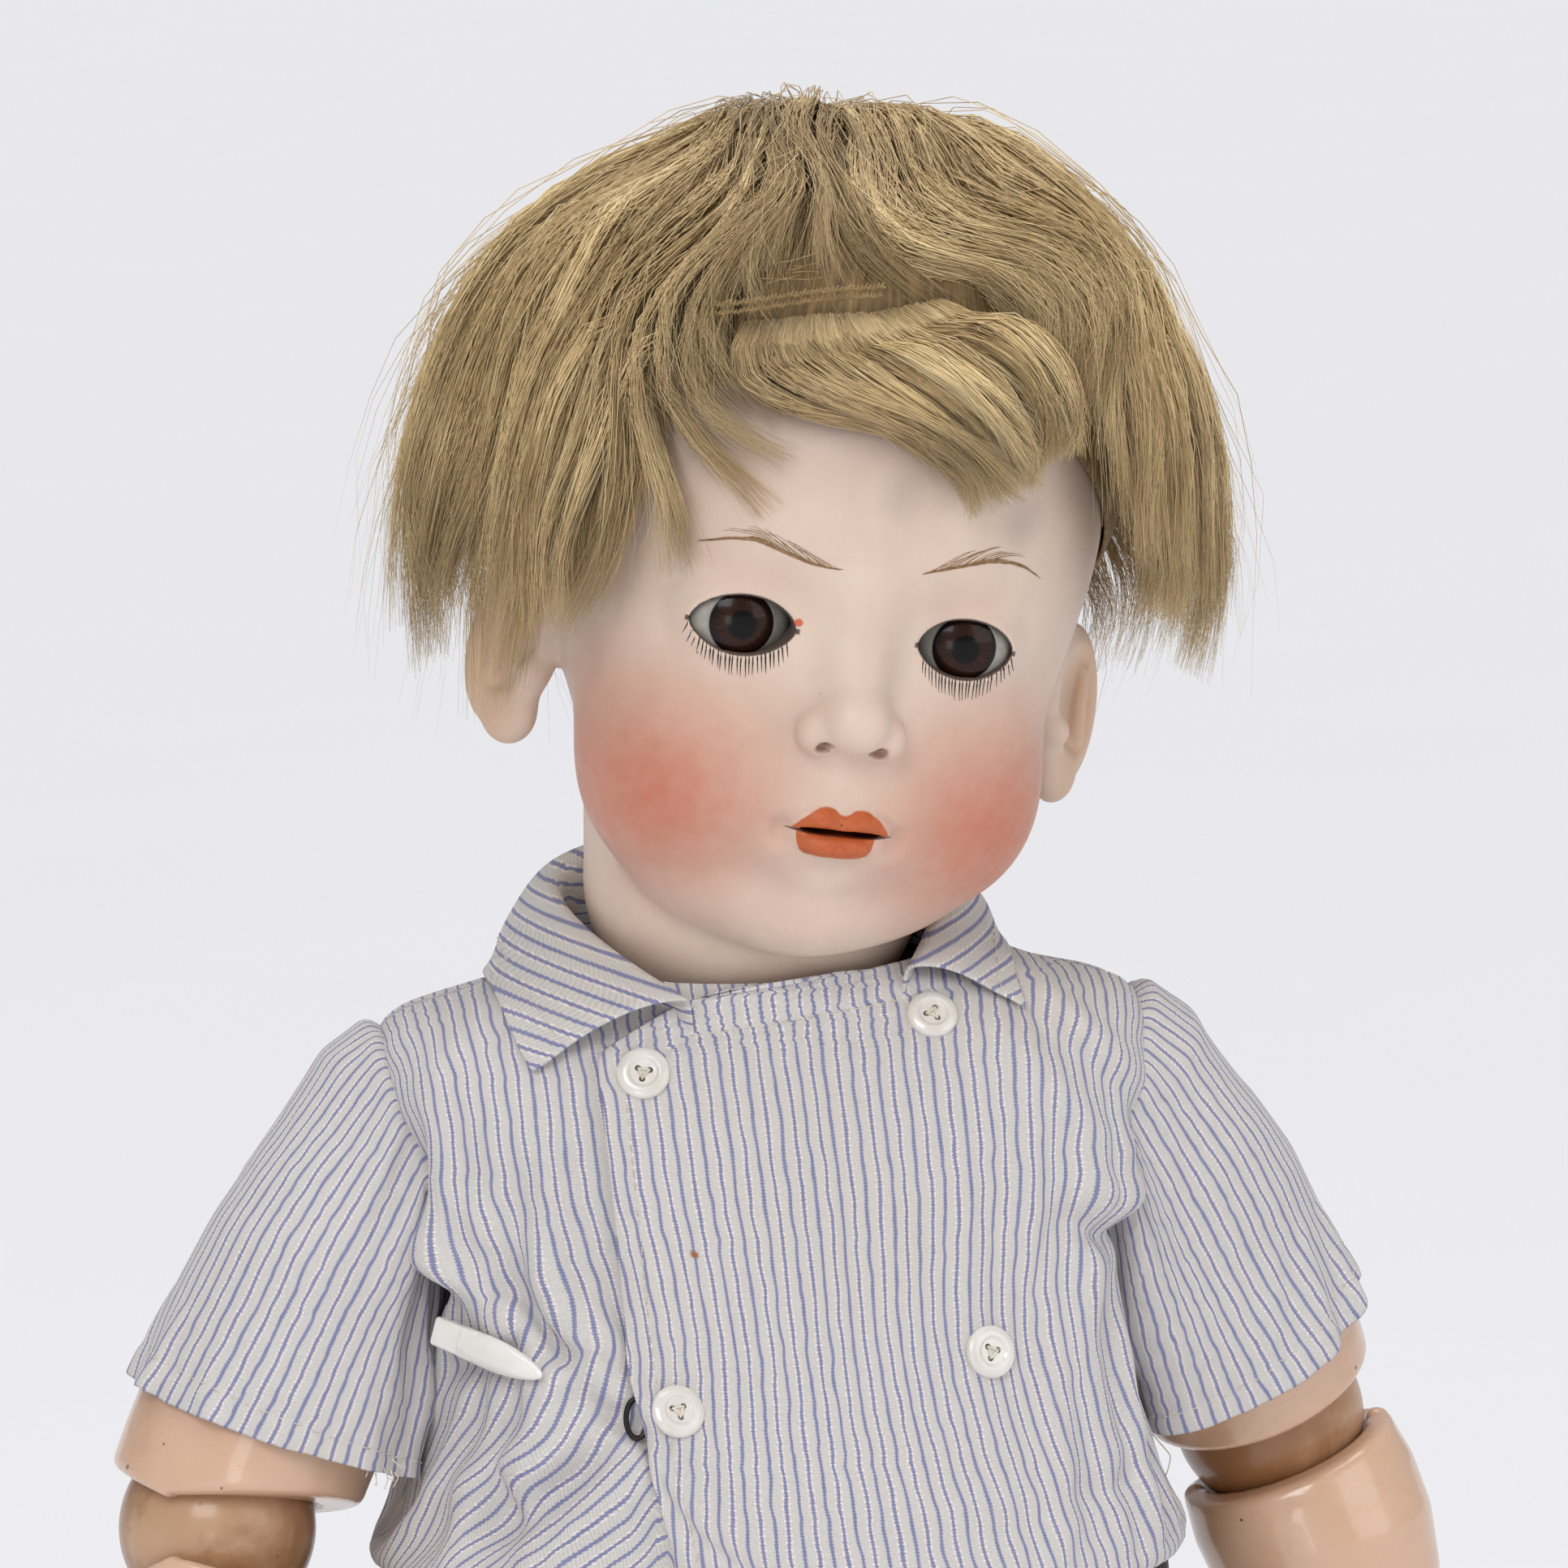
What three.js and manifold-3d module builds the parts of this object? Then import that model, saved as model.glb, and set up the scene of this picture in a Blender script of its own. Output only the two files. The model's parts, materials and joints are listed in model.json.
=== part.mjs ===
// Jointed child doll of the bisque-head type, standing: a hollow bisque socket head with sleeping glass eyes and a
// stitched mohair wig on a pasteboard pate, on a hollow composition torso with loose-ball limbs strung on elastic,
// in a striped short-sleeved shirt tucked into dark gathered shorts.
// Millimetres, +Z up, the doll faces -Y, its right hand is on -X. The soles stand on Z = 0.
import * as THREE from "three";
import { mergeVertices } from "three/addons/utils/BufferGeometryUtils.js";
import Module from "manifold-3d";

const wasm = await Module();
wasm.setup();

// ---------------------------------------------------------------- driving dimensions
const OFFSET = [-6.999, -3.171, 0]; // puts the middle of the outline over the origin
const GAP = 0.35; // clearance between a ball and its cup
const PIVOT = [0, 2, 406]; // centre of the neck's ball
const NECK_R = 23; // radius of the bisque neck ball
const HEAD_TURN = 4, HEAD_TILT = 9.5, HEAD_NOD = 5; // degrees, the pose the head is stored in
const EYE = [23.5, -41, 81], EYE_R = 12.5; // eye centre in the head's frame, eyeball radius
const SHOULDER = [80, 2, 377], SHOULDER_BALL_R = 17.5;
const UPPER_ARM = 96, FOREARM = 72; // joint to joint
const ELBOW_BALL_R = 21, WRIST_BALL_R = 11;
const HIP = [38, 0, 222], KNEE = [45, -2, 122], ANKLE = [47, 2, 28];
const HIP_BALL_R = 28, KNEE_BALL_R = 21.5;
const BORE_R = 6, ELASTIC_R = 2; // stringing bore and elastic
const ARM_R_OUT = 25, ARM_R_FWD = 6, ARM_L_OUT = 20.5, ARM_L_FWD = -20; // degrees
const FORE_R = [0.2, -0.45, -0.87], FORE_L = [0.34, -0.18, -0.92]; // forearm directions
const BUTTON_R = 5.6, BUTTON_T = 2.4;

// ---------------------------------------------------------------- helpers
const V = (a) => new THREE.Vector3(...a);
const deg = (a) => (a * Math.PI) / 180;
const armDir = (side, out, fwd) =>
  new THREE.Vector3(side * Math.sin(deg(out)), -Math.cos(deg(out)) * Math.sin(deg(fwd)), -Math.cos(deg(out)) * Math.cos(deg(fwd)));

// A three.js geometry as a closed solid, with its faces turned outwards.
function solid(geometry) {
  const g = geometry.index ? geometry.toNonIndexed() : geometry.clone();
  const bare = new THREE.BufferGeometry().setAttribute("position", g.getAttribute("position"));
  const m = mergeVertices(bare, 1e-3);
  const tri = [];
  const ix = m.index.array;
  for (let i = 0; i < ix.length; i += 3)
    if (ix[i] !== ix[i + 1] && ix[i + 1] !== ix[i + 2] && ix[i] !== ix[i + 2]) tri.push(ix[i], ix[i + 1], ix[i + 2]);
  const make = (t) =>
    new wasm.Manifold(new wasm.Mesh({ numProp: 3, vertProperties: new Float32Array(m.attributes.position.array), triVerts: new Uint32Array(t) }));
  let s = make(tri);
  if (s.volume() < 0) {
    for (let i = 0; i < tri.length; i += 3) [tri[i + 1], tri[i + 2]] = [tri[i + 2], tri[i + 1]];
    s = make(tri);
  }
  return s;
}
function geometryOf(s) {
  const m = s.getMesh(), n = m.numProp, v = new Float32Array(m.numVert * 3);
  for (let i = 0; i < m.numVert; i++) v.set(m.vertProperties.subarray(i * n, i * n + 3), i * 3);
  return new THREE.BufferGeometry()
    .setAttribute("position", new THREE.BufferAttribute(v, 3))
    .setIndex(new THREE.BufferAttribute(new Uint32Array(m.triVerts), 1));
}
// A profile of [radius, height] turned about Z. The profile starts and ends on the axis.
function lathe(profile, segments = 20) {
  return new THREE.LatheGeometry(profile.map((p) => new THREE.Vector2(Math.max(p[0], 0), p[1])), segments).rotateX(Math.PI / 2);
}
const ball = (r, at, w = 12, h = 8) => new THREE.SphereGeometry(r, w, h).translate(...at);
// The hollow that a ball turns in: its flats stay GAP clear of the ball's corners.
const cup = (r, at, w = 12, h = 8) => ball((r + GAP) / (Math.cos(Math.PI / w) * Math.cos(Math.PI / (2 * h))), at, w, h);
const ellipsoid = (r, at, w = 16, h = 12) => new THREE.SphereGeometry(1, w, h).rotateX(Math.PI / 2).scale(...r).translate(...at);
const box = (lo, hi) =>
  new THREE.BoxGeometry(hi[0] - lo[0], hi[1] - lo[1], hi[2] - lo[2]).translate((lo[0] + hi[0]) / 2, (lo[1] + hi[1]) / 2, (lo[2] + hi[2]) / 2);
// Turns a geometry built along +Z from the origin so that it runs from a point along a direction.
// The local +X goes as near to side as it can.
function along(geometry, from, direction, side = [1, 0, 0]) {
  const z = direction.clone().normalize();
  const y = z.clone().cross(V(side)).normalize();
  const x = y.clone().cross(z);
  return geometry.applyMatrix4(new THREE.Matrix4().makeBasis(x, y, z).setPosition(...(from.toArray ? from.toArray() : from)));
}
const rod = (r, from, to, n = 10) => {
  const d = V(to).sub(V(from));
  return along(new THREE.CylinderGeometry(r, r, d.length(), n).rotateX(Math.PI / 2).translate(0, 0, d.length() / 2), V(from), d, Math.abs(d.x) > 0.9 * d.length() ? [0, 1, 0] : [1, 0, 0]);
};
const capsule = (r, from, to, w = 10) => {
  const d = V(to).sub(V(from));
  return along(new THREE.CapsuleGeometry(r, d.length(), 2, w).rotateX(Math.PI / 2).translate(0, 0, d.length() / 2), V(from), d, Math.abs(d.x) > 0.9 * d.length() ? [0, 1, 0] : [1, 0, 0]);
};
// A round cord along points, as an extruded section.
function cord(points, r, steps, sides = 8) {
  const curve = new THREE.CatmullRomCurve3(points.map((p) => (p.isVector3 ? p : V(p))), false, "centripetal");
  const ring = Array.from({ length: sides }, (_, i) => new THREE.Vector2(r * Math.cos((2 * Math.PI * i) / sides), r * Math.sin((2 * Math.PI * i) / sides)));
  return new THREE.ExtrudeGeometry(new THREE.Shape(ring), { steps, extrudePath: curve });
}
const lerpTable = (table, z) => {
  if (z <= table[0][0]) return table[0][1];
  for (let i = 1; i < table.length; i++)
    if (z <= table[i][0]) {
      const [z0, a] = table[i - 1], [z1, b] = table[i];
      return a + ((b - a) * (z - z0)) / (z1 - z0);
    }
  return table[table.length - 1][1];
};
// Reshapes a turned form: depth is the ratio of depth to width, and shift moves each level forwards or back.
function reshape(geometry, depth, shift) {
  const p = geometry.attributes.position;
  for (let i = 0; i < p.count; i++) {
    const z = p.getZ(i);
    p.setY(i, p.getY(i) * lerpTable(depth, z) + lerpTable(shift, z));
  }
  return geometry;
}
const union = (...list) => list.map((g) => (g.getMesh ? g : solid(g))).reduce((a, b) => a.add(b));
const cut = (s, ...list) => list.reduce((a, g) => a.subtract(g.getMesh ? g : solid(g)), s.getMesh ? s : solid(s));

const root = new THREE.Group();
const finish = {
  bisque: { color: 0xe9cdc4, roughness: 0.42, metalness: 0 },
  composition: { color: 0xd9a986, roughness: 0.3, metalness: 0 },
  ball: { color: 0xc09468, roughness: 0.4, metalness: 0 },
  glass: { color: 0x2a1a12, roughness: 0.05, metalness: 0 },
  lead: { color: 0x6b6d70, roughness: 0.6, metalness: 0.8 },
  wire: { color: 0x4c4a45, roughness: 0.45, metalness: 0.9 },
  wood: { color: 0xb58a5a, roughness: 0.7, metalness: 0 },
  plaster: { color: 0xe6e0d2, roughness: 0.9, metalness: 0 },
  card: { color: 0xa88f6c, roughness: 0.9, metalness: 0 },
  hair: { color: 0xa8915f, roughness: 0.6, metalness: 0 },
  shirt: { color: 0xd9d9df, roughness: 0.9, metalness: 0 },
  shorts: { color: 0x35322f, roughness: 0.95, metalness: 0 },
  china: { color: 0xecebe6, roughness: 0.15, metalness: 0 },
  plastic: { color: 0xe6e5df, roughness: 0.25, metalness: 0 },
  elastic: { color: 0xd8d0bd, roughness: 0.85, metalness: 0 },
};
function add(name, s, look, parent = root) {
  const mesh = new THREE.Mesh(s.getMesh ? geometryOf(s) : s, new THREE.MeshStandardMaterial(finish[look]));
  mesh.name = name;
  parent.add(mesh);
  return mesh;
}

// ---------------------------------------------------------------- where the joints are
const S = { r: [-SHOULDER[0], SHOULDER[1], SHOULDER[2]], l: SHOULDER };
const U = { r: armDir(-1, ARM_R_OUT, ARM_R_FWD), l: armDir(1, ARM_L_OUT, ARM_L_FWD) };
const E = {}, F = { r: V(FORE_R).normalize(), l: V(FORE_L).normalize() }, W = {};
for (const k of ["r", "l"]) {
  E[k] = V(S[k]).addScaledVector(U[k], UPPER_ARM).toArray();
  W[k] = V(E[k]).addScaledVector(F[k], FOREARM).toArray();
}
const H = { r: [-HIP[0], HIP[1], HIP[2]], l: HIP };
const K = { r: [-KNEE[0], KNEE[1], KNEE[2]], l: KNEE };
const A = { r: [-ANKLE[0], ANKLE[1], ANKLE[2]], l: ANKLE };
const on = (p, d, t) => V(p).addScaledVector(d, t).toArray();

// ---------------------------------------------------------------- torso: two pressed composition half-shells
const TORSO = [[196, 0], [196, 20], [201, 42], [213, 56], [232, 62], [255, 63], [285, 60], [315, 57.5], [340, 58.5], [362, 63], [378, 67], [388, 56], [398, 36], [404, 28.4], [404, 0]];
const TORSO_DEPTH = [[196, 0.8], [232, 0.86], [262, 0.92], [300, 0.84], [340, 0.72], [378, 0.58], [392, 0.68], [404, 1]];
const TORSO_SHIFT = [[196, 5], [232, 3], [262, -3], [300, -3], [340, 0], [378, 2], [404, 2]];
const torsoForm = (grow, lowest, highest) =>
  solid(reshape(lathe(TORSO.filter(([z]) => z >= 196).map(([z, r]) => [r === 0 ? 0 : Math.max(r + grow, 1), Math.min(Math.max(z, lowest), highest)]), 18), TORSO_DEPTH, TORSO_SHIFT));
let torso = cut(torsoForm(0, 0, 999), torsoForm(-4.5, 201, 394));
torso = cut(torso, cup(NECK_R, PIVOT, 14, 10), rod(10, [0, 2, 360], [0, 2, 410], 10), lathe([[0, 397], [22.5, 397], [26.2, 405], [0, 405]], 14).translate(0, 2, 0));
for (const k of ["r", "l"]) {
  const x = Math.sign(S[k][0]);
  torso = cut(torso, cup(SHOULDER_BALL_R, S[k]), rod(7.5, [x * 80, 2, 377], [x * 40, 9, 377]));
  // room for the thigh to hang, to come forward and to pass between the two
  torso = cut(torso, cup(HIP_BALL_R, H[k], 14, 8));
  for (const [y, z] of [[0.12, -1], [-0.45, -0.9], [-0.9, -0.42], [-1, 0.05]])
    torso = cut(torso, along(lathe([[0, 0], [HIP_BALL_R + 1.2, 0], [33.5, 42], [33.5, 90], [0, 90]], 10), H[k], new THREE.Vector3(x * 0.07 * (z < -0.5 ? 1 : 0.5), y, z)));
}
const half = (lo, hi) => torso.intersect(solid(box([-90, lo, 150], [90, hi, 450])));
add("torso_front_shell", half(-90, 1.85).decompose().sort((a, b) => b.volume() - a.volume())[0], "composition");
add("torso_back_shell", half(2.15, 90).decompose().sort((a, b) => b.volume() - a.volume())[0], "composition");

// ---------------------------------------------------------------- head, in its own frame about the neck pivot
const head = new THREE.Group();
head.position.set(...PIVOT);
head.rotation.order = "ZYX";
head.rotation.set(deg(HEAD_NOD), deg(HEAD_TILT), deg(HEAD_TURN));
root.add(head);
// Skull and face in one smooth form: an ellipsoid drawn in towards a round chin and a narrow nape.
function skull(grow, w = 22, h = 16) {
  const g = new THREE.SphereGeometry(1, w, h).rotateX(Math.PI / 2), p = g.attributes.position;
  for (let i = 0; i < p.count; i++) {
    let x = p.getX(i) * (60 + grow), y = p.getY(i) * (66 + grow), z = 89.5 + p.getZ(i) * (80.5 + grow);
    const t = Math.min(1, Math.max(0, (z - 12) / 68)), e = t * t * (3 - 2 * t);
    x *= 0.86 + 0.14 * e;
    y = y > 0 ? y * (0.62 + 0.38 * e) : y * (0.94 + 0.06 * e);
    y += 6 * e - 2 * (1 - e);
    p.setXYZ(i, x, y, z);
  }
  return solid(g);
}
const neckOuter = [];
for (let i = 0; i <= 5; i++) {
  const a = deg(-64 + (i * 64) / 5);
  neckOuter.push([NECK_R * Math.cos(a), NECK_R * Math.sin(a)]);
}
const neck = lathe([[0, neckOuter[0][1]], ...neckOuter, [24.5, 8], [29, 22], [30, 44], [0, 44]], 14);
const bore = lathe([[0, -40], [9.4, -40], [9.4, -14.5], ...[-50, -35, -20, 0].map((a) => [18 * Math.cos(deg(a)), 18 * Math.sin(deg(a))]), [20, 12], [24, 30], [25, 60], [0, 60]], 10);
const earOf = (x) => ellipsoid([6.5, 11, 19], [x * 59, 9, 56], 10, 8);
const outer = union(skull(0), neck, earOf(1), earOf(-1), ellipsoid([8.5, 9, 8], [0, -57, 60], 10, 8));
let bisque = cut(outer, skull(-5.5, 14, 12), bore);
const crownPlane = (lift) => new THREE.BoxGeometry(300, 300, 120).translate(0, 0, 60).rotateX(deg(-17)).translate(0, 10, 140 + lift);
bisque = cut(bisque, crownPlane(0));
for (const x of [-1, 1])
  bisque = cut(bisque, cup(EYE_R, [x * EYE[0], EYE[1], EYE[2]]), new THREE.CylinderGeometry(1, 1, 40, 12).scale(10.4, 1, 5.7).translate(x * EYE[0], EYE[1] - 20, EYE[2]));
bisque = cut(bisque, box([-6.5, -80, 38.9], [6.5, -40, 40.6]));
add("bisque_head", bisque, "bisque", head);
// domed pasteboard pate over the crown opening
add("pate", cut(skull(0).intersect(solid(crownPlane(0.4))), skull(-2.5, 18, 14)), "card", head);
// mohair wig on its cloth cap
let wig = cut(ellipsoid([82, 83, 84], [2, 8, 102], 20, 14), skull(1.0), ellipsoid([8, 12.5, 20.5], [59, 9, 56], 10, 8), ellipsoid([8, 12.5, 20.5], [-59, 9, 56], 10, 8));
wig = cut(wig, box([-120, -120, -20], [120, 120, 56]), box([-52, -120, 40], [52, -18, 124]), box([-80, -120, 40], [80, -40, 104]), neck);
add("wig", wig.decompose().sort((a, b) => b.volume() - a.volume())[0], "hair", head);
// plaster beds that the eyes turn in, and the cork that stops them
for (const [k, x] of [["r", -1], ["l", 1]]) {
  const at = [x * EYE[0], EYE[1], EYE[2]];
  const bed = cut(solid(box([at[0] + (x > 0 ? 2 : -15), -44, 78], [at[0] + (x > 0 ? 15 : -2), -32, 84])).intersect(skull(-6.3, 14, 12)), cup(EYE_R, at));
  add("eye_bed_" + k, bed.decompose().sort((a, b) => b.volume() - a.volume())[0], "plaster", head);
}
add("eye_stop_cork", solid(box([-6, -70, 43], [6, -38, 52])).intersect(skull(-6.3, 14, 12)), "wood", head);

// sleeping eyes: two blown glass eyes on a wire yoke with a lead weight below
for (const [k, x] of [["r", -1], ["l", 1]])
  add("glass_eye_" + k, cut(ball(EYE_R, [x * EYE[0], EYE[1], EYE[2]]), box([x * EYE[0] - 20, EYE[1] + 9, EYE[2] - 20], [x * EYE[0] + 20, EYE[1] + 30, EYE[2] + 20])), "glass", head);
const yokeBack = EYE[1] + 10.6;
const yoke = union(
  new THREE.CylinderGeometry(5, 5, 2.4, 12).translate(EYE[0], yokeBack, EYE[2]),
  new THREE.CylinderGeometry(5, 5, 2.4, 12).translate(-EYE[0], yokeBack, EYE[2]),
  capsule(1.4, [-EYE[0], yokeBack, EYE[2]], [EYE[0], yokeBack, EYE[2]], 8),
  capsule(1.4, [0, yokeBack, EYE[2]], [0, yokeBack + 4, EYE[2] - 24], 8),
);
add("eye_yoke", yoke, "wire", head);
add("eye_weight", cut(ellipsoid([9, 7, 8], [0, yokeBack + 4.5, EYE[2] - 29], 10, 8), capsule(1.9, [0, yokeBack, EYE[2]], [0, yokeBack + 4, EYE[2] - 24], 8)), "lead", head);

// neck hook: a wooden button inside the neck ball with a wire eye below it; it turns with the head and stays level as the head nods
const neckFrame = new THREE.Group();
neckFrame.position.set(...PIVOT);
root.add(neckFrame);
add("neck_button", cut(solid(ball(16.4, [0, 0, 0], 12, 8)).intersect(solid(box([-20, -20, -20], [20, 20, -9]))), rod(1.9, [0, 0, -30], [0, 0, 0], 8)), "wood", neckFrame);
add("neck_hook", union(rod(1.3, [0, 0, -30], [0, 0, -7], 8), rod(4, [0, 0, -8.6], [0, 0, -6.9], 10), new THREE.TorusGeometry(6.4, 1.3, 6, 12).rotateY(Math.PI / 2).translate(0, 0, -36)), "wire", neckFrame);

// ---------------------------------------------------------------- arms
const socketed = (profile, from, dir, side) => solid(along(lathe(profile, 14), from, dir, side));
// A slanted cut across a limb's end, on the side that the joint folds to: from is on the limb's axis.
const bevel = (at, axis, fold, angle, flip) => {
  const z = axis.clone().multiplyScalar(flip), n = fold.clone().addScaledVector(axis, -fold.dot(axis)).normalize();
  const x = n.clone().cross(z).normalize();
  // local Z leaves the limb, local Y is the folding side
  const m = new THREE.Matrix4().makeBasis(x, n, z).setPosition(...at);
  return new THREE.BoxGeometry(120, 120, 60).translate(0, 60, 30).rotateX(deg(-angle)).applyMatrix4(m);
};
const hooks = {};
for (const [k, s] of [["r", -1], ["l", 1]]) {
  const u = U[k], f = F[k], e = E[k], w = W[k], sh = S[k];
  const torsoBore = rod(BORE_R, [sh[0], 2, 377], [sh[0] - s * 30, 7, 377], 8);
  add("shoulder_ball_" + k, cut(ball(SHOULDER_BALL_R, sh), rod(BORE_R, sh, on(sh, u, 30), 8), torsoBore, ball(BORE_R, sh, 8, 6)), "ball");
  let arm = socketed([[0, 6], [17, 6], [18.8, 7.5], [21.8, 17], [25, 34], [26.6, 56], [26.6, 78], [26.2, 86.5], [24.6, 88], [0, 88]], sh, u);
  arm = cut(arm, cup(SHOULDER_BALL_R, sh), cup(ELBOW_BALL_R, e), rod(BORE_R + 0.6, sh, e, 8));
  const inner = f.clone().addScaledVector(u, -f.dot(u)).normalize(), outerArm = u.clone().negate();
  arm = cut(arm, bevel(on(e, u, -9), u, inner, 33, 1));
  add("upper_arm_" + k, arm, "composition");
  add("elbow_ball_" + k, cut(ball(ELBOW_BALL_R, e), rod(BORE_R, e, on(e, u, -30), 8), rod(BORE_R, e, on(e, f, 30), 8), ball(BORE_R, e, 8, 6)), "ball");
  let fore = socketed([[0, 8], [22.2, 8], [24.6, 10], [26, 20], [25.4, 32], [22, 45], [17.4, 56], [14.4, 64], [13.4, 66], [0, 66]], e, f);
  fore = cut(fore, cup(ELBOW_BALL_R, e), cup(WRIST_BALL_R, w, 12, 8), rod(BORE_R + 0.6, e, w, 8), bevel(on(e, f, 9), f, outerArm, k === "r" ? 33 : 12, -1));
  add("forearm_" + k, fore, "composition");
  // hand: fingers along the forearm, thumb to the front, palm to the body
  const hand = new THREE.Matrix4();
  const z = f.clone(), xx = new THREE.Vector3(-s, 0, 0).addScaledVector(f, s * f.x).normalize(), yy = z.clone().cross(xx);
  hand.makeBasis(xx, yy, z).setPosition(...w);
  const fwd = yy.y < 0 ? 1 : -1; // which way along local Y the thumb is
  const pieces = [ball(WRIST_BALL_R, [0, 0, 0], 10, 8), capsule(8.2, [0, 0, 6], [0, 0, 12], 6), ellipsoid([8, 14.5, 16], [1, 0, 24], 10, 6)];
  for (let i = 0; i < 4; i++) {
    const y = fwd * (9.6 - 6.4 * i), len = [15, 17.5, 16.5, 12][i];
    pieces.push(capsule(3.7, [0.5, y * 0.92, 32], [3.5, y, 34 + len], 6));
  }
  pieces.push(capsule(4.2, [2, fwd * 9, 16], [4, fwd * 17.5, 32], 6));
  const solidHand = union(...pieces.map((g) => g.applyMatrix4(hand)));
  add("hand_" + k, cut(solidHand, rod(1.9, on(w, f, -30), on(w, f, 4), 8)), "composition");
  // the hook in the hand that takes the elastic
  add("hand_hook_" + k, union(rod(1.4, on(w, f, -13), on(w, f, 3), 8), new THREE.TorusGeometry(3.3, 1.1, 5, 10).applyMatrix4(new THREE.Matrix4().makeBasis(xx, f, xx.clone().cross(f)).setPosition(...on(w, f, -16)))), "wire");
  hooks[k] = on(w, f, -22.5);
}

// ---------------------------------------------------------------- legs
const shinHook = {};
for (const [k, s] of [["r", -1], ["l", 1]]) {
  const d = V(K[k]).sub(V(H[k])), L = d.length(), t = d.clone().normalize();
  const c = V(A[k]).sub(V(K[k])), M = c.length(), l = c.clone().normalize();
  const ballTop = Array.from({ length: 8 }, (_, i) => [HIP_BALL_R * Math.sin((i * Math.PI) / 15), -HIP_BALL_R * Math.cos((i * Math.PI) / 15)]);
  let thigh = socketed([...ballTop, [29.5, 18], [31.5, 42], [30, 66], [27.6, L - 12], [26, L - 8.6], [24.8, L - 8], [0, L - 8]], H[k], t);
  const back = new THREE.Vector3(0, 1, 0);
  thigh = cut(thigh, cup(KNEE_BALL_R, K[k]), rod(BORE_R + 1, on(H[k], t, -40), K[k], 8), bevel(on(K[k], t, -9), t, back, 34, 1));
  add("thigh_" + k, thigh, "composition");
  add("knee_ball_" + k, cut(ball(KNEE_BALL_R, K[k]), rod(BORE_R, on(K[k], t, -30), K[k], 8), rod(BORE_R, K[k], on(K[k], l, 30), 8), ball(BORE_R, K[k], 8, 6)), "ball");
  const shin = socketed([[0, 8], [23.4, 8], [25.2, 9.6], [26.4, 18], [26.8, 34], [24, 52], [19.5, 70], [17, 84], [17, M + 6], [0, M + 6]], K[k], l);
  const x = A[k][0];
  const foot = union(shin, ellipsoid([17.5, 20, 20], [x, 6, 17], 10, 8), ellipsoid([19, 34, 16], [x + s * 1.5, -24, 11], 12, 8), ellipsoid([15, 22, 17], [x, -8, 24], 10, 6), ellipsoid([18.5, 15, 9.5], [x + s * 2, -46, 8], 10, 6));
  let leg = cut(foot, box([x - 60, -120, -60], [x + 60, 80, 0]), cup(KNEE_BALL_R, K[k]), rod(BORE_R + 0.6, K[k], on(K[k], l, 52), 8), bevel(on(K[k], l, 9), l, back, 34, -1));
  add("lower_leg_" + k, leg, "composition");
  // wire hook at the foot of the shin bore
  add("shin_hook_" + k, union(rod(1.4, on(K[k], l, 43), on(K[k], l, 51.6), 8), new THREE.TorusGeometry(3.3, 1.1, 5, 10).applyMatrix4(new THREE.Matrix4().makeBasis(new THREE.Vector3(1, 0, 0), l, new THREE.Vector3(1, 0, 0).cross(l)).setPosition(...on(K[k], l, 40)))), "wire");
  shinHook[k] = on(K[k], l, 33.6);
}

// ---------------------------------------------------------------- stringing elastic
add("arm_elastic", solid(cord([hooks.r, on(E.r, F.r, 10), on(E.r, U.r, -8), on(S.r, U.r, 40), on(S.r, U.r, 10), [-74, 3.5, 376.5], [-50, 9, 376], [0, 16, 376], [50, 9, 376], [74, 3.5, 376.5], on(S.l, U.l, 10), on(S.l, U.l, 40), on(E.l, U.l, -8), on(E.l, F.l, 10), hooks.l], ELASTIC_R, 44, 5)), "elastic");
const up = (k, s) => [shinHook[k], K[k], on(H[k], V(H[k]).sub(V(K[k])).normalize(), 0), [s * 36, 2, 262], [s * 12, 2, 352], [s * 5.5, 2, 368]];
add("leg_elastic", solid(cord([...up("r", -1), [0, 2, 370.6], ...up("l", 1).reverse()], ELASTIC_R, 44, 5)), "elastic");

// ---------------------------------------------------------------- clothes, as plain solids of their outer shape
const SHIRT = [[279, 67], [288, 79], [302, 81], [320, 77], [342, 73], [360, 77], [374, 82], [386, 74], [396, 56], [404, 37]];
const SHIRT_DEPTH = [[276, 0.86], [300, 0.8], [340, 0.72], [374, 0.58], [390, 0.62], [404, 0.88]];
const SHIRT_SHIFT = [[276, -2], [300, -3], [340, -1], [374, 1], [404, 2]];
const shell = (profile, depth, shift, out, wall, n = 22) => {
  const o = profile.map(([z, r]) => [r + out, z]), i = profile.map(([z, r]) => [r + out - wall, z]).reverse();
  return solid(reshape(new THREE.LatheGeometry([...o, ...i, o[0]].map((p) => new THREE.Vector2(p[0], p[1])), n).rotateX(Math.PI / 2), depth, shift));
};
const sleeves = {};
for (const k of ["r", "l"]) {
  const o = [[22.4, 4], [27, 14], [31.6, 34], [34, 70]], i = [[32, 70], [29.6, 34], [25, 14], [20.4, 4]];
  sleeves[k] = cut(solid(along(new THREE.LatheGeometry([...o, ...i, o[0]].map((p) => new THREE.Vector2(p[0], p[1])), 18).rotateX(Math.PI / 2), S[k], U[k])), cup(SHOULDER_BALL_R + 0.7, S[k]), torsoForm(1, 0, 999));
  add("sleeve_" + k, sleeves[k], "shirt");
}
const sleeveRoom = (k) => solid(along(lathe([[0, 2], [23.4, 2], [28, 14], [32.7, 34], [35.6, 80], [0, 80]], 16), S[k], U[k]));
const room = ["r", "l"].map((k) => union(sleeveRoom(k), ball(SHOULDER_BALL_R + 1.6, S[k], 12, 8)));
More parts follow.
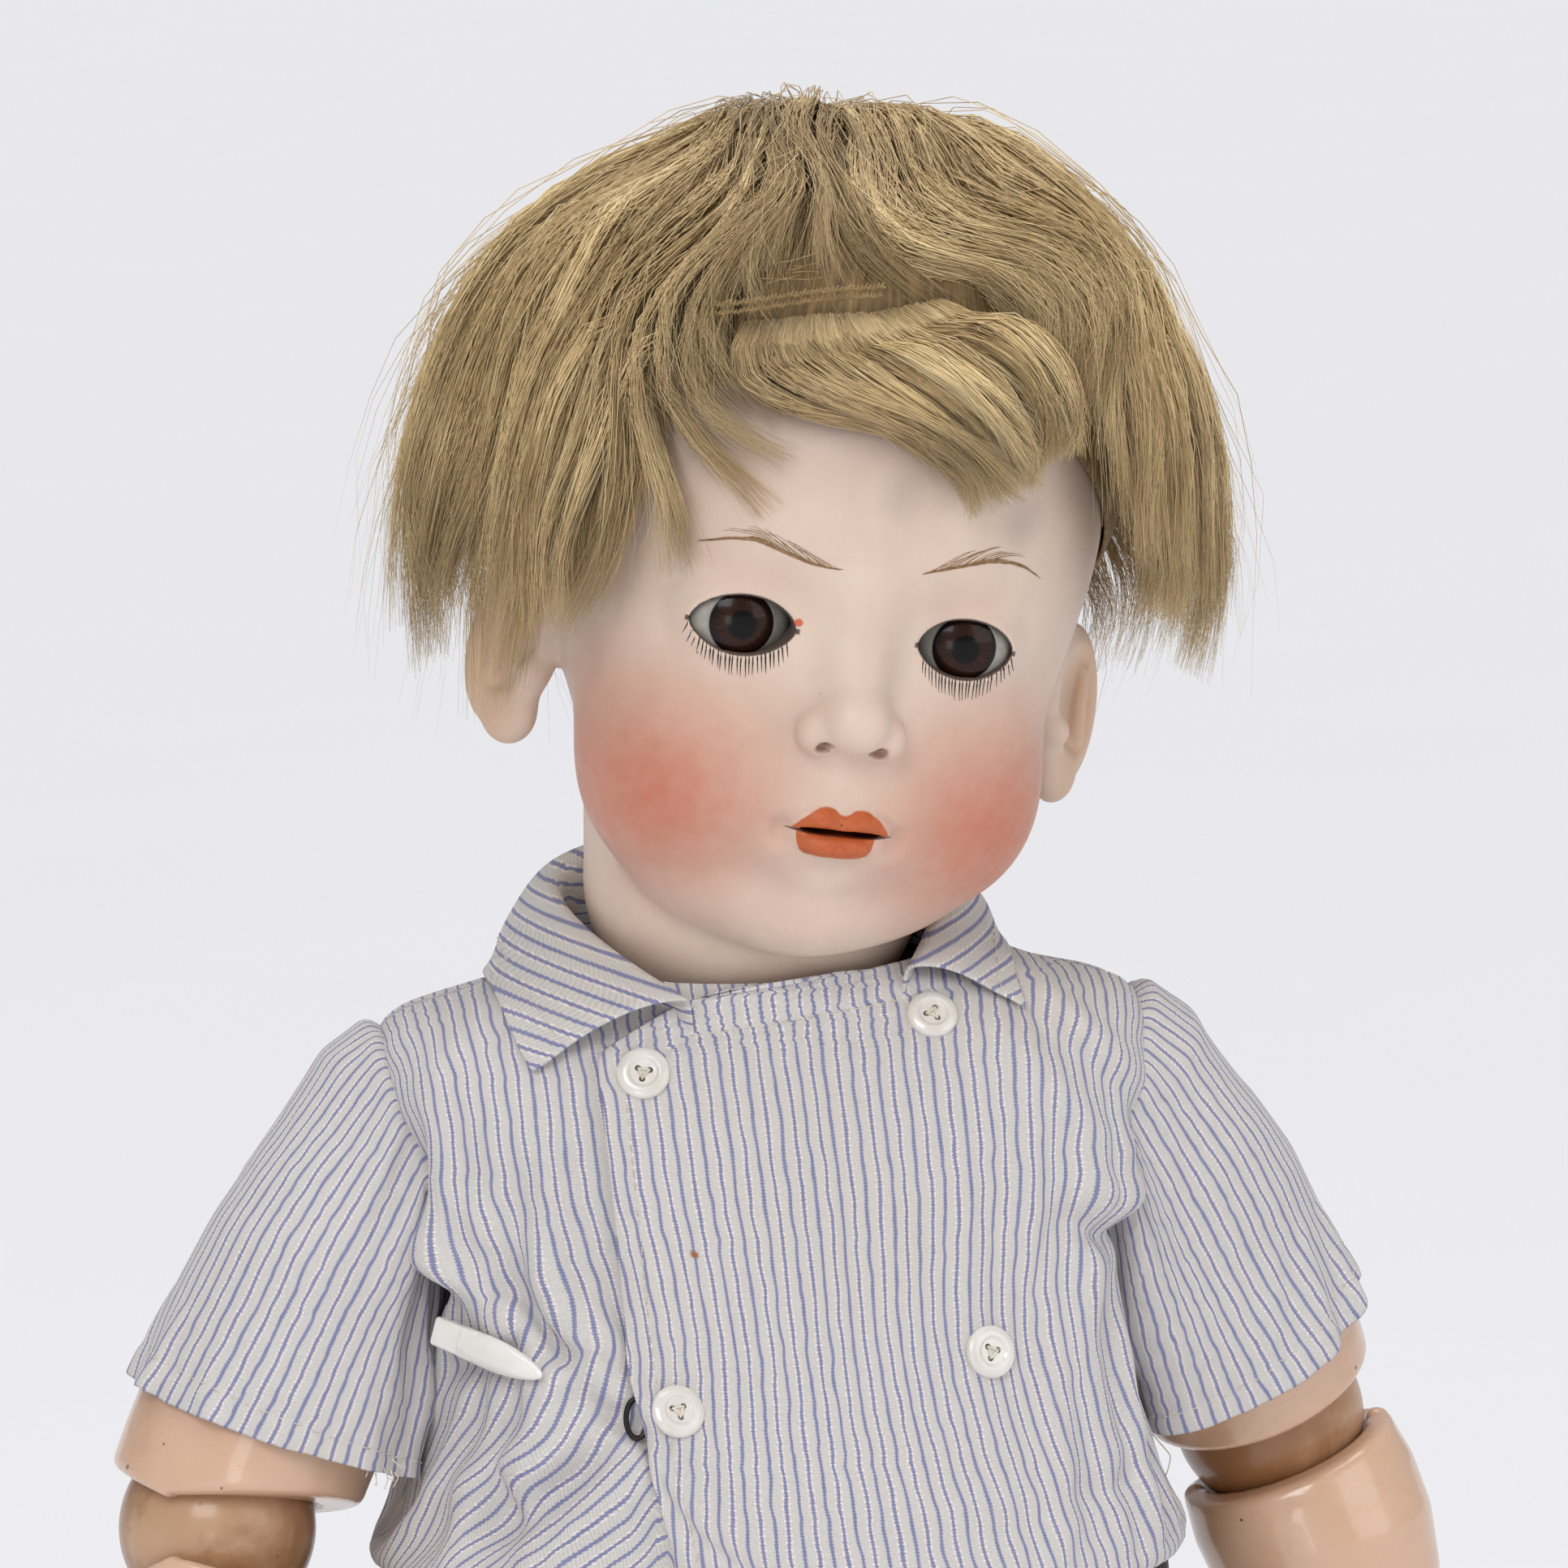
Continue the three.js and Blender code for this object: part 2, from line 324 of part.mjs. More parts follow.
add("shirt_body", cut(shell(SHIRT, SHIRT_DEPTH, SHIRT_SHIFT, 0, 2), torsoForm(0.8, 0, 999), ...room, ...["r", "l"].map((k) => rod(29, S[k], on(S[k], U[k], 92), 14)), rod(NECK_R + 4, [0, 2, 396], [0, 2, 420], 14)), "shirt");
// double-breasted front that laps over the body of the shirt
const lap = shell(SHIRT, SHIRT_DEPTH, SHIRT_SHIFT, 2.9, 2.1).intersect(solid(box([-37, -120, 284], [50, -12, 402])));
add("shirt_front_lap", cut(lap, box([-60, -120, 270], [-31, 0, 374]), ...room, rod(NECK_R + 6, [0, 2, 390], [0, 2, 420], 14)), "shirt");
// turned-down collar, open at the front
const collarProfile = [[29, 407], [31, 412], [33.5, 413], [44, 406.5], [44.5, 404.5], [34, 409.5], [31.2, 406.5]];
const collarRing = solid(new THREE.LatheGeometry([...collarProfile, collarProfile[0]].map((p) => new THREE.Vector2(p[0], p[1])), 18).rotateX(Math.PI / 2).translate(0, 2, 0));
add("collar", cut(collarRing, along(new THREE.CylinderGeometry(46, 46, 60, 3, 1).rotateX(Math.PI / 2), [2, -62, 410], new THREE.Vector3(0, 0, 1))), "shirt");
// china buttons
const shirtY = (x, z, out) => {
  const r = lerpTable(SHIRT, z) + out;
  return lerpTable(SHIRT_SHIFT, z) - r * lerpTable(SHIRT_DEPTH, z) * Math.sqrt(Math.max(0.05, 1 - (x / r) ** 2));
};
const BUTTONS = { button_upper_right: [-28.5, 389.5], button_upper_left: [33, 397], button_lower_right: [-26.5, 322], button_lower_left: [41, 328] };
for (const [name, [x, z]] of Object.entries(BUTTONS)) {
  const y = shirtY(x, z, 2.9), dx = (shirtY(x + 3, z, 2.9) - shirtY(x - 3, z, 2.9)) / 6, dz = (shirtY(x, z + 3, 2.9) - shirtY(x, z - 3, 2.9)) / 6;
  const n = new THREE.Vector3(dx, -1, dz).normalize();
  const form = lathe([[0, 0], [BUTTON_R - 0.8, 0], [BUTTON_R, 0.8], [BUTTON_R - 0.2, BUTTON_T - 0.4], [BUTTON_R - 1, BUTTON_T], [3, BUTTON_T - 0.3], [2.7, BUTTON_T - 0.9], [0, BUTTON_T - 0.9]], 12);
  let b = solid(form);
  for (let i = 0; i < 3; i++) b = b.subtract(solid(new THREE.CylinderGeometry(0.6, 0.6, 8, 5).rotateX(Math.PI / 2).translate(1.5 * Math.cos((i * 2 * Math.PI) / 3 + 0.5), 1.5 * Math.sin((i * 2 * Math.PI) / 3 + 0.5), 0)));
  add(name, along(geometryOf(b), on([x, y, z], n, 0.6 + 0.6 * Math.abs(dx) + 0.9 * Math.abs(dz)), n), "china");
}
// nursery pin that takes in the shirt under the arm, and the wire eye of the front's fastening
const pinAt = [-50, shirtY(-50, 327, 0) - 3.2, 327];
add("nursery_pin_head", along(new THREE.CapsuleGeometry(2.7, 9, 3, 10).rotateX(Math.PI / 2).translate(0, 0, 4.5), pinAt, new THREE.Vector3(0.75, -0.62, -0.16)), "plastic");
add("nursery_pin_wire", solid(cord([on(pinAt, new THREE.Vector3(0.75, -0.62, -0.16).normalize(), -3.2), on(pinAt, new THREE.Vector3(0.75, -0.62, -0.16).normalize(), -9), [-62, shirtY(-62, 330, 0) - 2.6, 330]], 0.7, 6, 6)), "wire");
add("fastening_eye", new THREE.TorusGeometry(3, 0.6, 5, 12).rotateX(Math.PI / 2 - 0.1).rotateZ(-0.45).translate(-35.2, shirtY(-35.2, 316, 0) - 1.3, 316), "wire");
// gathered shorts: the seat and two legs
const SEAT = [[214, 66], [226, 79], [244, 84], [262, 84.5], [276, 83], [283, 80.5]];
const SEAT_DEPTH = [[214, 0.8], [244, 0.84], [283, 0.82]], SEAT_SHIFT = [[214, 0], [283, -2]];
const legRoom = ["r", "l"].map((k) => solid(along(lathe([[0, -4], [41.5, -4], [41.5, 60], [0, 60]], 20), on(H[k], V(K[k]).sub(V(H[k])).normalize(), 4), V(K[k]).sub(V(H[k])))));
const seat = union(cut(shell(SEAT, SEAT_DEPTH, SEAT_SHIFT, 0, 2.4), ...legRoom), cut(solid(box([-5, -42, 196], [5, 44, 199.5])), ...legRoom));
add("shorts_seat", cut(seat, ...room).decompose().sort((a, b) => b.volume() - a.volume())[0], "shorts");
for (const k of ["r", "l"]) {
  const d = V(K[k]).sub(V(H[k]));
  const o = [[39.5, 6], [40.8, 30], [40.8, 62]], i = [[38.4, 62], [38.4, 30], [37.2, 6]];
  let leg = solid(along(new THREE.LatheGeometry([...o, ...i, o[0]].map((p) => new THREE.Vector2(p[0], p[1])), 18).rotateX(Math.PI / 2), H[k], d));
  const x = Math.sign(H[k][0]);
  add("shorts_leg_" + k, cut(leg, x > 0 ? box([-80, -90, 100], [0.4, 90, 260]) : box([-0.4, -90, 100], [80, 90, 260]), torsoForm(1, 0, 999)), "shorts");
}

root.position.set(...OFFSET);
export default root;
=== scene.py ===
import json
import math
import random

import bpy
import numpy as np
from mathutils import Matrix, Vector
from mathutils.bvhtree import BVHTree

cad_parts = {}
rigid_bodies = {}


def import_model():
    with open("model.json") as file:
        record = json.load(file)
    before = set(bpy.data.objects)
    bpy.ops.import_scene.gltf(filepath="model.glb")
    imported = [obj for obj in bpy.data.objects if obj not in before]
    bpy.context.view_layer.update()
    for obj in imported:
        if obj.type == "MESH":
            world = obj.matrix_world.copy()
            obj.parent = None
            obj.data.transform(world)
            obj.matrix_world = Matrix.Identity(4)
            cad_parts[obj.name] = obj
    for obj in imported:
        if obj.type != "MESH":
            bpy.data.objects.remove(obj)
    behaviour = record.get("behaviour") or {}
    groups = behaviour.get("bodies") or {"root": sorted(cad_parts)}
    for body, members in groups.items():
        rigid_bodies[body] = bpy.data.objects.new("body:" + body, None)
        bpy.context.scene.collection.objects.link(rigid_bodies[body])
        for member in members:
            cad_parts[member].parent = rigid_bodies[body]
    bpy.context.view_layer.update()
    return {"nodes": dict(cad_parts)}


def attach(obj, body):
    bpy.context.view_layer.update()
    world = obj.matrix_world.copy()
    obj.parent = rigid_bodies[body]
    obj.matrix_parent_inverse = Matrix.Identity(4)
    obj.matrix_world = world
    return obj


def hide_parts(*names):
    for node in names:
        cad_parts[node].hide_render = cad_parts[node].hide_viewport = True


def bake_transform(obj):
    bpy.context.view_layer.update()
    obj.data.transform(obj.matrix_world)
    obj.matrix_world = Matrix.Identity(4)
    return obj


for o in list(bpy.data.objects):
    bpy.data.objects.remove(o, do_unlink=True)
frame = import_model()

# ------------------------------------------------------------------ the frame's numbers, as in the part
OFF = np.array([-6.999, -3.171, 0.0])
PIVOT = np.array([0.0, 2.0, 406.0])
TURN, TILT, NOD = (math.radians(a) for a in (4, 9.5, 5))
EYE, EYE_R = np.array([23.5, -41.0, 81.0]), 12.5
S = {"r": np.array([-80.0, 2, 377]), "l": np.array([80.0, 2, 377])}


def arm_dir(side, out, fwd):
    o, f = math.radians(out), math.radians(fwd)
    return np.array([side * math.sin(o), -math.cos(o) * math.sin(f), -math.cos(o) * math.cos(f)])


def unit(v):
    v = np.asarray(v, float)
    return v / np.linalg.norm(v)


U = {"r": arm_dir(-1, 25, 6), "l": arm_dir(1, 20.5, -20)}
F = {"r": unit([0.2, -0.45, -0.87]), "l": unit([0.34, -0.18, -0.92])}
E = {k: S[k] + 96 * U[k] for k in "rl"}
WR = {k: E[k] + 72 * F[k] for k in "rl"}
H = {"r": np.array([-38.0, 0, 222]), "l": np.array([38.0, 0, 222])}
K = {"r": np.array([-45.0, -2, 122]), "l": np.array([45.0, -2, 122])}
A = {"r": np.array([-47.0, 2, 28]), "l": np.array([47.0, 2, 28])}


def rot_x(a):
    c, s = math.cos(a), math.sin(a)
    return np.array([[1, 0, 0], [0, c, -s], [0, s, c]])


def rot_y(a):
    c, s = math.cos(a), math.sin(a)
    return np.array([[c, 0, s], [0, 1, 0], [-s, 0, c]])


def rot_z(a):
    c, s = math.cos(a), math.sin(a)
    return np.array([[c, -s, 0], [s, c, 0], [0, 0, 1]])


HR = rot_z(TURN) @ rot_y(TILT) @ rot_x(NOD)


def head_to_doll(p):
    return np.asarray(p, float) @ HR.T + PIVOT


# ------------------------------------------------------------------ meshes
def mesh(name, verts, faces, smooth=True, attrs=None, colors=None):
    """A mesh object from millimetre points in the doll's frame. attrs: name -> (n, 3) or (n,) point values."""
    v = (np.asarray(verts, float) + OFF) / 1000.0
    me = bpy.data.meshes.new(name)
    faces = faces if isinstance(faces, np.ndarray) else [tuple(int(i) for i in f) for f in faces]
    if isinstance(faces, np.ndarray):
        k = faces.shape[1]
        me.vertices.add(len(v))
        me.vertices.foreach_set("co", v.astype(np.float32).ravel())
        me.loops.add(faces.size)
        me.loops.foreach_set("vertex_index", faces.astype(np.int32).ravel())
        me.polygons.add(len(faces))
        me.polygons.foreach_set("loop_start", np.arange(0, faces.size, k, dtype=np.int32))
        me.update(calc_edges=True)
    else:
        me.from_pydata([tuple(p) for p in v], [], faces)
        me.update()
    if smooth:
        me.polygons.foreach_set("use_smooth", np.ones(len(me.polygons), bool))
    for key, val in (attrs or {}).items():
        val = np.asarray(val, np.float32)
        a = me.attributes.new(key, "FLOAT_VECTOR" if val.ndim == 2 else "FLOAT", "POINT")
        a.data.foreach_set("vector" if val.ndim == 2 else "value", val.ravel())
    me.validate()
    ob = bpy.data.objects.new(name, me)
    bpy.context.scene.collection.objects.link(ob)
    return ob


def paint(ob, material, body=None):
    ob.data.materials.clear()
    ob.data.materials.append(material)
    if body:
        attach(ob, body)
    return ob


# ------------------------------------------------------------------ signed distances and their surface
def ell(P, c, r):
    r = np.asarray(r, np.float32)
    q = (P - np.asarray(c, np.float32)) / r
    k0 = np.sqrt((q * q).sum(1))
    q = q / r
    k1 = np.sqrt((q * q).sum(1))
    return k0 * (k0 - 1) / np.maximum(k1, 1e-6)


def sph(P, c, r):
    q = P - np.asarray(c, np.float32)
    return np.sqrt((q * q).sum(1)) - r


def cap(P, a, b, ra, rb):
    a, b = np.asarray(a, np.float32), np.asarray(b, np.float32)
    d = b - a
    t = np.clip((P - a) @ d / float(d @ d), 0, 1)
    q = P - a - t[:, None] * d
    return np.sqrt((q * q).sum(1)) - (ra + (rb - ra) * t)


def smin(a, b, k):
    h = np.clip(0.5 + 0.5 * (b - a) / k, 0, 1)
    return b * (1 - h) + a * h - k * h * (1 - h)


def smax(a, b, k):
    return -smin(-a, -b, k)


def surface(f, lo, hi, step, project=2):
    """The zero surface of f as (vertices, quads): surface nets on a grid, evaluated only near the surface."""
    lo, hi = np.asarray(lo, np.float32), np.asarray(hi, np.float32)
    big = 4
    n = (np.ceil((hi - lo) / (step * big)).astype(int) + 1) * big + 1
    axes = [lo[i] + step * np.arange(n[i], dtype=np.float32) for i in range(3)]
    ca = [a[::big] for a in axes]
    g = np.stack(np.meshgrid(*ca, indexing="ij"), -1).reshape(-1, 3)
    c = f(g).reshape([len(a) for a in ca])
    near = np.abs(c) < step * big * 2.6
    grown = near.copy()
    for ax in range(3):
        for sh in (-1, 1):
            grown |= np.roll(near, sh, ax)
    D = np.repeat(np.repeat(np.repeat(c, big, 0), big, 1), big, 2)[: n[0], : n[1], : n[2]].copy()
    M = np.repeat(np.repeat(np.repeat(grown, big, 0), big, 1), big, 2)[: n[0], : n[1], : n[2]]
    ii = np.nonzero(M)
    pts = np.stack([axes[0][ii[0]], axes[1][ii[1]], axes[2][ii[2]]], 1)
    vals = np.empty(len(pts), np.float32)
    for s in range(0, len(pts), 400000):
        vals[s : s + 400000] = f(pts[s : s + 400000])
    D[ii] = vals
    D[0], D[-1] = 9, 9
    D[:, 0], D[:, -1] = 9, 9
    D[:, :, 0], D[:, :, -1] = 9, 9
    neg = D < 0
    cnt = np.zeros((n[0] - 1, n[1] - 1, n[2] - 1), np.int8)
    for dx in (0, 1):
        for dy in (0, 1):
            for dz in (0, 1):
                cnt += neg[dx : n[0] - 1 + dx, dy : n[1] - 1 + dy, dz : n[2] - 1 + dz]
    cells = np.nonzero((cnt > 0) & (cnt < 8))
    index = -np.ones(cnt.shape, np.int64)
    index[cells] = np.arange(len(cells[0]))
    base = np.stack(cells, 1)
    total, hits = np.zeros((len(base), 3)), np.zeros(len(base))
    corner = [(x, y, z) for x in (0, 1) for y in (0, 1) for z in (0, 1)]
    for a in corner:
        for ax in range(3):
            if a[ax]:
                continue
            b = list(a)
            b[ax] = 1
            da = D[base[:, 0] + a[0], base[:, 1] + a[1], base[:, 2] + a[2]]
            db = D[base[:, 0] + b[0], base[:, 1] + b[1], base[:, 2] + b[2]]
            hit = (da < 0) != (db < 0)
            t = np.where(hit, da / np.where(hit, da - db, 1), 0)
            p = np.tile(np.array(a, float), (len(base), 1))
            p[:, ax] = t
            total += np.where(hit[:, None], p, 0)
            hits += hit
    v = lo + step * (base + total / hits[:, None])
    quads = []
    for ax in range(3):
        u, w = (ax + 1) % 3, (ax + 2) % 3
        sl0, sl1 = [slice(None)] * 3, [slice(None)] * 3
        sl0[ax], sl1[ax] = slice(0, -1), slice(1, None)
        flip = neg[tuple(sl0)] != neg[tuple(sl1)]
        e = np.stack(np.nonzero(flip), 1)
        e = e[(e[:, u] > 0) & (e[:, w] > 0) & (e[:, u] < n[u] - 1) & (e[:, w] < n[w] - 1)]
        inside = neg[e[:, 0], e[:, 1], e[:, 2]]
        q = []
        for du, dw in ((0, 0), (-1, 0), (-1, -1), (0, -1)):
            c2 = e.copy()
            c2[:, u] += du
            c2[:, w] += dw
            q.append(index[c2[:, 0], c2[:, 1], c2[:, 2]])
        q = np.stack(q, 1)
        q[~inside] = q[~inside][:, ::-1]
        quads.append(q)
    quads = np.concatenate(quads)
    quads = quads[(quads >= 0).all(1)]
    v = v.astype(np.float32)
    h = step * 0.4
    for _ in range(project):
        d = f(v)
        gr = np.stack([f(v + np.eye(3, dtype=np.float32)[i] * h) - f(v - np.eye(3, dtype=np.float32)[i] * h) for i in range(3)], 1) / (2 * h)
        m = np.maximum((gr * gr).sum(1), 0.15)
        mv = (d / m)[:, None] * gr
        ln = np.sqrt((mv * mv).sum(1, keepdims=True))
        v = v - (mv * np.minimum(1, 0.7 * step / np.maximum(ln, 1e-9))).astype(np.float32)
    used = np.unique(quads)
    back = -np.ones(len(v), np.int64)
    back[used] = np.arange(len(used))
    return v[used], back[quads]


# ------------------------------------------------------------------ shader helpers
class Mat:
    def __init__(self, name):
        self.m = bpy.data.materials.new(name)
        self.m.use_nodes = True
        self.t = self.m.node_tree
        self.t.nodes.clear()
        self.out = self.t.nodes.new("ShaderNodeOutputMaterial")
        self.b = self.t.nodes.new("ShaderNodeBsdfPrincipled")
        self.t.links.new(self.b.outputs[0], self.out.inputs[0])

    def set(self, **kw):
        for k, v in kw.items():
            self.b.inputs[k.replace("_", " ")].default_value = v
        return self

    def n(self, kind, **kw):
        node = self.t.nodes.new("ShaderNode" + kind)
        for k, v in kw.items():
            setattr(node, k, v)
        return node

    def put(self, socket, value):
        if hasattr(value, "is_output"):
            self.t.links.new(value, socket)
        elif value is not None:
            socket.default_value = value

    def math(self, op, a, b=None, c=None, clamp=False):
        x = self.n("Math", operation=op, use_clamp=clamp)
        self.put(x.inputs[0], a)
        self.put(x.inputs[1], b)
        self.put(x.inputs[2], c)
        return x.outputs[0]

    def attr(self, name, out="Vector"):
        return self.n("Attribute", attribute_name=name).outputs[out]

    def obj(self):
        return self.n("TexCoord").outputs["Object"]

    def xyz(self, v):
        s = self.n("SeparateXYZ")
        self.put(s.inputs[0], v)
        return s.outputs[0], s.outputs[1], s.outputs[2]

    def vec(self, x, y, z):
        s = self.n("CombineXYZ")
        for i, v in enumerate((x, y, z)):
            self.put(s.inputs[i], v)
        return s.outputs[0]

    def noise(self, vector, scale, detail=2.0, rough=0.5, out="Fac", distortion=0.0):
        x = self.n("TexNoise")
        self.put(x.inputs["Vector"], vector)
        x.inputs["Scale"].default_value = scale
        x.inputs["Detail"].default_value = detail
        x.inputs["Roughness"].default_value = rough
        x.inputs["Distortion"].default_value = distortion
        return x.outputs[out]

    def voronoi(self, vector, scale, feature="F1", out="Distance", random_=1.0):
        x = self.n("TexVoronoi", feature=feature)
        self.put(x.inputs["Vector"], vector)
        x.inputs["Scale"].default_value = scale
        x.inputs["Randomness"].default_value = random_
        return x.outputs[out]

    def ramp(self, fac, stops, interp="LINEAR"):
        r = self.n("ValToRGB")
        r.color_ramp.interpolation = interp
        while len(r.color_ramp.elements) > 1:
            r.color_ramp.elements.remove(r.color_ramp.elements[-1])
        r.color_ramp.elements[0].position = stops[0][0]
        r.color_ramp.elements[0].color = col(stops[0][1])
        for p, c in stops[1:]:
            e = r.color_ramp.elements.new(p)
            e.color = col(c)
        self.put(r.inputs[0], fac)
        return r.outputs[0]

    def smooth(self, v, lo, hi, a=0.0, b=1.0):
        x = self.n("MapRange", interpolation_type="SMOOTHSTEP")
        self.put(x.inputs[0], v)
        for i, q in enumerate((lo, hi, a, b)):
            x.inputs[1 + i].default_value = q
        return x.outputs[0]

    def mix(self, fac, a, b, blend="MIX"):
        x = self.n("Mix", data_type="RGBA", blend_type=blend)
        self.put(x.inputs[0], fac)
        self.put(x.inputs[6], col(a) if isinstance(a, (tuple, list)) else a)
        self.put(x.inputs[7], col(b) if isinstance(b, (tuple, list)) else b)
        return x.outputs[2]

    def curve(self, v, points):
        """A Float Curve from v in 0..1 to values in 0..1."""
        x = self.n("FloatCurve")
        c = x.mapping.curves[0]
        c.points[0].location = points[0]
        c.points[1].location = points[-1]
        for p in points[1:-1]:
            c.points.new(*p)
        x.mapping.update()
        self.put(x.inputs["Value"], v)
        return x.outputs[0]

    def bump(self, height, distance, strength=1.0, normal=None):
        b = self.n("Bump")
        b.inputs["Strength"].default_value = strength
        b.inputs["Distance"].default_value = distance
        self.put(b.inputs["Height"], height)
        if normal is not None:
            self.put(b.inputs["Normal"], normal)
        return b.outputs[0]

    def color(self, v):
        self.put(self.b.inputs["Base Color"], v)
        return self

    def normal(self, v):
        self.put(self.b.inputs["Normal"], v)
        return self

    def rough(self, v):
        self.put(self.b.inputs["Roughness"], v)
        return self


def lin(c):
    return c / 12.92 if c <= 0.04045 else ((c + 0.055) / 1.055) ** 2.4


def col(c):
    """sRGB bytes to a linear colour."""
    if len(c) == 4:
        return c
    return (lin(c[0] / 255), lin(c[1] / 255), lin(c[2] / 255), 1.0)


# ------------------------------------------------------------------ the bisque head
def mirror(P):
    Q = P.copy()
    Q[:, 0] = np.abs(Q[:, 0])
    return Q


def almond(u, w):
    """Distance-like value of the eye opening: u across from the eye's middle (towards the ear), w up."""
    half = 10.6
    q = np.clip(1 - (u / half) ** 2, 0, 1)
    up, down = 6.1 * q**0.62, -5.9 * q**0.72
    d = np.maximum(w - up, down - w) * 0.72
    far = np.sqrt(w * w + np.maximum(np.abs(u) - half, 0) ** 2)
    return np.where(np.abs(u) < half, d, np.maximum(far, 0.05))


def head_outer(P):
    Q = mirror(P)
    N = P - np.array([0.9, 0, 0], np.float32)
    M = P - np.array([1.8, 0, 0], np.float32)
    NQ, MQ = mirror(N), mirror(M)
    d = ell(P, (0, 8, 100), (60.5, 67, 69))
    d = smin(d, ell(P, (0, -12, 64), (47, 46, 55)), 14)
    d = smin(d, ell(P, (0, -17, 111), (46, 41, 41)), 16)
    d = smin(d, ell(Q, (24.5, -28.5, 46), (24, 25, 25)), 12)
    d = smin(d, ell(P, (0, -34, 21.5), (15, 17.5, 12)), 10)
    d = smin(d, ell(Q, (13, -19, 26), (19, 24, 14.5)), 10)
    # neck, whose ball end turns in the torso
    d = smin(d, cap(P, (0, 0, 0), (0, 7, 40), 23, 28), 9)
    d = smin(d, cap(P, (-6.0, 1.5, 17), (-7.0, 3.0, 38), 33.2, 35.0), 3)
    d = smin(d, cap(P, (0, 2.0, 17), (0, 4.0, 38), 33.5, 35), 3)
    # eye hollows, then the lids over the eyeballs
    d = smax(d, -ell(Q, (22.5, -70.2, 83.5), (17, 13.5, 12)), 9)
    d = smin(d, sph(Q, EYE, 14.15), 2.4)
    # nose
    d = smin(d, cap(N, (-0.9, -53.5, 92), (0, -61.0, 69), 4.2, 5.4), 8)
    d = smin(d, ell(N, (0, -64.4, 64.8), (6.8, 6.0, 6.0)), 4.5)
    d = smin(d, ell(NQ, (7.4, -60.2, 61.8), (4.2, 5.0, 4.5)), 2.6)
    # mouth: muzzle, lips, philtrum, corners, hollow under the lip; the slot is cut in head_shape
    d = smin(d, ell(M, (-0.6, -49.5, 43.5), (18, 11.2, 14.5)), 9)
    d = smax(d, -cap(M, (-0.8, -64.2, 57), (0, -63.5, 49), 1.7, 2.1), 2.4)
    d = smax(d, -ell(M, (0, -62.4, 31.2), (9, 5, 2.6)), 5)
    d = smax(d, -ell(MQ, (12.4, -60.2, 39.6), (2.2, 3.8, 3.4)), 3)
    d = smin(d, ell(MQ, (4.2, -59.6, 44.1), (5.6, 3.2, 2.5)), 1.4)
    d = smin(d, ell(M, (0, -59.9, 43.3), (3.4, 3.2, 2.0)), 1.2)
    d = smin(d, ell(MQ, (8.0, -58.2, 42.8), (2.8, 2.6, 1.5)), 1.2)
    d = smin(d, ell(M, (-0.9, -58.9, 38.4), (8.0, 3.7, 2.7)), 1.2)
    # ears
    c, s = math.cos(math.radians(36)), math.sin(math.radians(36))
    L = Q - np.array([60.5, 6.5, 60.0], np.float32)
    R = np.stack([c * L[:, 0] - s * L[:, 1], s * L[:, 0] + c * L[:, 1], L[:, 2]], 1)
    R[:, 1] += 0.16 * R[:, 2]
    e = ell(R, (0, 0, 0.5), (4.6, 12.6, 18.5))
    e = smax(e, -ell(R, (4.8, -1.6, 2.5), (4.9, 8.6, 13.0)), 1.4)
    e = smin(e, cap(R, (1.8, 3.4, 8.5), (1.8, 1.8, -6), 1.5, 2.1), 1.4)
    e = smin(e, sph(R, (1.4, -8.8, -3.5), 3.4), 2)
    e = smin(e, ell(R, (0.4, -5.0, -14.5), (4.2, 6.4, 6.0)), 3)
    return smin(d, e, 3.5)


def head_shape(P):
    Q = mirror(P)
    NQ = mirror(P - np.array([0.9, 0, 0], np.float32))
    M = P - np.array([1.8, 0, 0], np.float32)
    d = head_outer(P)
    # nostrils and mouth slot
    d = smax(d, -ell(NQ, (5.7, -62.6, 59.4), (1.9, 3.4, 1.5)), 0.9)
    d = smax(d, -ell(M, (0, -60, 41.3), (8.8, 8.5, 0.78)), 0.5)
    # eye openings and the hollows that the eyes turn in
    op = almond(Q[:, 0] - EYE[0], Q[:, 2] - EYE[2] + 0.035 * (Q[:, 0] - EYE[0]))
    d = smax(d, -np.maximum(op, Q[:, 1] + 38), 0.9)
    d = np.maximum(d, -sph(Q, EYE, EYE_R + 0.35))
    # hollow inside, neck bore and crown opening
    c = smin(ell(P, (0, 8, 98), (54.5, 61, 63)), ell(P, (0, -6, 62), (40, 37, 42)), 14)
    c = smin(c, cap(P, (0, 0, 0), (0, 5, 50), 18.2, 21), 5)
    d = np.maximum(d, -c)
    d = np.maximum(d, -cap(P, (0, 0, -45), (0, 0, 0), 8, 8))
    return np.maximum(d, (P[:, 1] - 10) * 0.2924 + (P[:, 2] - 140) * 0.9563)


HEAD_STEP = 0.9
hv, hq = surface(head_shape, (-72, -76, -26), (72, 82, 152), HEAD_STEP)
head = mesh("head_bisque", head_to_doll(hv), hq, attrs={"hl": hv})
HEAD_BVH = BVHTree.FromPolygons([Vector(p) for p in hv.tolist()], hq.tolist())  # in the head's own frame


def head_hit(x, z, y0=-110.0):
    """Point and normal of the face at x, z in the head's frame, seen from the front."""
    p, n, _, _ = HEAD_BVH.ray_cast(Vector((x, y0, z)), Vector((0, 1, 0)))
    return (np.array(p), np.array(n)) if p is not None else (None, None)


m = Mat("bisque")
loc = m.attr("hl")
x, y, z = m.xyz(loc)
ax_ = m.math("ABSOLUTE", x)


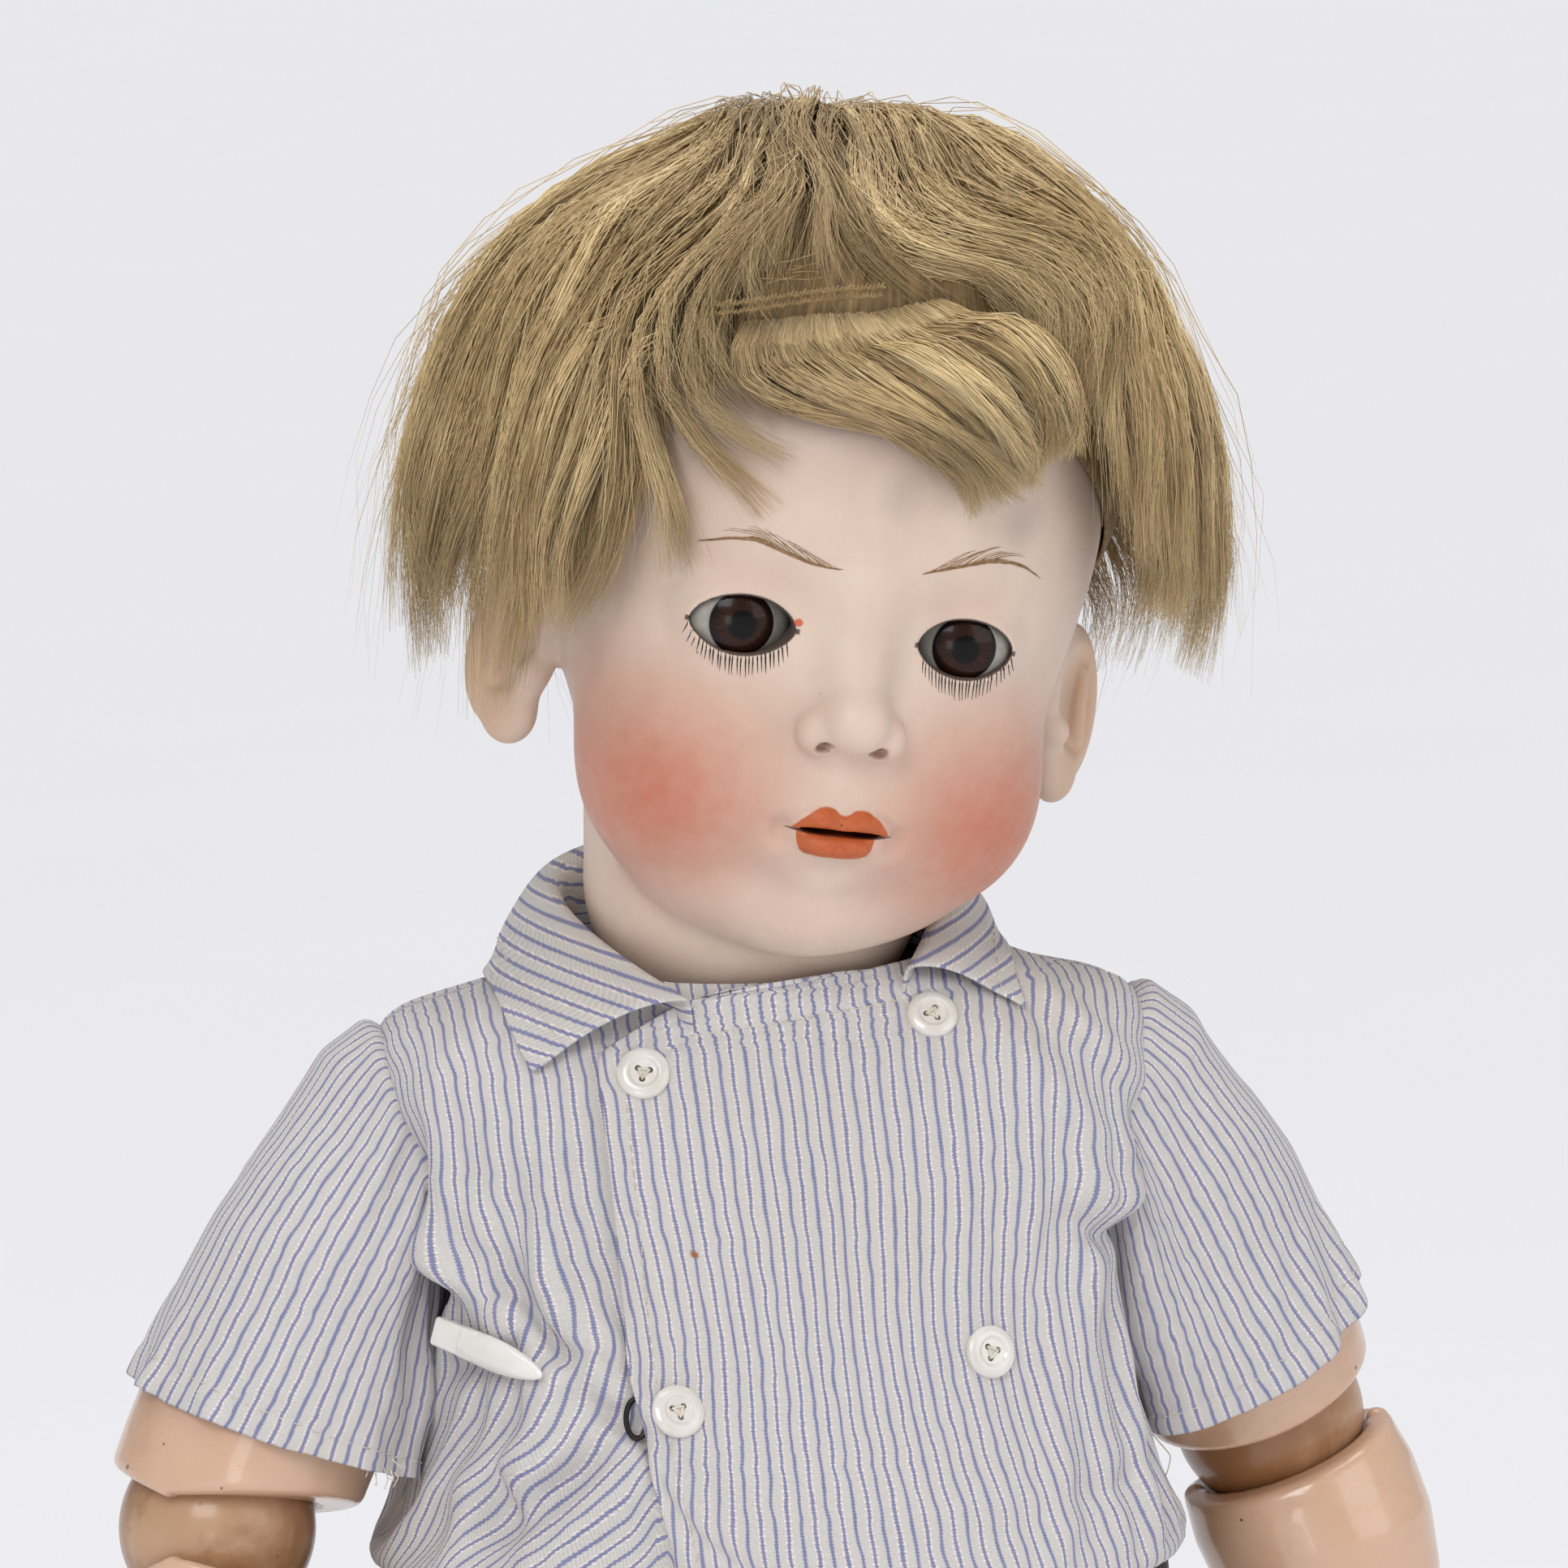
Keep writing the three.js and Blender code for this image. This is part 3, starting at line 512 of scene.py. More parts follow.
def blob(m, cx, cz, rx, rz, inner=0.15, outer=1.0, source=None):
    """Soft spot on the face about (cx, cz), 1 in the middle."""
    px = m.math("DIVIDE", m.math("SUBTRACT", source or x, cx), rx)
    pz = m.math("DIVIDE", m.math("SUBTRACT", z, cz), rz)
    r = m.math("SQRT", m.math("ADD", m.math("MULTIPLY", px, px), m.math("MULTIPLY", pz, pz)))
    return m.smooth(r, inner, outer, 1.0, 0.0)


front = m.smooth(y, -8.0, -30.0, 0.0, 1.0)
base = m.ramp(m.noise(loc, 0.05, 3, 0.6), [(0.3, (211, 187, 170)), (0.7, (222, 200, 183))])
blush_noise = m.noise(loc, 0.22, 4, 0.6)
blush = m.math("MULTIPLY", blob(m, 36.0, 42.5, 42.0, 40.0, 0.0, 1.0, ax_), front)
blush = m.math("MULTIPLY", blush, m.smooth(blush_noise, 0.2, 0.8, 0.84, 1.0))
c1 = m.mix(m.math("MULTIPLY", blush, 0.92), base, (188, 104, 76))
c1 = m.mix(m.math("MULTIPLY", blob(m, 0.0, 20.0, 16.0, 9.0), 0.10), c1, (205, 140, 115))
c1 = m.mix(m.math("MULTIPLY", m.smooth(ax_, 56.0, 64.0), 0.62), c1, (201, 160, 126))
# painted shade: the top of the forehead, under the fringe, is drawn cooler and darker; a warm tint lies over the upper
# lids
c1 = m.mix(m.math("MULTIPLY", m.math("MULTIPLY", m.smooth(z, 104.0, 128.0), front), 0.35), c1, (186, 164, 158))
c1 = m.mix(m.math("MULTIPLY", blob(m, 23.0, 91.0, 17.0, 6.0, 0.1, 1.0, ax_), 0.12), c1, (205, 165, 148))
# painted shadows of the fringe locks: two soft grey spots on the forehead below their tips
for gx, gz, fringe_shadow_w in ((4.0, 113.0, 0.30), (31.0, 108.0, 0.38)):
    c1 = m.mix(m.math("MULTIPLY", m.math("MULTIPLY", blob(m, gx, gz, 7.0, 9.0, 0.0, 1.0), front), fringe_shadow_w), c1, (150, 140, 142))
# lips: heights of the painted outline against x
axm = m.math("ABSOLUTE", m.math("SUBTRACT", x, 1.8))
xn = m.math("DIVIDE", axm, 12.0, clamp=True)
xlow = m.math("DIVIDE", m.math("ABSOLUTE", m.math("SUBTRACT", x, 0.9)), 12.0, clamp=True)
upper_top = m.curve(xn, [(0.0, 0.70), (0.06, 0.73), (0.20, 0.93), (0.34, 0.96), (0.52, 0.80), (0.70, 0.46), (0.80, 0.16), (0.86, 0.0), (1.0, 0.0)])
lower_bot = m.curve(xlow, [(0.0, 0.98), (0.40, 0.97), (0.53, 0.88), (0.63, 0.62), (0.68, 0.25), (0.70, 0.0), (1.0, 0.0)])
zt = m.math("ADD", 41.6, m.math("MULTIPLY", upper_top, 5.3))
zb = m.math("SUBTRACT", 41.0, m.math("MULTIPLY", lower_bot, 5.3))
edge = m.math("MULTIPLY", m.math("SUBTRACT", m.noise(loc, 0.7, 2, 0.5), 0.5), 0.4)
in_top = m.smooth(m.math("ADD", m.math("SUBTRACT", zt, z), edge), -0.2, 0.3)
in_bot = m.smooth(m.math("ADD", m.math("SUBTRACT", z, zb), edge), -0.2, 0.3)
in_x = m.smooth(axm, 9.9, 10.6, 1.0, 0.0)
lips = m.math("MULTIPLY", m.math("MULTIPLY", in_top, in_bot), m.math("MULTIPLY", in_x, m.smooth(y, -50.0, -54.0)))
lip_col = m.ramp(m.noise(loc, 0.5, 3, 0.6), [(0.3, (176, 74, 20)), (0.7, (198, 96, 32))])
c1 = m.mix(m.math("MULTIPLY", lips, 0.95), c1, lip_col)
# the mouth slot, drawn on to the corners as a dark line, and the nostrils
zl = m.math("ADD", m.math("SUBTRACT", z, 41.3), m.math("MULTIPLY", m.math("MULTIPLY", axm, axm), 0.003))
half = m.curve(xn, [(0.0, 0.80), (0.55, 0.72), (0.78, 0.36), (0.95, 0.12), (1.0, 0.0)])
inner = m.math("MULTIPLY", m.smooth(m.math("SUBTRACT", m.math("ABSOLUTE", zl), half), -0.25, 0.12, 1.0, 0.0), m.math("MULTIPLY", m.smooth(axm, 11.0, 11.8, 1.0, 0.0), m.smooth(y, -50.0, -54.0)))
c1 = m.mix(m.math("MULTIPLY", inner, 0.93), c1, (58, 24, 17))
axn = m.math("ABSOLUTE", m.math("SUBTRACT", x, 0.9))
nost = m.math("MULTIPLY", blob(m, 5.7, 60.0, 2.0, 1.1, 0.4, 1.0, axn), m.smooth(y, -52.0, -58.0))
c1 = m.mix(m.math("MULTIPLY", nost, 0.85), c1, (112, 56, 42))
# dark line painted round the eye openings, whose mask also darkens the openings' inner walls as painted shade; and the
# little dot at the right eye's inner corner
ex = m.math("SUBTRACT", ax_, float(EYE[0]))
ez = m.math("SUBTRACT", z, float(EYE[2]))
ew = m.math("ADD", ez, m.math("MULTIPLY", ex, 0.035))
eq = m.math("SUBTRACT", 1.0, m.math("POWER", m.math("DIVIDE", m.math("ABSOLUTE", ex), 10.6), 2.0), clamp=True)
e_up = m.math("SUBTRACT", ew, m.math("MULTIPLY", m.math("POWER", eq, 0.62), 6.1))
e_dn = m.math("SUBTRACT", m.math("MULTIPLY", m.math("POWER", eq, 0.72), -5.9), ew)
ed = m.math("MAXIMUM", e_up, e_dn)
rim_line_and_wall_shade = m.math("MULTIPLY", m.math("MULTIPLY", m.smooth(ed, 0.35, 0.75, 1.0, 0.0), m.smooth(m.math("ABSOLUTE", ex), 11.2, 11.6, 1.0, 0.0)), front)
c1 = m.mix(m.math("MULTIPLY", rim_line_and_wall_shade, 0.88), c1, (40, 28, 24))
dot = m.math("MULTIPLY", blob(m, -12.6, 83.3, 1.1, 1.1, 0.55, 1.0), front)
c1 = m.mix(m.math("MULTIPLY", dot, 0.9), c1, (206, 84, 44))
# firing specks
sp = m.voronoi(loc, 0.085)
spk = m.math("MULTIPLY", m.smooth(sp, 0.014, 0.03, 1.0, 0.0), m.smooth(m.noise(loc, 0.04, 1, 0.5), 0.52, 0.56))
c1 = m.mix(m.math("MULTIPLY", spk, 0.75), c1, (70, 52, 46))
m.color(c1)
fine = m.math("ADD", m.noise(loc, 1.6, 4, 0.6), m.math("MULTIPLY", m.noise(loc, 0.16, 2, 0.5), 1.6))
m.normal(m.bump(fine, 0.00012, 0.5))
m.rough(m.smooth(m.noise(loc, 0.4, 3, 0.6), 0.3, 0.7, 0.42, 0.54))
m.set(Subsurface_Weight=0.12, Subsurface_Radius=(0.004, 0.0022, 0.0015), Subsurface_Scale=0.6, Specular_IOR_Level=0.42)
BISQUE = m.m
paint(head, BISQUE, "head")
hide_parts("bisque_head")

# ------------------------------------------------------------------ sleeping glass eyes
m = Mat("eye_glass")
loc = m.attr("el")
x, y, z = m.xyz(loc)
r = m.math("SQRT", m.math("ADD", m.math("MULTIPLY", x, x), m.math("MULTIPLY", z, z)))
ang = m.math("ARCTAN2", z, x)
streak = m.noise(m.vec(m.math("MULTIPLY", m.math("COSINE", ang), 4.0), m.math("MULTIPLY", m.math("SINE", ang), 4.0), m.math("MULTIPLY", r, 0.12)), 3.2, 4, 0.65)
iris = m.ramp(streak, [(0.25, (24, 11, 7)), (0.55, (44, 21, 12)), (0.8, (68, 36, 20))])
iris = m.mix(m.smooth(r, 4.6, 6.6), iris, (18, 10, 7))
iris = m.mix(m.smooth(r, 2.7, 3.3, 1.0, 0.0), iris, (4, 3, 3))
white = m.ramp(m.noise(loc, 0.35, 3, 0.6), [(0.3, (146, 142, 134)), (0.7, (174, 168, 158))])
eye_c = m.mix(m.smooth(r, 6.55, 6.95), iris, white)
# the lid half of the ball is painted like the face, for when the eyes are shut
eye_c = m.mix(m.math("MULTIPLY", m.smooth(z, 7.3, 7.8), 1.0), eye_c, (214, 176, 156))
m.color(eye_c)
m.set(Roughness=0.22, Coat_Weight=0.14, Coat_Roughness=0.04, Specular_IOR_Level=0.16)
EYE_MAT = m.m
for k, s in (("r", -1), ("l", 1)):
    n_lat, n_lon = 48, 72
    vs, fs = [], []
    # rings about the eye's own Y axis, from the front pole to the cut at the back
    for i in range(n_lat + 1):
        a = math.radians(136) * i / n_lat
        rr = EYE_R * (1.0 + (0.016 if a < 0.55 else 0.016 * max(0.0, 1 - (a - 0.55) / 0.12)))
        for j in range(n_lon):
            b = 2 * math.pi * j / n_lon
            vs.append((rr * math.sin(a) * math.cos(b), -rr * math.cos(a), rr * math.sin(a) * math.sin(b)))
    for i in range(n_lat):
        for j in range(n_lon):
            p, q = i * n_lon + j, i * n_lon + (j + 1) % n_lon
            if i:
                fs.append((p, q, q + n_lon, p + n_lon))
            else:
                fs.append((p, q + n_lon, p + n_lon))
    fs.append(tuple(n_lat * n_lon + j for j in range(n_lon)))
    vs = np.array(vs)
    # all points of the first ring sit on the pole
    ob = mesh("eye_" + k, head_to_doll(vs + np.array([s * EYE[0], EYE[1], EYE[2]])), fs, attrs={"el": vs})
    bm_ob = ob
    paint(ob, EYE_MAT, "eyes")
    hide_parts("glass_eye_" + k)


# ------------------------------------------------------------------ painted brows and lashes: fine raised strokes
def strokes(name, paths, widths, material, body, to_doll=head_to_doll, lift=0.05, thick=0.07):
    """Flat tapered strokes, each a path of (points, normals), as one mesh of closed slivers."""
    vs, fs = [], []
    for (pts, nrm), wd in zip(paths, widths):
        pts, nrm = np.array(pts), np.array(nrm)
        n = len(pts)
        tan = np.gradient(pts, axis=0)
        tan /= np.linalg.norm(tan, axis=1, keepdims=True) + 1e-9
        side = np.cross(tan, nrm)
        side /= np.linalg.norm(side, axis=1, keepdims=True) + 1e-9
        b = len(vs)
        for i in range(n):
            t = i / (n - 1)
            w = wd * (min(1.0, 0.35 + t * 3.0) * (1 - t) ** 0.7 + 0.06)
            c = pts[i] + nrm[i] * lift
            vs += [c - side[i] * w / 2 - nrm[i] * thick, c + nrm[i] * thick, c + side[i] * w / 2 - nrm[i] * thick]
        for i in range(n - 1):
            for j in range(3):
                a, a2 = b + 3 * i + j, b + 3 * i + (j + 1) % 3
                fs.append((a, a2, a2 + 3, a + 3))
        fs.append((b + 2, b + 1, b))
        e = b + 3 * (n - 1)
        fs.append((e, e + 1, e + 2))
    ob = mesh(name, to_doll(np.array(vs)), fs)
    paint(ob, material, body)
    return ob


def face_path(pts2):
    P, N = [], []
    for px, pz in pts2:
        p, n = head_hit(px, pz)
        if p is None:
            return None
        P.append(p)
        N.append(n)
    return P, N


rng = random.Random(7)
m = Mat("brow_paint")
m.color(m.ramp(m.noise(m.obj(), 900, 2, 0.5), [(0.3, (130, 97, 62)), (0.7, (166, 130, 92))]))
m.set(Roughness=0.6)
BROW = m.m
m = Mat("lash_paint")
m.color(m.ramp(m.noise(m.obj(), 700, 2, 0.5), [(0.3, (24, 17, 14)), (0.7, (52, 38, 30))]))
m.set(Roughness=0.5)
LASH = m.m


# the low edge of each brow from its inner end outwards, x and z in the head's frame
BROW_LINE = {
    -1: [(-5.8, 96.0), (-9.1, 95.9), (-12.4, 96.2), (-16.6, 97.2), (-21.0, 98.6), (-24.0, 99.3), (-28.7, 98.5), (-34.5, 96.6)],
    1: [(10.4, 96.8), (14.6, 97.8), (19.8, 99.1), (24.3, 100.0), (27.5, 100.2), (30.6, 99.8), (34.3, 98.7), (38.4, 96.4)],
}


def brow_at(s, t):
    line = np.array(BROW_LINE[s])
    c = np.concatenate([[0], np.cumsum(np.linalg.norm(np.diff(line, axis=0), axis=1))])
    q = np.clip(t, 0, 1) * c[-1]
    return np.array([np.interp(q, c, line[:, 0]), np.interp(q, c, line[:, 1])])


paths, widths = [], []
for s in (-1, 1):
    # core of short strokes laid along the low edge
    for i in range(58):
        t0 = 0.80 * (i + rng.random()) / 58
        ln = rng.uniform(0.16, 0.30)
        body = math.sin(math.pi * min(1.0, (t0 + 0.12) / 0.92)) ** 0.8
        up = rng.uniform(0.0, 1.15) * body
        pts = []
        for q in np.linspace(0, 1, 8):
            b = brow_at(s, t0 + ln * q)
            pts.append((b[0], b[1] + up * (0.35 + 0.65 * q) - 0.25 * q * q * body))
        fp = face_path(pts)
        if fp:
            paths.append(fp)
            widths.append(rng.uniform(0.26, 0.46) * (0.55 + 0.45 * body))
    # longer hairs that leave the low edge and sweep up and out
    for i in range(15):
        t0 = 0.05 + 0.50 * (i + rng.uniform(-0.3, 0.3)) / 15
        ln = rng.uniform(0.20, 0.34)
        rise = rng.uniform(2.0, 3.3) * (0.55 + 0.45 * math.sin(math.pi * min(1.0, t0 / 0.5 * 0.8 + 0.15)))
        pts = []
        for q in np.linspace(0, 1, 10):
            b = brow_at(s, t0 + ln * q)
            pts.append((b[0], b[1] + 0.2 + rise * (1 - (1 - q) ** 1.5)))
        fp = face_path(pts)
        if fp:
            paths.append(fp)
            widths.append(rng.uniform(0.17, 0.28))
brows = strokes("brows", paths, widths, BROW, "head")
paths, widths = [], []
for s in (-1, 1):
    count = 26
    for i in range(count):
        u = -9.6 + 20.6 * (i + 0.5) / count + rng.uniform(-0.12, 0.12)
        q = max(0.0, 1 - (u / 10.6) ** 2)
        w = -5.9 * q**0.72 - 0.035 * u - 0.25 - 0.45 * max(0.0, 1 - q * 4)
        lean = 0.10 * s + 0.30 * max(0.0, (u - 6) / 4.6) - 0.12 * max(0.0, (-u - 7) / 3) + rng.uniform(-0.03, 0.03)
        ln = rng.uniform(3.9, 4.7) * (0.66 + 0.34 * q)
        pts = []
        for f in np.linspace(0.0, 1, 8):
            pts.append((s * (EYE[0] + u + lean * ln * f * (0.75 + 0.4 * f)), EYE[2] + w - ln * f))
        fp = face_path(pts)
        if fp and max(np.abs(np.diff(np.array(fp[0])[:, 1]))) < 2.5:
            paths.append(fp)
            widths.append(rng.uniform(0.44, 0.58))
lashes = strokes("lashes", paths, widths, LASH, "head")
# ------------------------------------------------------------------ mohair wig: cap, locks of fine strands, stitched weft
SHELL_C, SHELL_R = np.array([2.0, 8.0, 102.0]), np.array([87.0, 84.0, 81.0])
CROWN = np.array([-5.0, 56.0, 169.0])
# Lines that the hair lies along, from the crown to the tips, in the head's frame
GUIDES = {
    "L1": [(-20, 7, 182), (-37, 1, 176), (-52, 0, 166), (-66, 1, 153), (-76, 5, 138), (-83, 5, 120), (-86, 6, 100), (-85, 9, 79), (-84, 9, 62), (-82, 8, 47)],
    "L2": [(-22, 0, 181), (-38, -10, 173), (-52, -17, 162), (-64, -21, 148), (-73, -22, 132), (-79, -19, 113), (-82, -14, 94), (-80, -11, 76), (-77, -9, 60), (-75, -8, 47)],
    "L3": [(-23, -6, 180), (-37, -19, 171), (-50, -28, 158), (-60, -33, 143), (-67, -36, 127), (-72, -35, 109), (-74, -32, 91), (-72, -30, 76), (-69, -27, 60), (-66, -25, 48)],
    "L4": [(-23, -12, 179), (-34, -26, 169), (-45, -36, 156), (-54, -43, 141), (-60, -45, 126), (-64, -46, 110), (-66, -43, 95), (-63, -41, 78), (-60, -39, 64), (-58, -36, 53)],
    "L5": [(-22, -15, 178), (-31, -30, 169), (-40, -40, 156), (-48, -47, 142), (-53, -51, 129), (-56, -52, 115), (-58, -50, 100), (-58, -47, 86), (-56, -45, 72), (-54, -43, 60)],
    "L6": [(-21, -18, 177), (-29, -33, 168), (-36, -43, 157), (-42, -50, 145), (-47, -54, 133), (-50, -55, 123), (-51, -55, 114), (-53, -53, 102), (-53, -51, 89), (-52, -49, 76)],
    "F1": [(-19, -23, 176), (-25, -37, 167), (-30, -46, 157), (-34, -53, 147), (-39, -56, 138), (-41, -58, 131), (-39, -60, 125), (-30, -64, 119), (-21, -67, 114), (-15, -67, 109)],
    "F2": [(-17, -25, 175), (-22, -39, 166), (-25, -48, 158), (-27, -54, 151), (-32, -57, 143), (-36, -60, 134), (-35, -62, 129), (-27, -65, 126), (-20, -67, 121), (-18, -67, 116)],
    "C1": [(-14, -28, 175), (-16, -42, 166), (-16, -50, 158), (-16, -55, 152)],
    "C2": [(-11, -28, 175), (-9, -42, 167), (-5, -51, 160), (0, -56, 154), (7, -60, 149)],
    "R1": [(-8, -30, 175), (0, -43, 167), (12, -49, 162), (23, -51, 157), (32, -53, 152), (35, -57, 145), (34, -61, 137), (30, -64, 131), (27, -66, 124)],
    "R2": [(-4, -26, 177), (7, -39, 170), (20, -45, 164), (32, -47, 158), (40, -50, 150), (43, -54, 142), (41, -58, 134), (35, -62, 126)],
    "R3": [(2, -21, 179), (15, -32, 173), (29, -37, 166), (41, -41, 158), (49, -44, 149), (51, -49, 141), (48, -55, 132), (46, -58, 126), (47, -57, 118)],
    "R4": [(6, -13, 182), (22, -23, 176), (37, -30, 168), (50, -34, 157), (57, -40, 145), (60, -46, 134), (60, -50, 124), (62, -49, 116), (65, -47, 108)],
    "R5": [(12, -1, 183), (30, -8, 179), (46, -16, 169), (58, -24, 156), (67, -30, 143), (71, -35, 131), (72, -39, 118), (73, -40, 106), (73, -39, 94), (74, -36, 82)],
    "R6": [(17, 14, 184), (36, 10, 180), (54, 5, 170), (68, 0, 156), (78, -6, 141), (84, -8, 127), (89, -8, 113), (89, -13, 100), (86, -18, 86), (82, -20, 72)],
}
FRINGE = [
    [(-34, -54, 146), (-37, -58, 139), (-34, -61, 133), (-25, -65, 130), (-14, -67, 129), (-5, -68, 127), (5, -69, 122), (15, -69, 117), (23, -68, 110)],
    [(-26, -57, 148), (-28, -60, 141), (-23, -64, 136), (-14, -67, 133), (-4, -69, 130), (7, -70, 125), (17, -70, 119), (25, -68, 112)],
    [(-19, -58, 150), (-19, -62, 144), (-12, -66, 138), (-3, -69, 134), (8, -71, 128), (18, -70, 121), (26, -68, 114)],
    [(-13, -59, 151), (-9, -63, 146), (-1, -67, 141), (9, -69, 135), (18, -70, 128), (25, -69, 120), (28, -67, 114)],
    [(-6, -59, 152), (0, -63, 148), (8, -65, 144), (17, -67, 138), (24, -68, 131), (28, -68, 123), (28, -67, 116)],
    [(0, -58, 154), (8, -61, 151), (17, -62.5, 146), (25, -63.5, 140), (31, -64, 132), (33, -64.5, 125), (32, -65, 118)],
    [(8, -56, 156), (18, -57, 153), (27, -58, 148), (34, -59, 142), (38, -60, 135), (39, -61, 128), (38, -62, 121)],
]
hair_rng = np.random.RandomState(11)


def resample(pts, n):
    pts = np.asarray(pts, float)
    s = np.r_[0, np.cumsum(np.linalg.norm(np.diff(pts, axis=0), axis=1))]
    q = np.stack([np.interp(np.linspace(0, s[-1], 80), s, pts[:, i]) for i in range(3)], 1)
    for _ in range(14):
        q[1:-1] = 0.25 * q[:-2] + 0.5 * q[1:-1] + 0.25 * q[2:]
    s = np.r_[0, np.cumsum(np.linalg.norm(np.diff(q, axis=0), axis=1))]
    return np.stack([np.interp(np.linspace(0, s[-1], n), s, q[:, i]) for i in range(3)], 1)


def back_guide(deg):
    """From the crown over the back of the head. deg 0 is the doll's left, 90 the back, 180 its right."""
    c = unit((CROWN - SHELL_C) / SHELL_R)
    h = np.array([math.cos(math.radians(deg)), math.sin(math.radians(deg)), 0.0])
    h = unit(h - c * (h @ c))
    back = math.sin(math.radians(deg))
    end = math.radians(108 + 8 * back)
    out = []
    for a in np.linspace(0, end, 12):
        n = math.cos(a) * c + math.sin(a) * h
        k = 1.0 - 0.05 * back * max(0.0, (a - 1.5) / 0.8)
        out.append(SHELL_C + n * SHELL_R * k)
    return out


ring = [resample(back_guide(d), 60) for d in (8, 24, 42, 62, 82, 102, 122, 142, 160, 174)]


def from_crown(g):
    """A guide led over the top of the wig from the crown to its own first point."""
    u0, u1 = (CROWN - SHELL_C) / SHELL_R, (np.array(g[0]) - SHELL_C) / SHELL_R
    lead = []
    for s in (0.0, 0.2, 0.4, 0.6, 0.8):
        q = u0 * (1 - s) + u1 * s
        lead.append(SHELL_C + SHELL_R * q / np.linalg.norm(q) * (np.linalg.norm(u0) * (1 - s) + np.linalg.norm(u1) * s))
    return resample(lead + list(map(np.array, g)), 60)


ring += [from_crown(GUIDES[k][1:]) for k in ("L1", "L2", "L3", "L4", "L5", "L6", "F1", "F2", "C1", "C2", "R1", "R2", "R3", "R4", "R5", "R6")]
NP_ = 11
flow_rng = np.random.RandomState(17)
FLOW = []
for wl, am in ((120, 1.2), (100, 1.1), (84, 1.0), (70, 0.9), (60, 0.8), (52, 0.6), (44, 0.45), (36, 0.3)):
    kv = flow_rng.normal(0, 1, 3)
    FLOW.append((kv / np.linalg.norm(kv) * 6.283 / wl, flow_rng.uniform(0, 6.28, 2), am))


def flow(P):
    """Two smooth, slowly varying values over the head that wave neighbouring strands together."""
    a = sum(am * np.sin(P @ kv + ph[0]) for kv, ph, am in FLOW)
    b = sum(am * np.sin(P @ kv[[2, 0, 1]] + ph[1]) for kv, ph, am in FLOW)
    return a / 2.0, b / 2.0




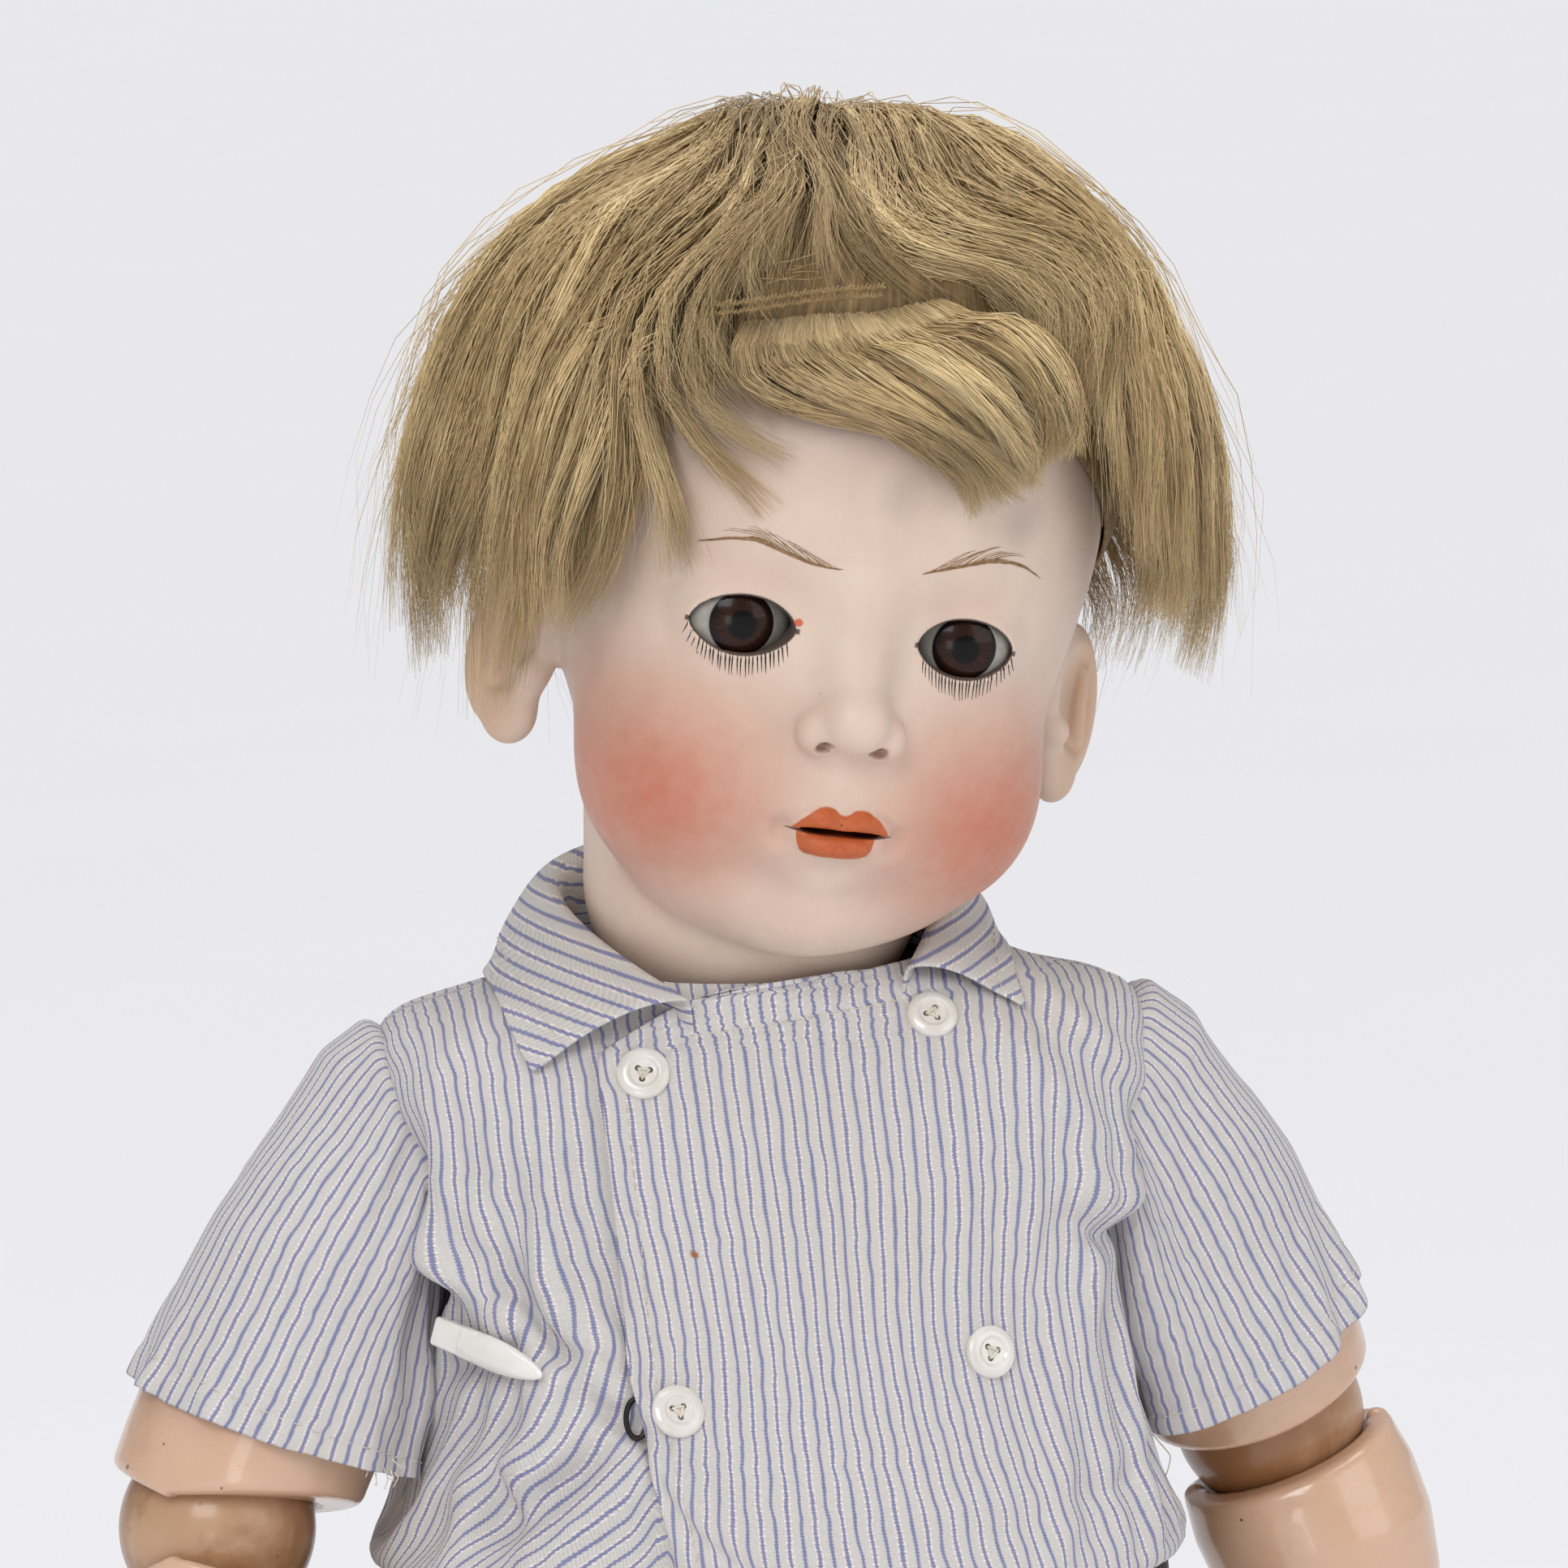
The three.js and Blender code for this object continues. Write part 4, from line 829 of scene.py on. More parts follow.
def lock_field(ga, gb, count, start=(0.0, 0.5), thick=0.16, width=6.5, wave=1.5, sway=5.0, ragged=0.13):
    """Strands between two guides, drawn together into locks towards their tips. Returns points (n, NP_, 3) and values."""
    sep = np.linalg.norm(ga - gb, axis=1).mean()
    length = 0.5 * (np.linalg.norm(np.diff(ga, axis=0), axis=1).sum() + np.linalg.norm(np.diff(gb, axis=0), axis=1).sum())
    nc = max(1, int(round(sep / width)))
    layers = 2
    cf = (np.arange(nc)[None, :] + 0.5 + hair_rng.uniform(-0.28, 0.28, (layers, nc))) / nc
    ch, cp, cw = hair_rng.uniform(-0.055, 0.04, (layers, nc)), hair_rng.uniform(0, 6.28, (layers, nc)), hair_rng.uniform(0.5, 1.4, (layers, nc))
    cl, cr, ce = hair_rng.uniform(44, 90, (layers, nc)), hair_rng.uniform(0, 1, (layers, nc)), hair_rng.uniform(-0.11, 0.0, (layers, nc))
    f = hair_rng.uniform(-0.06, 1.06, count)
    lay = (hair_rng.uniform(0, 1, count) < 0.45).astype(int)
    c = np.clip((f * nc).astype(int), 0, nc - 1)
    depth = hair_rng.uniform(0, 1, count) ** 1.4
    t0 = hair_rng.uniform(start[0], start[1], count)
    t0 = np.where(hair_rng.uniform(0, 1, count) < 0.4, t0 * 0.25, t0)
    t1 = np.clip(1.0 + ce[lay, c] - ragged * hair_rng.uniform(0, 1, count) ** 1.5, t0 + 0.25, 1.0)
    v = np.linspace(0, 1, NP_)
    T = t0[:, None] + (t1 - t0)[:, None] * v[None, :]
    k = 0.10 + 0.68 * (np.clip((T - 0.25) / 0.65, 0, 1) ** 2 * (3 - 2 * np.clip((T - 0.25) / 0.65, 0, 1)))
    fe = f[:, None] + (cf[lay, c] - f)[:, None] * k
    X = T * (len(ga) - 1)
    i0 = np.clip(X.astype(int), 0, len(ga) - 2)
    w = (X - i0)[..., None]
    A = ga[i0] * (1 - w) + ga[i0 + 1] * w
    B = gb[i0] * (1 - w) + gb[i0 + 1] * w
    P = A * (1 - fe[..., None]) + B * fe[..., None]
    rise = np.clip((T - t0[:, None]) * length / 16.0, 0, 1)
    rise = rise * rise * (3 - 2 * rise)
    rho = 1.0 - thick * (0.25 + 0.75 * depth[:, None]) * (1 - 0.35 * k) + ch[lay, c][:, None] * np.clip(T * 2.5, 0, 1) + 0.02
    rho = 0.83 + (rho - 0.83) * rise
    rho[t0 < 0.08] = np.maximum(rho[t0 < 0.08], 0.93)
    P = SHELL_C + (P - SHELL_C) * rho[..., None]
    tan = np.gradient(P, axis=1)
    tan /= np.linalg.norm(tan, axis=2, keepdims=True) + 1e-9
    rad = (P - SHELL_C) / SHELL_R**2
    rad /= np.linalg.norm(rad, axis=2, keepdims=True)
    side = np.cross(tan, rad)
    ph = cp[lay, c][:, None] + 6.28 * T * length / cl[lay, c][:, None]
    amp = wave * cw[lay, c][:, None] * np.clip(T * 2.2, 0.15, 1)
    P = P + side * (amp * np.sin(ph))[..., None] + rad * (0.5 * amp * np.cos(ph * 0.8 + 1))[..., None]
    fa, fb = flow(P)
    grow = np.clip((T - 0.12) * 2.0, 0, 1) * sway
    P = P + side * (fa * grow)[..., None] + rad * (0.55 * fb * grow)[..., None]
    curl = hair_rng.normal(0, 3.0, (layers, nc))
    P = P + side * (curl[lay, c][:, None] * np.clip((T - 0.7) / 0.3, 0, 1) ** 2)[..., None]
    ph2 = hair_rng.uniform(0, 6.28, (count, 1)) + 6.28 * T * length / hair_rng.uniform(22, 50, (count, 1))
    P = P + side * (hair_rng.uniform(0.1, 0.6, (count, 1)) * np.sin(ph2))[..., None] + rad * (hair_rng.uniform(0.05, 0.4, (count, 1)) * np.cos(ph2))[..., None]
    tip = np.clip((v - 0.6) / 0.4, 0, 1) ** 2
    P = P + side * (hair_rng.normal(0, 1.5, (count, 1)) * tip)[..., None] + rad * (hair_rng.normal(0.3, 1.2, (count, 1)) * tip)[..., None]
    vals = np.stack([np.repeat(hair_rng.uniform(0, 1, count)[:, None], NP_, 1), T, np.repeat(cr[lay, c][:, None], NP_, 1)], -1)
    return P, vals, depth


def gap_area(a, b):
    return np.linalg.norm(a - b, axis=1).mean() * 0.5 * (np.linalg.norm(np.diff(a, axis=0), axis=1).sum() + np.linalg.norm(np.diff(b, axis=0), axis=1).sum())


STRANDS = 13500
areas = np.array([gap_area(ring[i], ring[(i + 1) % len(ring)]) for i in range(len(ring))])
weight = areas.copy()
weight[:9] *= 0.72  # the unseen back holds a little less
allP, allV, allR = [], [], []
for i in range(len(ring)):
    n = int(STRANDS * weight[i] / weight.sum())
    P, V, dep = lock_field(ring[i], ring[(i + 1) % len(ring)], n)
    allP.append(P)
    allV.append(V)
    allR.append(hair_rng.uniform(0.15, 0.25, n))
for i in range(len(FRINGE) - 1):
    n = int((0.055 if i else 0.06) * STRANDS * (0.8 if i > 3 else 1.0))
    P, V, dep = lock_field(resample(FRINGE[i], 60), resample(FRINGE[i + 1], 60), n, start=(0.0, 0.14), thick=0.08, width=4.5, wave=1.2, sway=1.6, ragged=0.24)
    allP.append(P)
    allV.append(V)
    allR.append(hair_rng.uniform(0.15, 0.24, n))
# hair close to the head at both temples, under the outer locks
for ga, gb, n in (
    ([(40, -42, 158), (52, -44, 146), (58, -47, 134), (60, -48, 122), (63, -44, 110), (65, -39, 98), (67, -33, 87)], [(52, -28, 160), (63, -31, 146), (69, -33, 132), (71, -34, 118), (73, -32, 104), (74, -28, 92), (74, -24, 80)], 0.040),
    ([(-42, -44, 150), (-50, -49, 138), (-54, -50, 126), (-56, -49, 112), (-57, -46, 98), (-57, -43, 84), (-56, -40, 70)], [(-54, -34, 150), (-62, -38, 136), (-66, -38, 120), (-68, -36, 104), (-67, -33, 88), (-65, -30, 74), (-62, -28, 62)], 0.030),
):
    n = int(n * STRANDS)
    P, V, dep = lock_field(resample(ga, 60), resample(gb, 60), n, start=(0.0, 0.3), thick=0.07, width=5.0, wave=1.4, sway=2.0)
    allP.append(P)
    allV.append(V)
    allR.append(hair_rng.uniform(0.15, 0.24, n))
# stray hairs that stand off
n = 700
pick = hair_rng.randint(0, len(ring), n)
for i in range(len(ring)):
    c = int((pick == i).sum())
    if c:
        P, V, dep = lock_field(ring[i], ring[(i + 1) % len(ring)], c, start=(0.05, 0.55), thick=0.03, wave=2.5)
        out = (P - SHELL_C) / np.linalg.norm(P - SHELL_C, axis=2, keepdims=True)
        v = np.linspace(0, 1, NP_)[None, :, None]
        P = P + out * (np.abs(hair_rng.normal(0, 5.0, (c, 1, 1))) * v**1.5) + hair_rng.normal(0, 3.0, (c, 1, 3)) * v**2 + 1.6 * np.sin(v * hair_rng.uniform(4, 11, (c, 1, 1)) + hair_rng.uniform(0, 6, (c, 1, 3))) * v
        allP.append(P)
        allV.append(V)
        allR.append(np.full(c, 0.12))
HP, HV, HRAD = np.concatenate(allP), np.concatenate(allV), np.concatenate(allR)
# every strand keeps off the bisque
flat = HP.reshape(-1, 3).astype(np.float32)
for _ in range(3):
    d = head_outer(flat)
    low = np.nonzero(d < 0.9)[0]
    if not len(low):
        break
    out = flat[low] - np.array([0, 6, 90], np.float32)
    out /= np.linalg.norm(out, axis=1, keepdims=True)
    flat[low] += out * np.minimum(1.3 * (0.9 - d[low]) + 0.1, 9)[:, None]
HP = flat.reshape(HP.shape).astype(float)


def strand_mesh(name, P, V, R, sides=3):
    """Strands as closed thin tubes that taper at both ends."""
    n, k = P.shape[:2]
    tan = np.gradient(P, axis=1)
    tan /= np.linalg.norm(tan, axis=2, keepdims=True) + 1e-9
    rad = P - SHELL_C
    rad /= np.linalg.norm(rad, axis=2, keepdims=True)
    s1 = np.cross(tan, rad)
    s1 /= np.linalg.norm(s1, axis=2, keepdims=True) + 1e-9
    s2 = np.cross(s1, tan)
    v = np.linspace(0, 1, k)
    taper = np.minimum(0.55 + 3 * v, 1) * np.clip((1 - v) / 0.45, 0.12, 1)
    r = R[:, None] * taper[None, :]
    verts = np.stack([P + r[..., None] * (math.cos(a) * s1 + math.sin(a) * s2) for a in (np.pi / 2 + 2 * np.pi * j / sides for j in range(sides))], 2)
    idx = np.arange(n * k * sides).reshape(n, k, sides)
    q = []
    for j in range(sides):
        j2 = (j + 1) % sides
        q.append(np.stack([idx[:, :-1, j], idx[:, 1:, j], idx[:, 1:, j2], idx[:, :-1, j2]], -1).reshape(-1, 4))
    q = np.concatenate(q)
    tri = np.concatenate([idx[:, 0, :3], idx[:, -1, :3][:, ::-1]])
    tris = np.concatenate([q[:, [0, 1, 2]], q[:, [0, 2, 3]], tri])
    val = np.repeat(V[:, :, None, :], sides, 2).reshape(-1, 3)
    return mesh(name, head_to_doll(verts.reshape(-1, 3)), tris[:, ::-1].copy(), attrs={"hs": val})


m = Mat("mohair")
hs = m.attr("hs")
hx, hy, hz = m.xyz(hs)
tone = m.math("ADD", m.math("MULTIPLY", hx, 0.5), m.math("MULTIPLY", hz, 0.5))
tone = m.math("ADD", tone, m.math("MULTIPLY", m.math("SUBTRACT", m.noise(m.obj(), 34, 2, 0.5), 0.5), 0.7))
hc = m.ramp(tone, [(0.05, (141, 116, 76)), (0.35, (183, 156, 110)), (0.62, (211, 184, 136)), (0.95, (237, 216, 168))])
# painted shade: strands darker towards their roots, where they lie under other hair; the line after makes them lighter
# towards the tips
hc = m.mix(m.smooth(hy, 0.0, 0.35, 0.25, 0.0), hc, (114, 90, 54))
hc = m.mix(m.smooth(hy, 0.8, 1.0, 0.0, 0.25), hc, (214, 189, 140))
m.color(hc)
m.set(Roughness=0.42, Specular_IOR_Level=0.45, Sheen_Weight=0.12, Sheen_Roughness=0.4)
MOHAIR = m.m

# cap of net and matted under-hair, close over the skull
def skull_at(dirs, base=(0.0, 5.0, 100.0)):
    o = np.array(base, np.float32)
    r = np.full(len(dirs), 105.0, np.float32)
    for _ in range(40):
        r -= 0.8 * head_outer((o + dirs * r[:, None]).astype(np.float32))
    return o + dirs * r[:, None]


nps, ne = 120, 40
psi = np.linspace(-math.pi, math.pi, nps, endpoint=False)
deg_ = np.abs(np.degrees(psi))
low_e = np.interp(deg_, [0, 32, 55, 80, 105, 140, 180], [30, 27, 12, -4, -16, -30, -34])
dirs, lev = [], []
for j in range(ne):
    e = np.radians(low_e + (90 - low_e) * j / (ne - 0.5))
    dirs.append(np.stack([np.sin(psi) * np.cos(e), -np.cos(psi) * np.cos(e), np.sin(e)], 1))
    lev.append(np.full(nps, j / (ne - 1.0)))
dirs, lev = np.concatenate(dirs), np.concatenate(lev)
base_pts = skull_at(dirs.astype(np.float32)).astype(float)
lift = 1.4 + 6.5 * np.clip(lev * 3.0, 0, 1)
lift += 1.2 * np.sin(np.tile(psi, ne) * 23 + lev * 5) * np.clip(lev * 4, 0, 1)
outer_, inner_ = base_pts + dirs * lift[:, None], base_pts + dirs * 0.7
top_o, top_i = outer_[-nps:].mean(0), inner_[-nps:].mean(0)
verts = np.concatenate([outer_, inner_, [top_o], [top_i]])
fs = []
for j in range(ne - 1):
    for i in range(nps):
        a, b = j * nps + i, j * nps + (i + 1) % nps
        fs.append((a, b, b + nps, a + nps))
        o = nps * ne
        fs.append((o + b, o + a, o + a + nps, o + b + nps))
for i in range(nps):
    a, b = i, (i + 1) % nps
    fs.append((b, a, nps * ne + a, nps * ne + b))
    a, b = (ne - 1) * nps + i, (ne - 1) * nps + (i + 1) % nps
    fs.append((a, b, 2 * nps * ne))
    fs.append((nps * ne + b, nps * ne + a, 2 * nps * ne + 1))
cap_val = np.stack([np.r_[np.tile(psi, ne * 2), 0, 0], np.r_[lev, lev, 1, 1], np.zeros(2 * nps * ne + 2)], 1)
wig_cap = mesh("wig_cap", head_to_doll(verts), fs, attrs={"hs": cap_val})
m = Mat("wig_cap")
hs = m.attr("hs")
hx, hy, hz = m.xyz(hs)
st = m.noise(m.vec(m.math("MULTIPLY", m.math("COSINE", hx), 26.0), m.math("MULTIPLY", m.math("SINE", hx), 26.0), m.math("MULTIPLY", hy, 4.0)), 1.6, 4, 0.65)
m.color(m.ramp(st, [(0.3, (84, 65, 39)), (0.55, (126, 101, 63)), (0.75, (158, 130, 86))]))
m.normal(m.bump(st, 0.0012, 0.8))
m.set(Roughness=0.7)
paint(wig_cap, m.m, "head")
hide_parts("wig")
order = hair_rng.permutation(len(HP))
parts_n = max(1, math.ceil(len(HP) * ((NP_ - 1) * 6 + 2) / 185000))
for i, ix in enumerate(np.array_split(order, parts_n)):
    ob = strand_mesh("hair_%d" % (i + 1), HP[ix], HV[ix], HRAD[ix])
    paint(ob, MOHAIR, "head")


# stitched weft above the fringe
def tube(points, r, sides=8, closed=False, taper=None):
    """A round tube along points, with closed ends. Returns (verts, faces)."""
    p = np.asarray(points, float)
    n = len(p)
    tan = (np.roll(p, -1, 0) - np.roll(p, 1, 0)) if closed else np.gradient(p, axis=0)
    tan /= np.linalg.norm(tan, axis=1, keepdims=True) + 1e-12
    ref = np.array([0.0, 0, 1]) if abs(tan[0][2]) < 0.9 else np.array([1.0, 0, 0])
    s = np.cross(tan[0], ref)
    vs, fs = [], []
    for i in range(n):
        s = s - tan[i] * (s @ tan[i])
        s /= np.linalg.norm(s)
        b = np.cross(tan[i], s)
        rr = r * (taper[i] if taper is not None else 1.0)
        for j in range(sides):
            a = 2 * math.pi * j / sides
            vs.append(p[i] + rr * (math.cos(a) * s + math.sin(a) * b))
    for i in range(n if closed else n - 1):
        for j in range(sides):
            a, b2 = i * sides + j, i * sides + (j + 1) % sides
            c, d = ((i + 1) % n) * sides + (j + 1) % sides, ((i + 1) % n) * sides + j
            fs.append((a, b2, c, d))
    if not closed:
        fs.append(tuple(range(sides - 1, -1, -1)))
        fs.append(tuple((n - 1) * sides + j for j in range(sides)))
    return np.array(vs), fs


def join_parts(name, parts, to=lambda p: p, smooth=True):
    vs, fs, o = [], [], 0
    for v, f in parts:
        vs.append(np.asarray(v, float))
        fs += [tuple(int(i) + o for i in q) for q in f]
        o += len(v)
    return mesh(name, to(np.concatenate(vs)), fs, smooth)


seam = resample([(-39, -52, 144), (-32, -54.5, 146), (-26, -56, 148), (-19, -57, 150), (-13, -58, 151.5), (-5, -58.5, 153)], 44)
out_ = unit(np.array([-0.25, -0.75, 0.6]))
srng = random.Random(5)
parts = []
for lift_, down in ((2.6, 0.0), (2.6, -1.9)):
    row = seam + out_ * lift_ + np.array([0.15, -0.25, 1.0]) * down
    row[:, 2] += 0.18 * np.sin(np.arange(44) * 1.7 + down)
    parts.append(tube(row, 0.30, 6))
    for i in range(1, 43):
        c = row[i]
        d = np.array([0.35, -0.1, 1.0]) * srng.uniform(0.55, 0.8)
        parts.append(tube([c - d + out_ * 0.15, c + out_ * 0.42, c + d + out_ * 0.15], 0.2, 5))
for i in range(7):
    y0 = srng.uniform(3, 8.5)
    a, b = sorted((srng.uniform(10, 20), srng.uniform(22, 32)))
    row = seam[int(a) : int(b)] + out_ * (2.0 + srng.uniform(0, 0.5)) + np.array([0.1, 0.35, 0.9]) * y0
    row[:, 2] += 0.4 * np.sin(np.arange(len(row)) * 0.4 + i)
    if len(row) > 3:
        parts.append(tube(row, 0.11, 5))
weft = join_parts("wig_weft", parts, head_to_doll)
m = Mat("weft_thread")
m.color(m.ramp(m.noise(m.obj(), 500, 3, 0.6), [(0.3, (122, 99, 61)), (0.7, (162, 136, 92))]))
m.set(Roughness=0.75)
paint(weft, m.m, "head")

# ------------------------------------------------------------------ striped cotton shirt
def table(rows):
    z, v = zip(*rows)
    return lambda q: np.interp(q, z, v)


SH_A = table([(262, 70), (268, 73), (283, 79), (292, 85), (300, 86), (312, 83), (325, 78), (340, 74.5), (352, 75.5), (364, 79), (376, 83), (386, 85), (393, 84.5), (397, 81), (399.5, 74), (402, 64), (404.5, 54), (407, 45), (409, 39)])
SH_B = table([(262, 58), (268, 60), (283, 64), (292, 68), (300, 67.5), (320, 63), (340, 57), (360, 50.5), (376, 45.5), (386, 40.5), (393, 35.5), (397, 32.5), (399.5, 31.5), (402, 31), (404.5, 31), (407, 31.5), (409, 31.5)])
SH_C = table([(262, -3), (300, -3), (340, -1), (376, 1), (409, 2)])
SH_N = table([(262, 2.2), (320, 2.3), (350, 2.6), (376, 3.0), (393, 3.0), (400, 2.5), (409, 2.0)])
SH_IN = table([(262, 2.5), (283, 4), (300, 6), (320, 8), (340, 8.5), (360, 7), (376, 3), (390, 1.2), (400, 0.8), (409, 0.5)])


def section(z, n, a=None, b=None):
    """Points at equal arc length round the shirt at height z, from the doll's right side over the front."""
    th = np.linspace(math.pi, 3 * math.pi, 721)
    e = 2 / SH_N(z)
    a, b = (SH_A(z) if a is None else a), (SH_B(z) if b is None else b)
    x = a * np.sign(np.cos(th)) * np.abs(np.cos(th)) ** e
    y = SH_C(z) + b * np.sign(np.sin(th)) * np.abs(np.sin(th)) ** e
    s = np.r_[0, np.cumsum(np.hypot(np.diff(x), np.diff(y)))]
    q = np.linspace(0, s[-1], n + 1)[:-1]
    return np.interp(q, s, x), np.interp(q, s, y)


def body_field(P):
    """Signed distance, roughly, to what fills the shirt."""
    z = np.clip(P[:, 2], 262, 409)
    d = SH_IN(z)
    a, b, n = SH_A(z) - d, SH_B(z) - d, SH_N(z)
    q = (np.abs(P[:, 0]) / a) ** n + (np.abs(P[:, 1] - SH_C(z)) / b) ** n
    return (np.maximum(q, 1e-9) ** (1 / n) - 1) * np.minimum(a, b)


def cone_field(P, k, lo, hi, r0, r1):
    """Distance to the sleeve's cone about the upper arm of side k."""
    q = P - S[k]
    t = q @ U[k]
    r = np.linalg.norm(q - t[:, None] * U[k], axis=1)
    f = r - (r0 + (r1 - r0) * np.clip(t / 70.0, 0, 1.1))
    return np.where((t > lo) & (t < hi), f, 9.0)


def push(P, field, free, margin=0.0, times=1):
    for _ in range(times):
        d = field(P) - margin
        ix = np.nonzero((d < 0) & free)[0]
        if not len(ix):
            return P
        p = P[ix]
        g = np.stack([field(p + np.eye(3)[i] * 0.2) - field(p - np.eye(3)[i] * 0.2) for i in range(3)], 1)
        g /= np.maximum(np.linalg.norm(g, axis=1, keepdims=True), 1e-6)
        P[ix] = p - g * d[ix][:, None]
    return P


def cloth(P, closed, grow_u, grow_v, pin, fields, steps, iters, gravity=0.05, bend=0.12, aim=None):
    """Position-based cloth on a grid (rows, columns). grow_u and grow_v lengthen the cloth against the starting shape; pin holds points; fields push points out of solids."""
    nr, nc = P.shape[:2]
    idx = np.arange(nr * nc).reshape(nr, nc)
    X = P.reshape(-1, 3).copy()
    w = np.where(pin.ravel(), 0.0, 1.0)
    batches = []

    def add(a, b, k, grow):
        a, b = a.ravel(), b.ravel()
        if len(a):
            g = grow if np.isscalar(grow) else 0.5 * (grow.ravel()[a] + grow.ravel()[b])
            L = np.linalg.norm(X[a] - X[b], axis=1) * g
            ws = w[a] + w[b]
            keep = ws > 0
            a, b, L, ws = a[keep], b[keep], L[keep], ws[keep]
            batches.append((a, b, L, (w[a] / ws * k)[:, None], (w[b] / ws * k)[:, None]))

    gd = 0.5 * (np.broadcast_to(grow_u, (nr, nc)) + np.broadcast_to(grow_v, (nr, nc)))
    gu, gv = np.broadcast_to(grow_u, (nr, nc)).copy(), np.broadcast_to(grow_v, (nr, nc)).copy()
    right = np.roll(idx, -1, 1)
    last = nc if closed else nc - 1
    for par in (0, 1):
        add(idx[:, par:last:2], right[:, par:last:2], 1.0, gu)
        add(idx[par : nr - 1 : 2], idx[par + 1 : nr : 2][: len(idx[par : nr - 1 : 2])], 1.0, gv)
        a = idx[par : nr - 1 : 2]
        b = idx[par + 1 : nr : 2][: len(a)]
        add(a[:, :last], np.roll(b, -1, 1)[:, :last], 0.35, gd)
        add(np.roll(a, -1, 1)[:, :last], b[:, :last], 0.35, gd)
    for m4 in ((0, 1), (2, 3)):
        c = [i for i in range(nc if closed else nc - 2) if i % 4 in m4]
        add(idx[:, c], np.roll(idx, -2, 1)[:, c], bend, gu)
        r = [i for i in range(nr - 2) if i % 4 in m4]
        add(idx[r], idx[[i + 2 for i in r]], bend, gv)
    V = np.zeros_like(X)
    free = w > 0
    for s in range(steps):
        X0 = X.copy()
        V *= 0.93
        V[:, 2] -= gravity
        X = X + V * w[:, None]
        for _ in range(iters):
            for a, b, L, wa, wb in batches:
                d = X[a] - X[b]
                ln = np.sqrt((d * d).sum(1))
                c = ((ln - L) / np.maximum(ln, 1e-9))[:, None] * d
                X[a] -= wa * c
                X[b] += wb * c
        for f, margin in fields:
            X = push(X, f, free, margin)
        if aim is not None:
            X += aim[1][:, None] * (aim[0] - X)
        V = X - X0
        ln = np.linalg.norm(V, axis=1, keepdims=True)
        V *= np.minimum(1, 1.2 / np.maximum(ln, 1e-9))
    return X.reshape(nr, nc, 3)


# bodice: a tube from inside the waistband to the neck
NU = 184
prof_z = np.linspace(264, 408.5, 500)
arc = np.r_[0, np.cumsum(np.hypot(np.diff(prof_z), np.diff(SH_A(prof_z))))]
NV = int(arc[-1] / (2.45))
rows_z = np.interp(np.linspace(0, arc[-1], NV), arc, prof_z)
G0 = np.zeros((NV, NU, 3))
for j, z in enumerate(rows_z):
    x, y = section(z, NU)
    front = np.clip(-(y - SH_C(z)) / SH_B(z), -1, 1)
    dz = -3.0 * front * np.clip((z - 396) / 12, 0, 1)
    G0[j] = np.stack([x, y, np.full(NU, z) + dz], 1)
crng = np.random.RandomState(3)
start = G0 + crng.normal(0, 0.25, G0.shape)
pin = np.zeros((NV, NU), bool)
pin[:2], pin[-2:] = True, True
start[pin] = G0[pin]
zz = G0[..., 2]
grow_v = 1 + 0.055 * np.clip((362 - zz) / 12, 0, 1) * np.clip((zz - 276) / 10, 0, 1) + 0.02 * np.clip((zz - 300) / 20, 0, 1) * np.clip((390 - zz) / 10, 0, 1)
grow_u = 1 + 0.030 * np.clip((385 - zz) / 20, 0, 1)
# the pin gathers the doll's right side and a spot beside it is drawn in; the waist row keeps its starting shape
aim_to, aim_w = G0.reshape(-1, 3).copy(), np.zeros(NV * NU)
pin_at = np.array([-56.0, 0, 331.0])
gq = G0.reshape(-1, 3)
near = (np.abs(gq[:, 0] + 56) < 17) & (np.abs(gq[:, 2] - 331) < 4.5) & (gq[:, 1] < 0)
aim_to[near, 0] = pin_at[0] + (gq[near, 0] + 56) * 0.42
aim_to[near, 2] = 331 + (gq[near, 2] - 331) * 0.8
aim_to[near, 1] = gq[near, 1] + 2.0
aim_w[near] = 0.05
waist = np.abs(gq[:, 2] - 282) < 3
aim_w[waist] = 0.25
near2 = (np.abs(gq[:, 0] + 38) < 6) & (np.abs(gq[:, 2] - 321) < 6) & (gq[:, 1] < 0)
aim_to[near2, 2] = 321 + (gq[near2, 2] - 321) * 0.3
aim_to[near2, 1] = gq[near2, 1] + 4.0
aim_w[near2] = 0.06
fields = [(body_field, 0.0), (lambda P: cone_field(P, "r", 17, 80, 22.5, 33.0), 0.9), (lambda P: cone_field(P, "l", 17, 80, 22.5, 33.0), 0.9)]
BOD = cloth(start, True, grow_u, grow_v, pin, fields, 130, 10, 0.045, 0.10, (aim_to, aim_w))

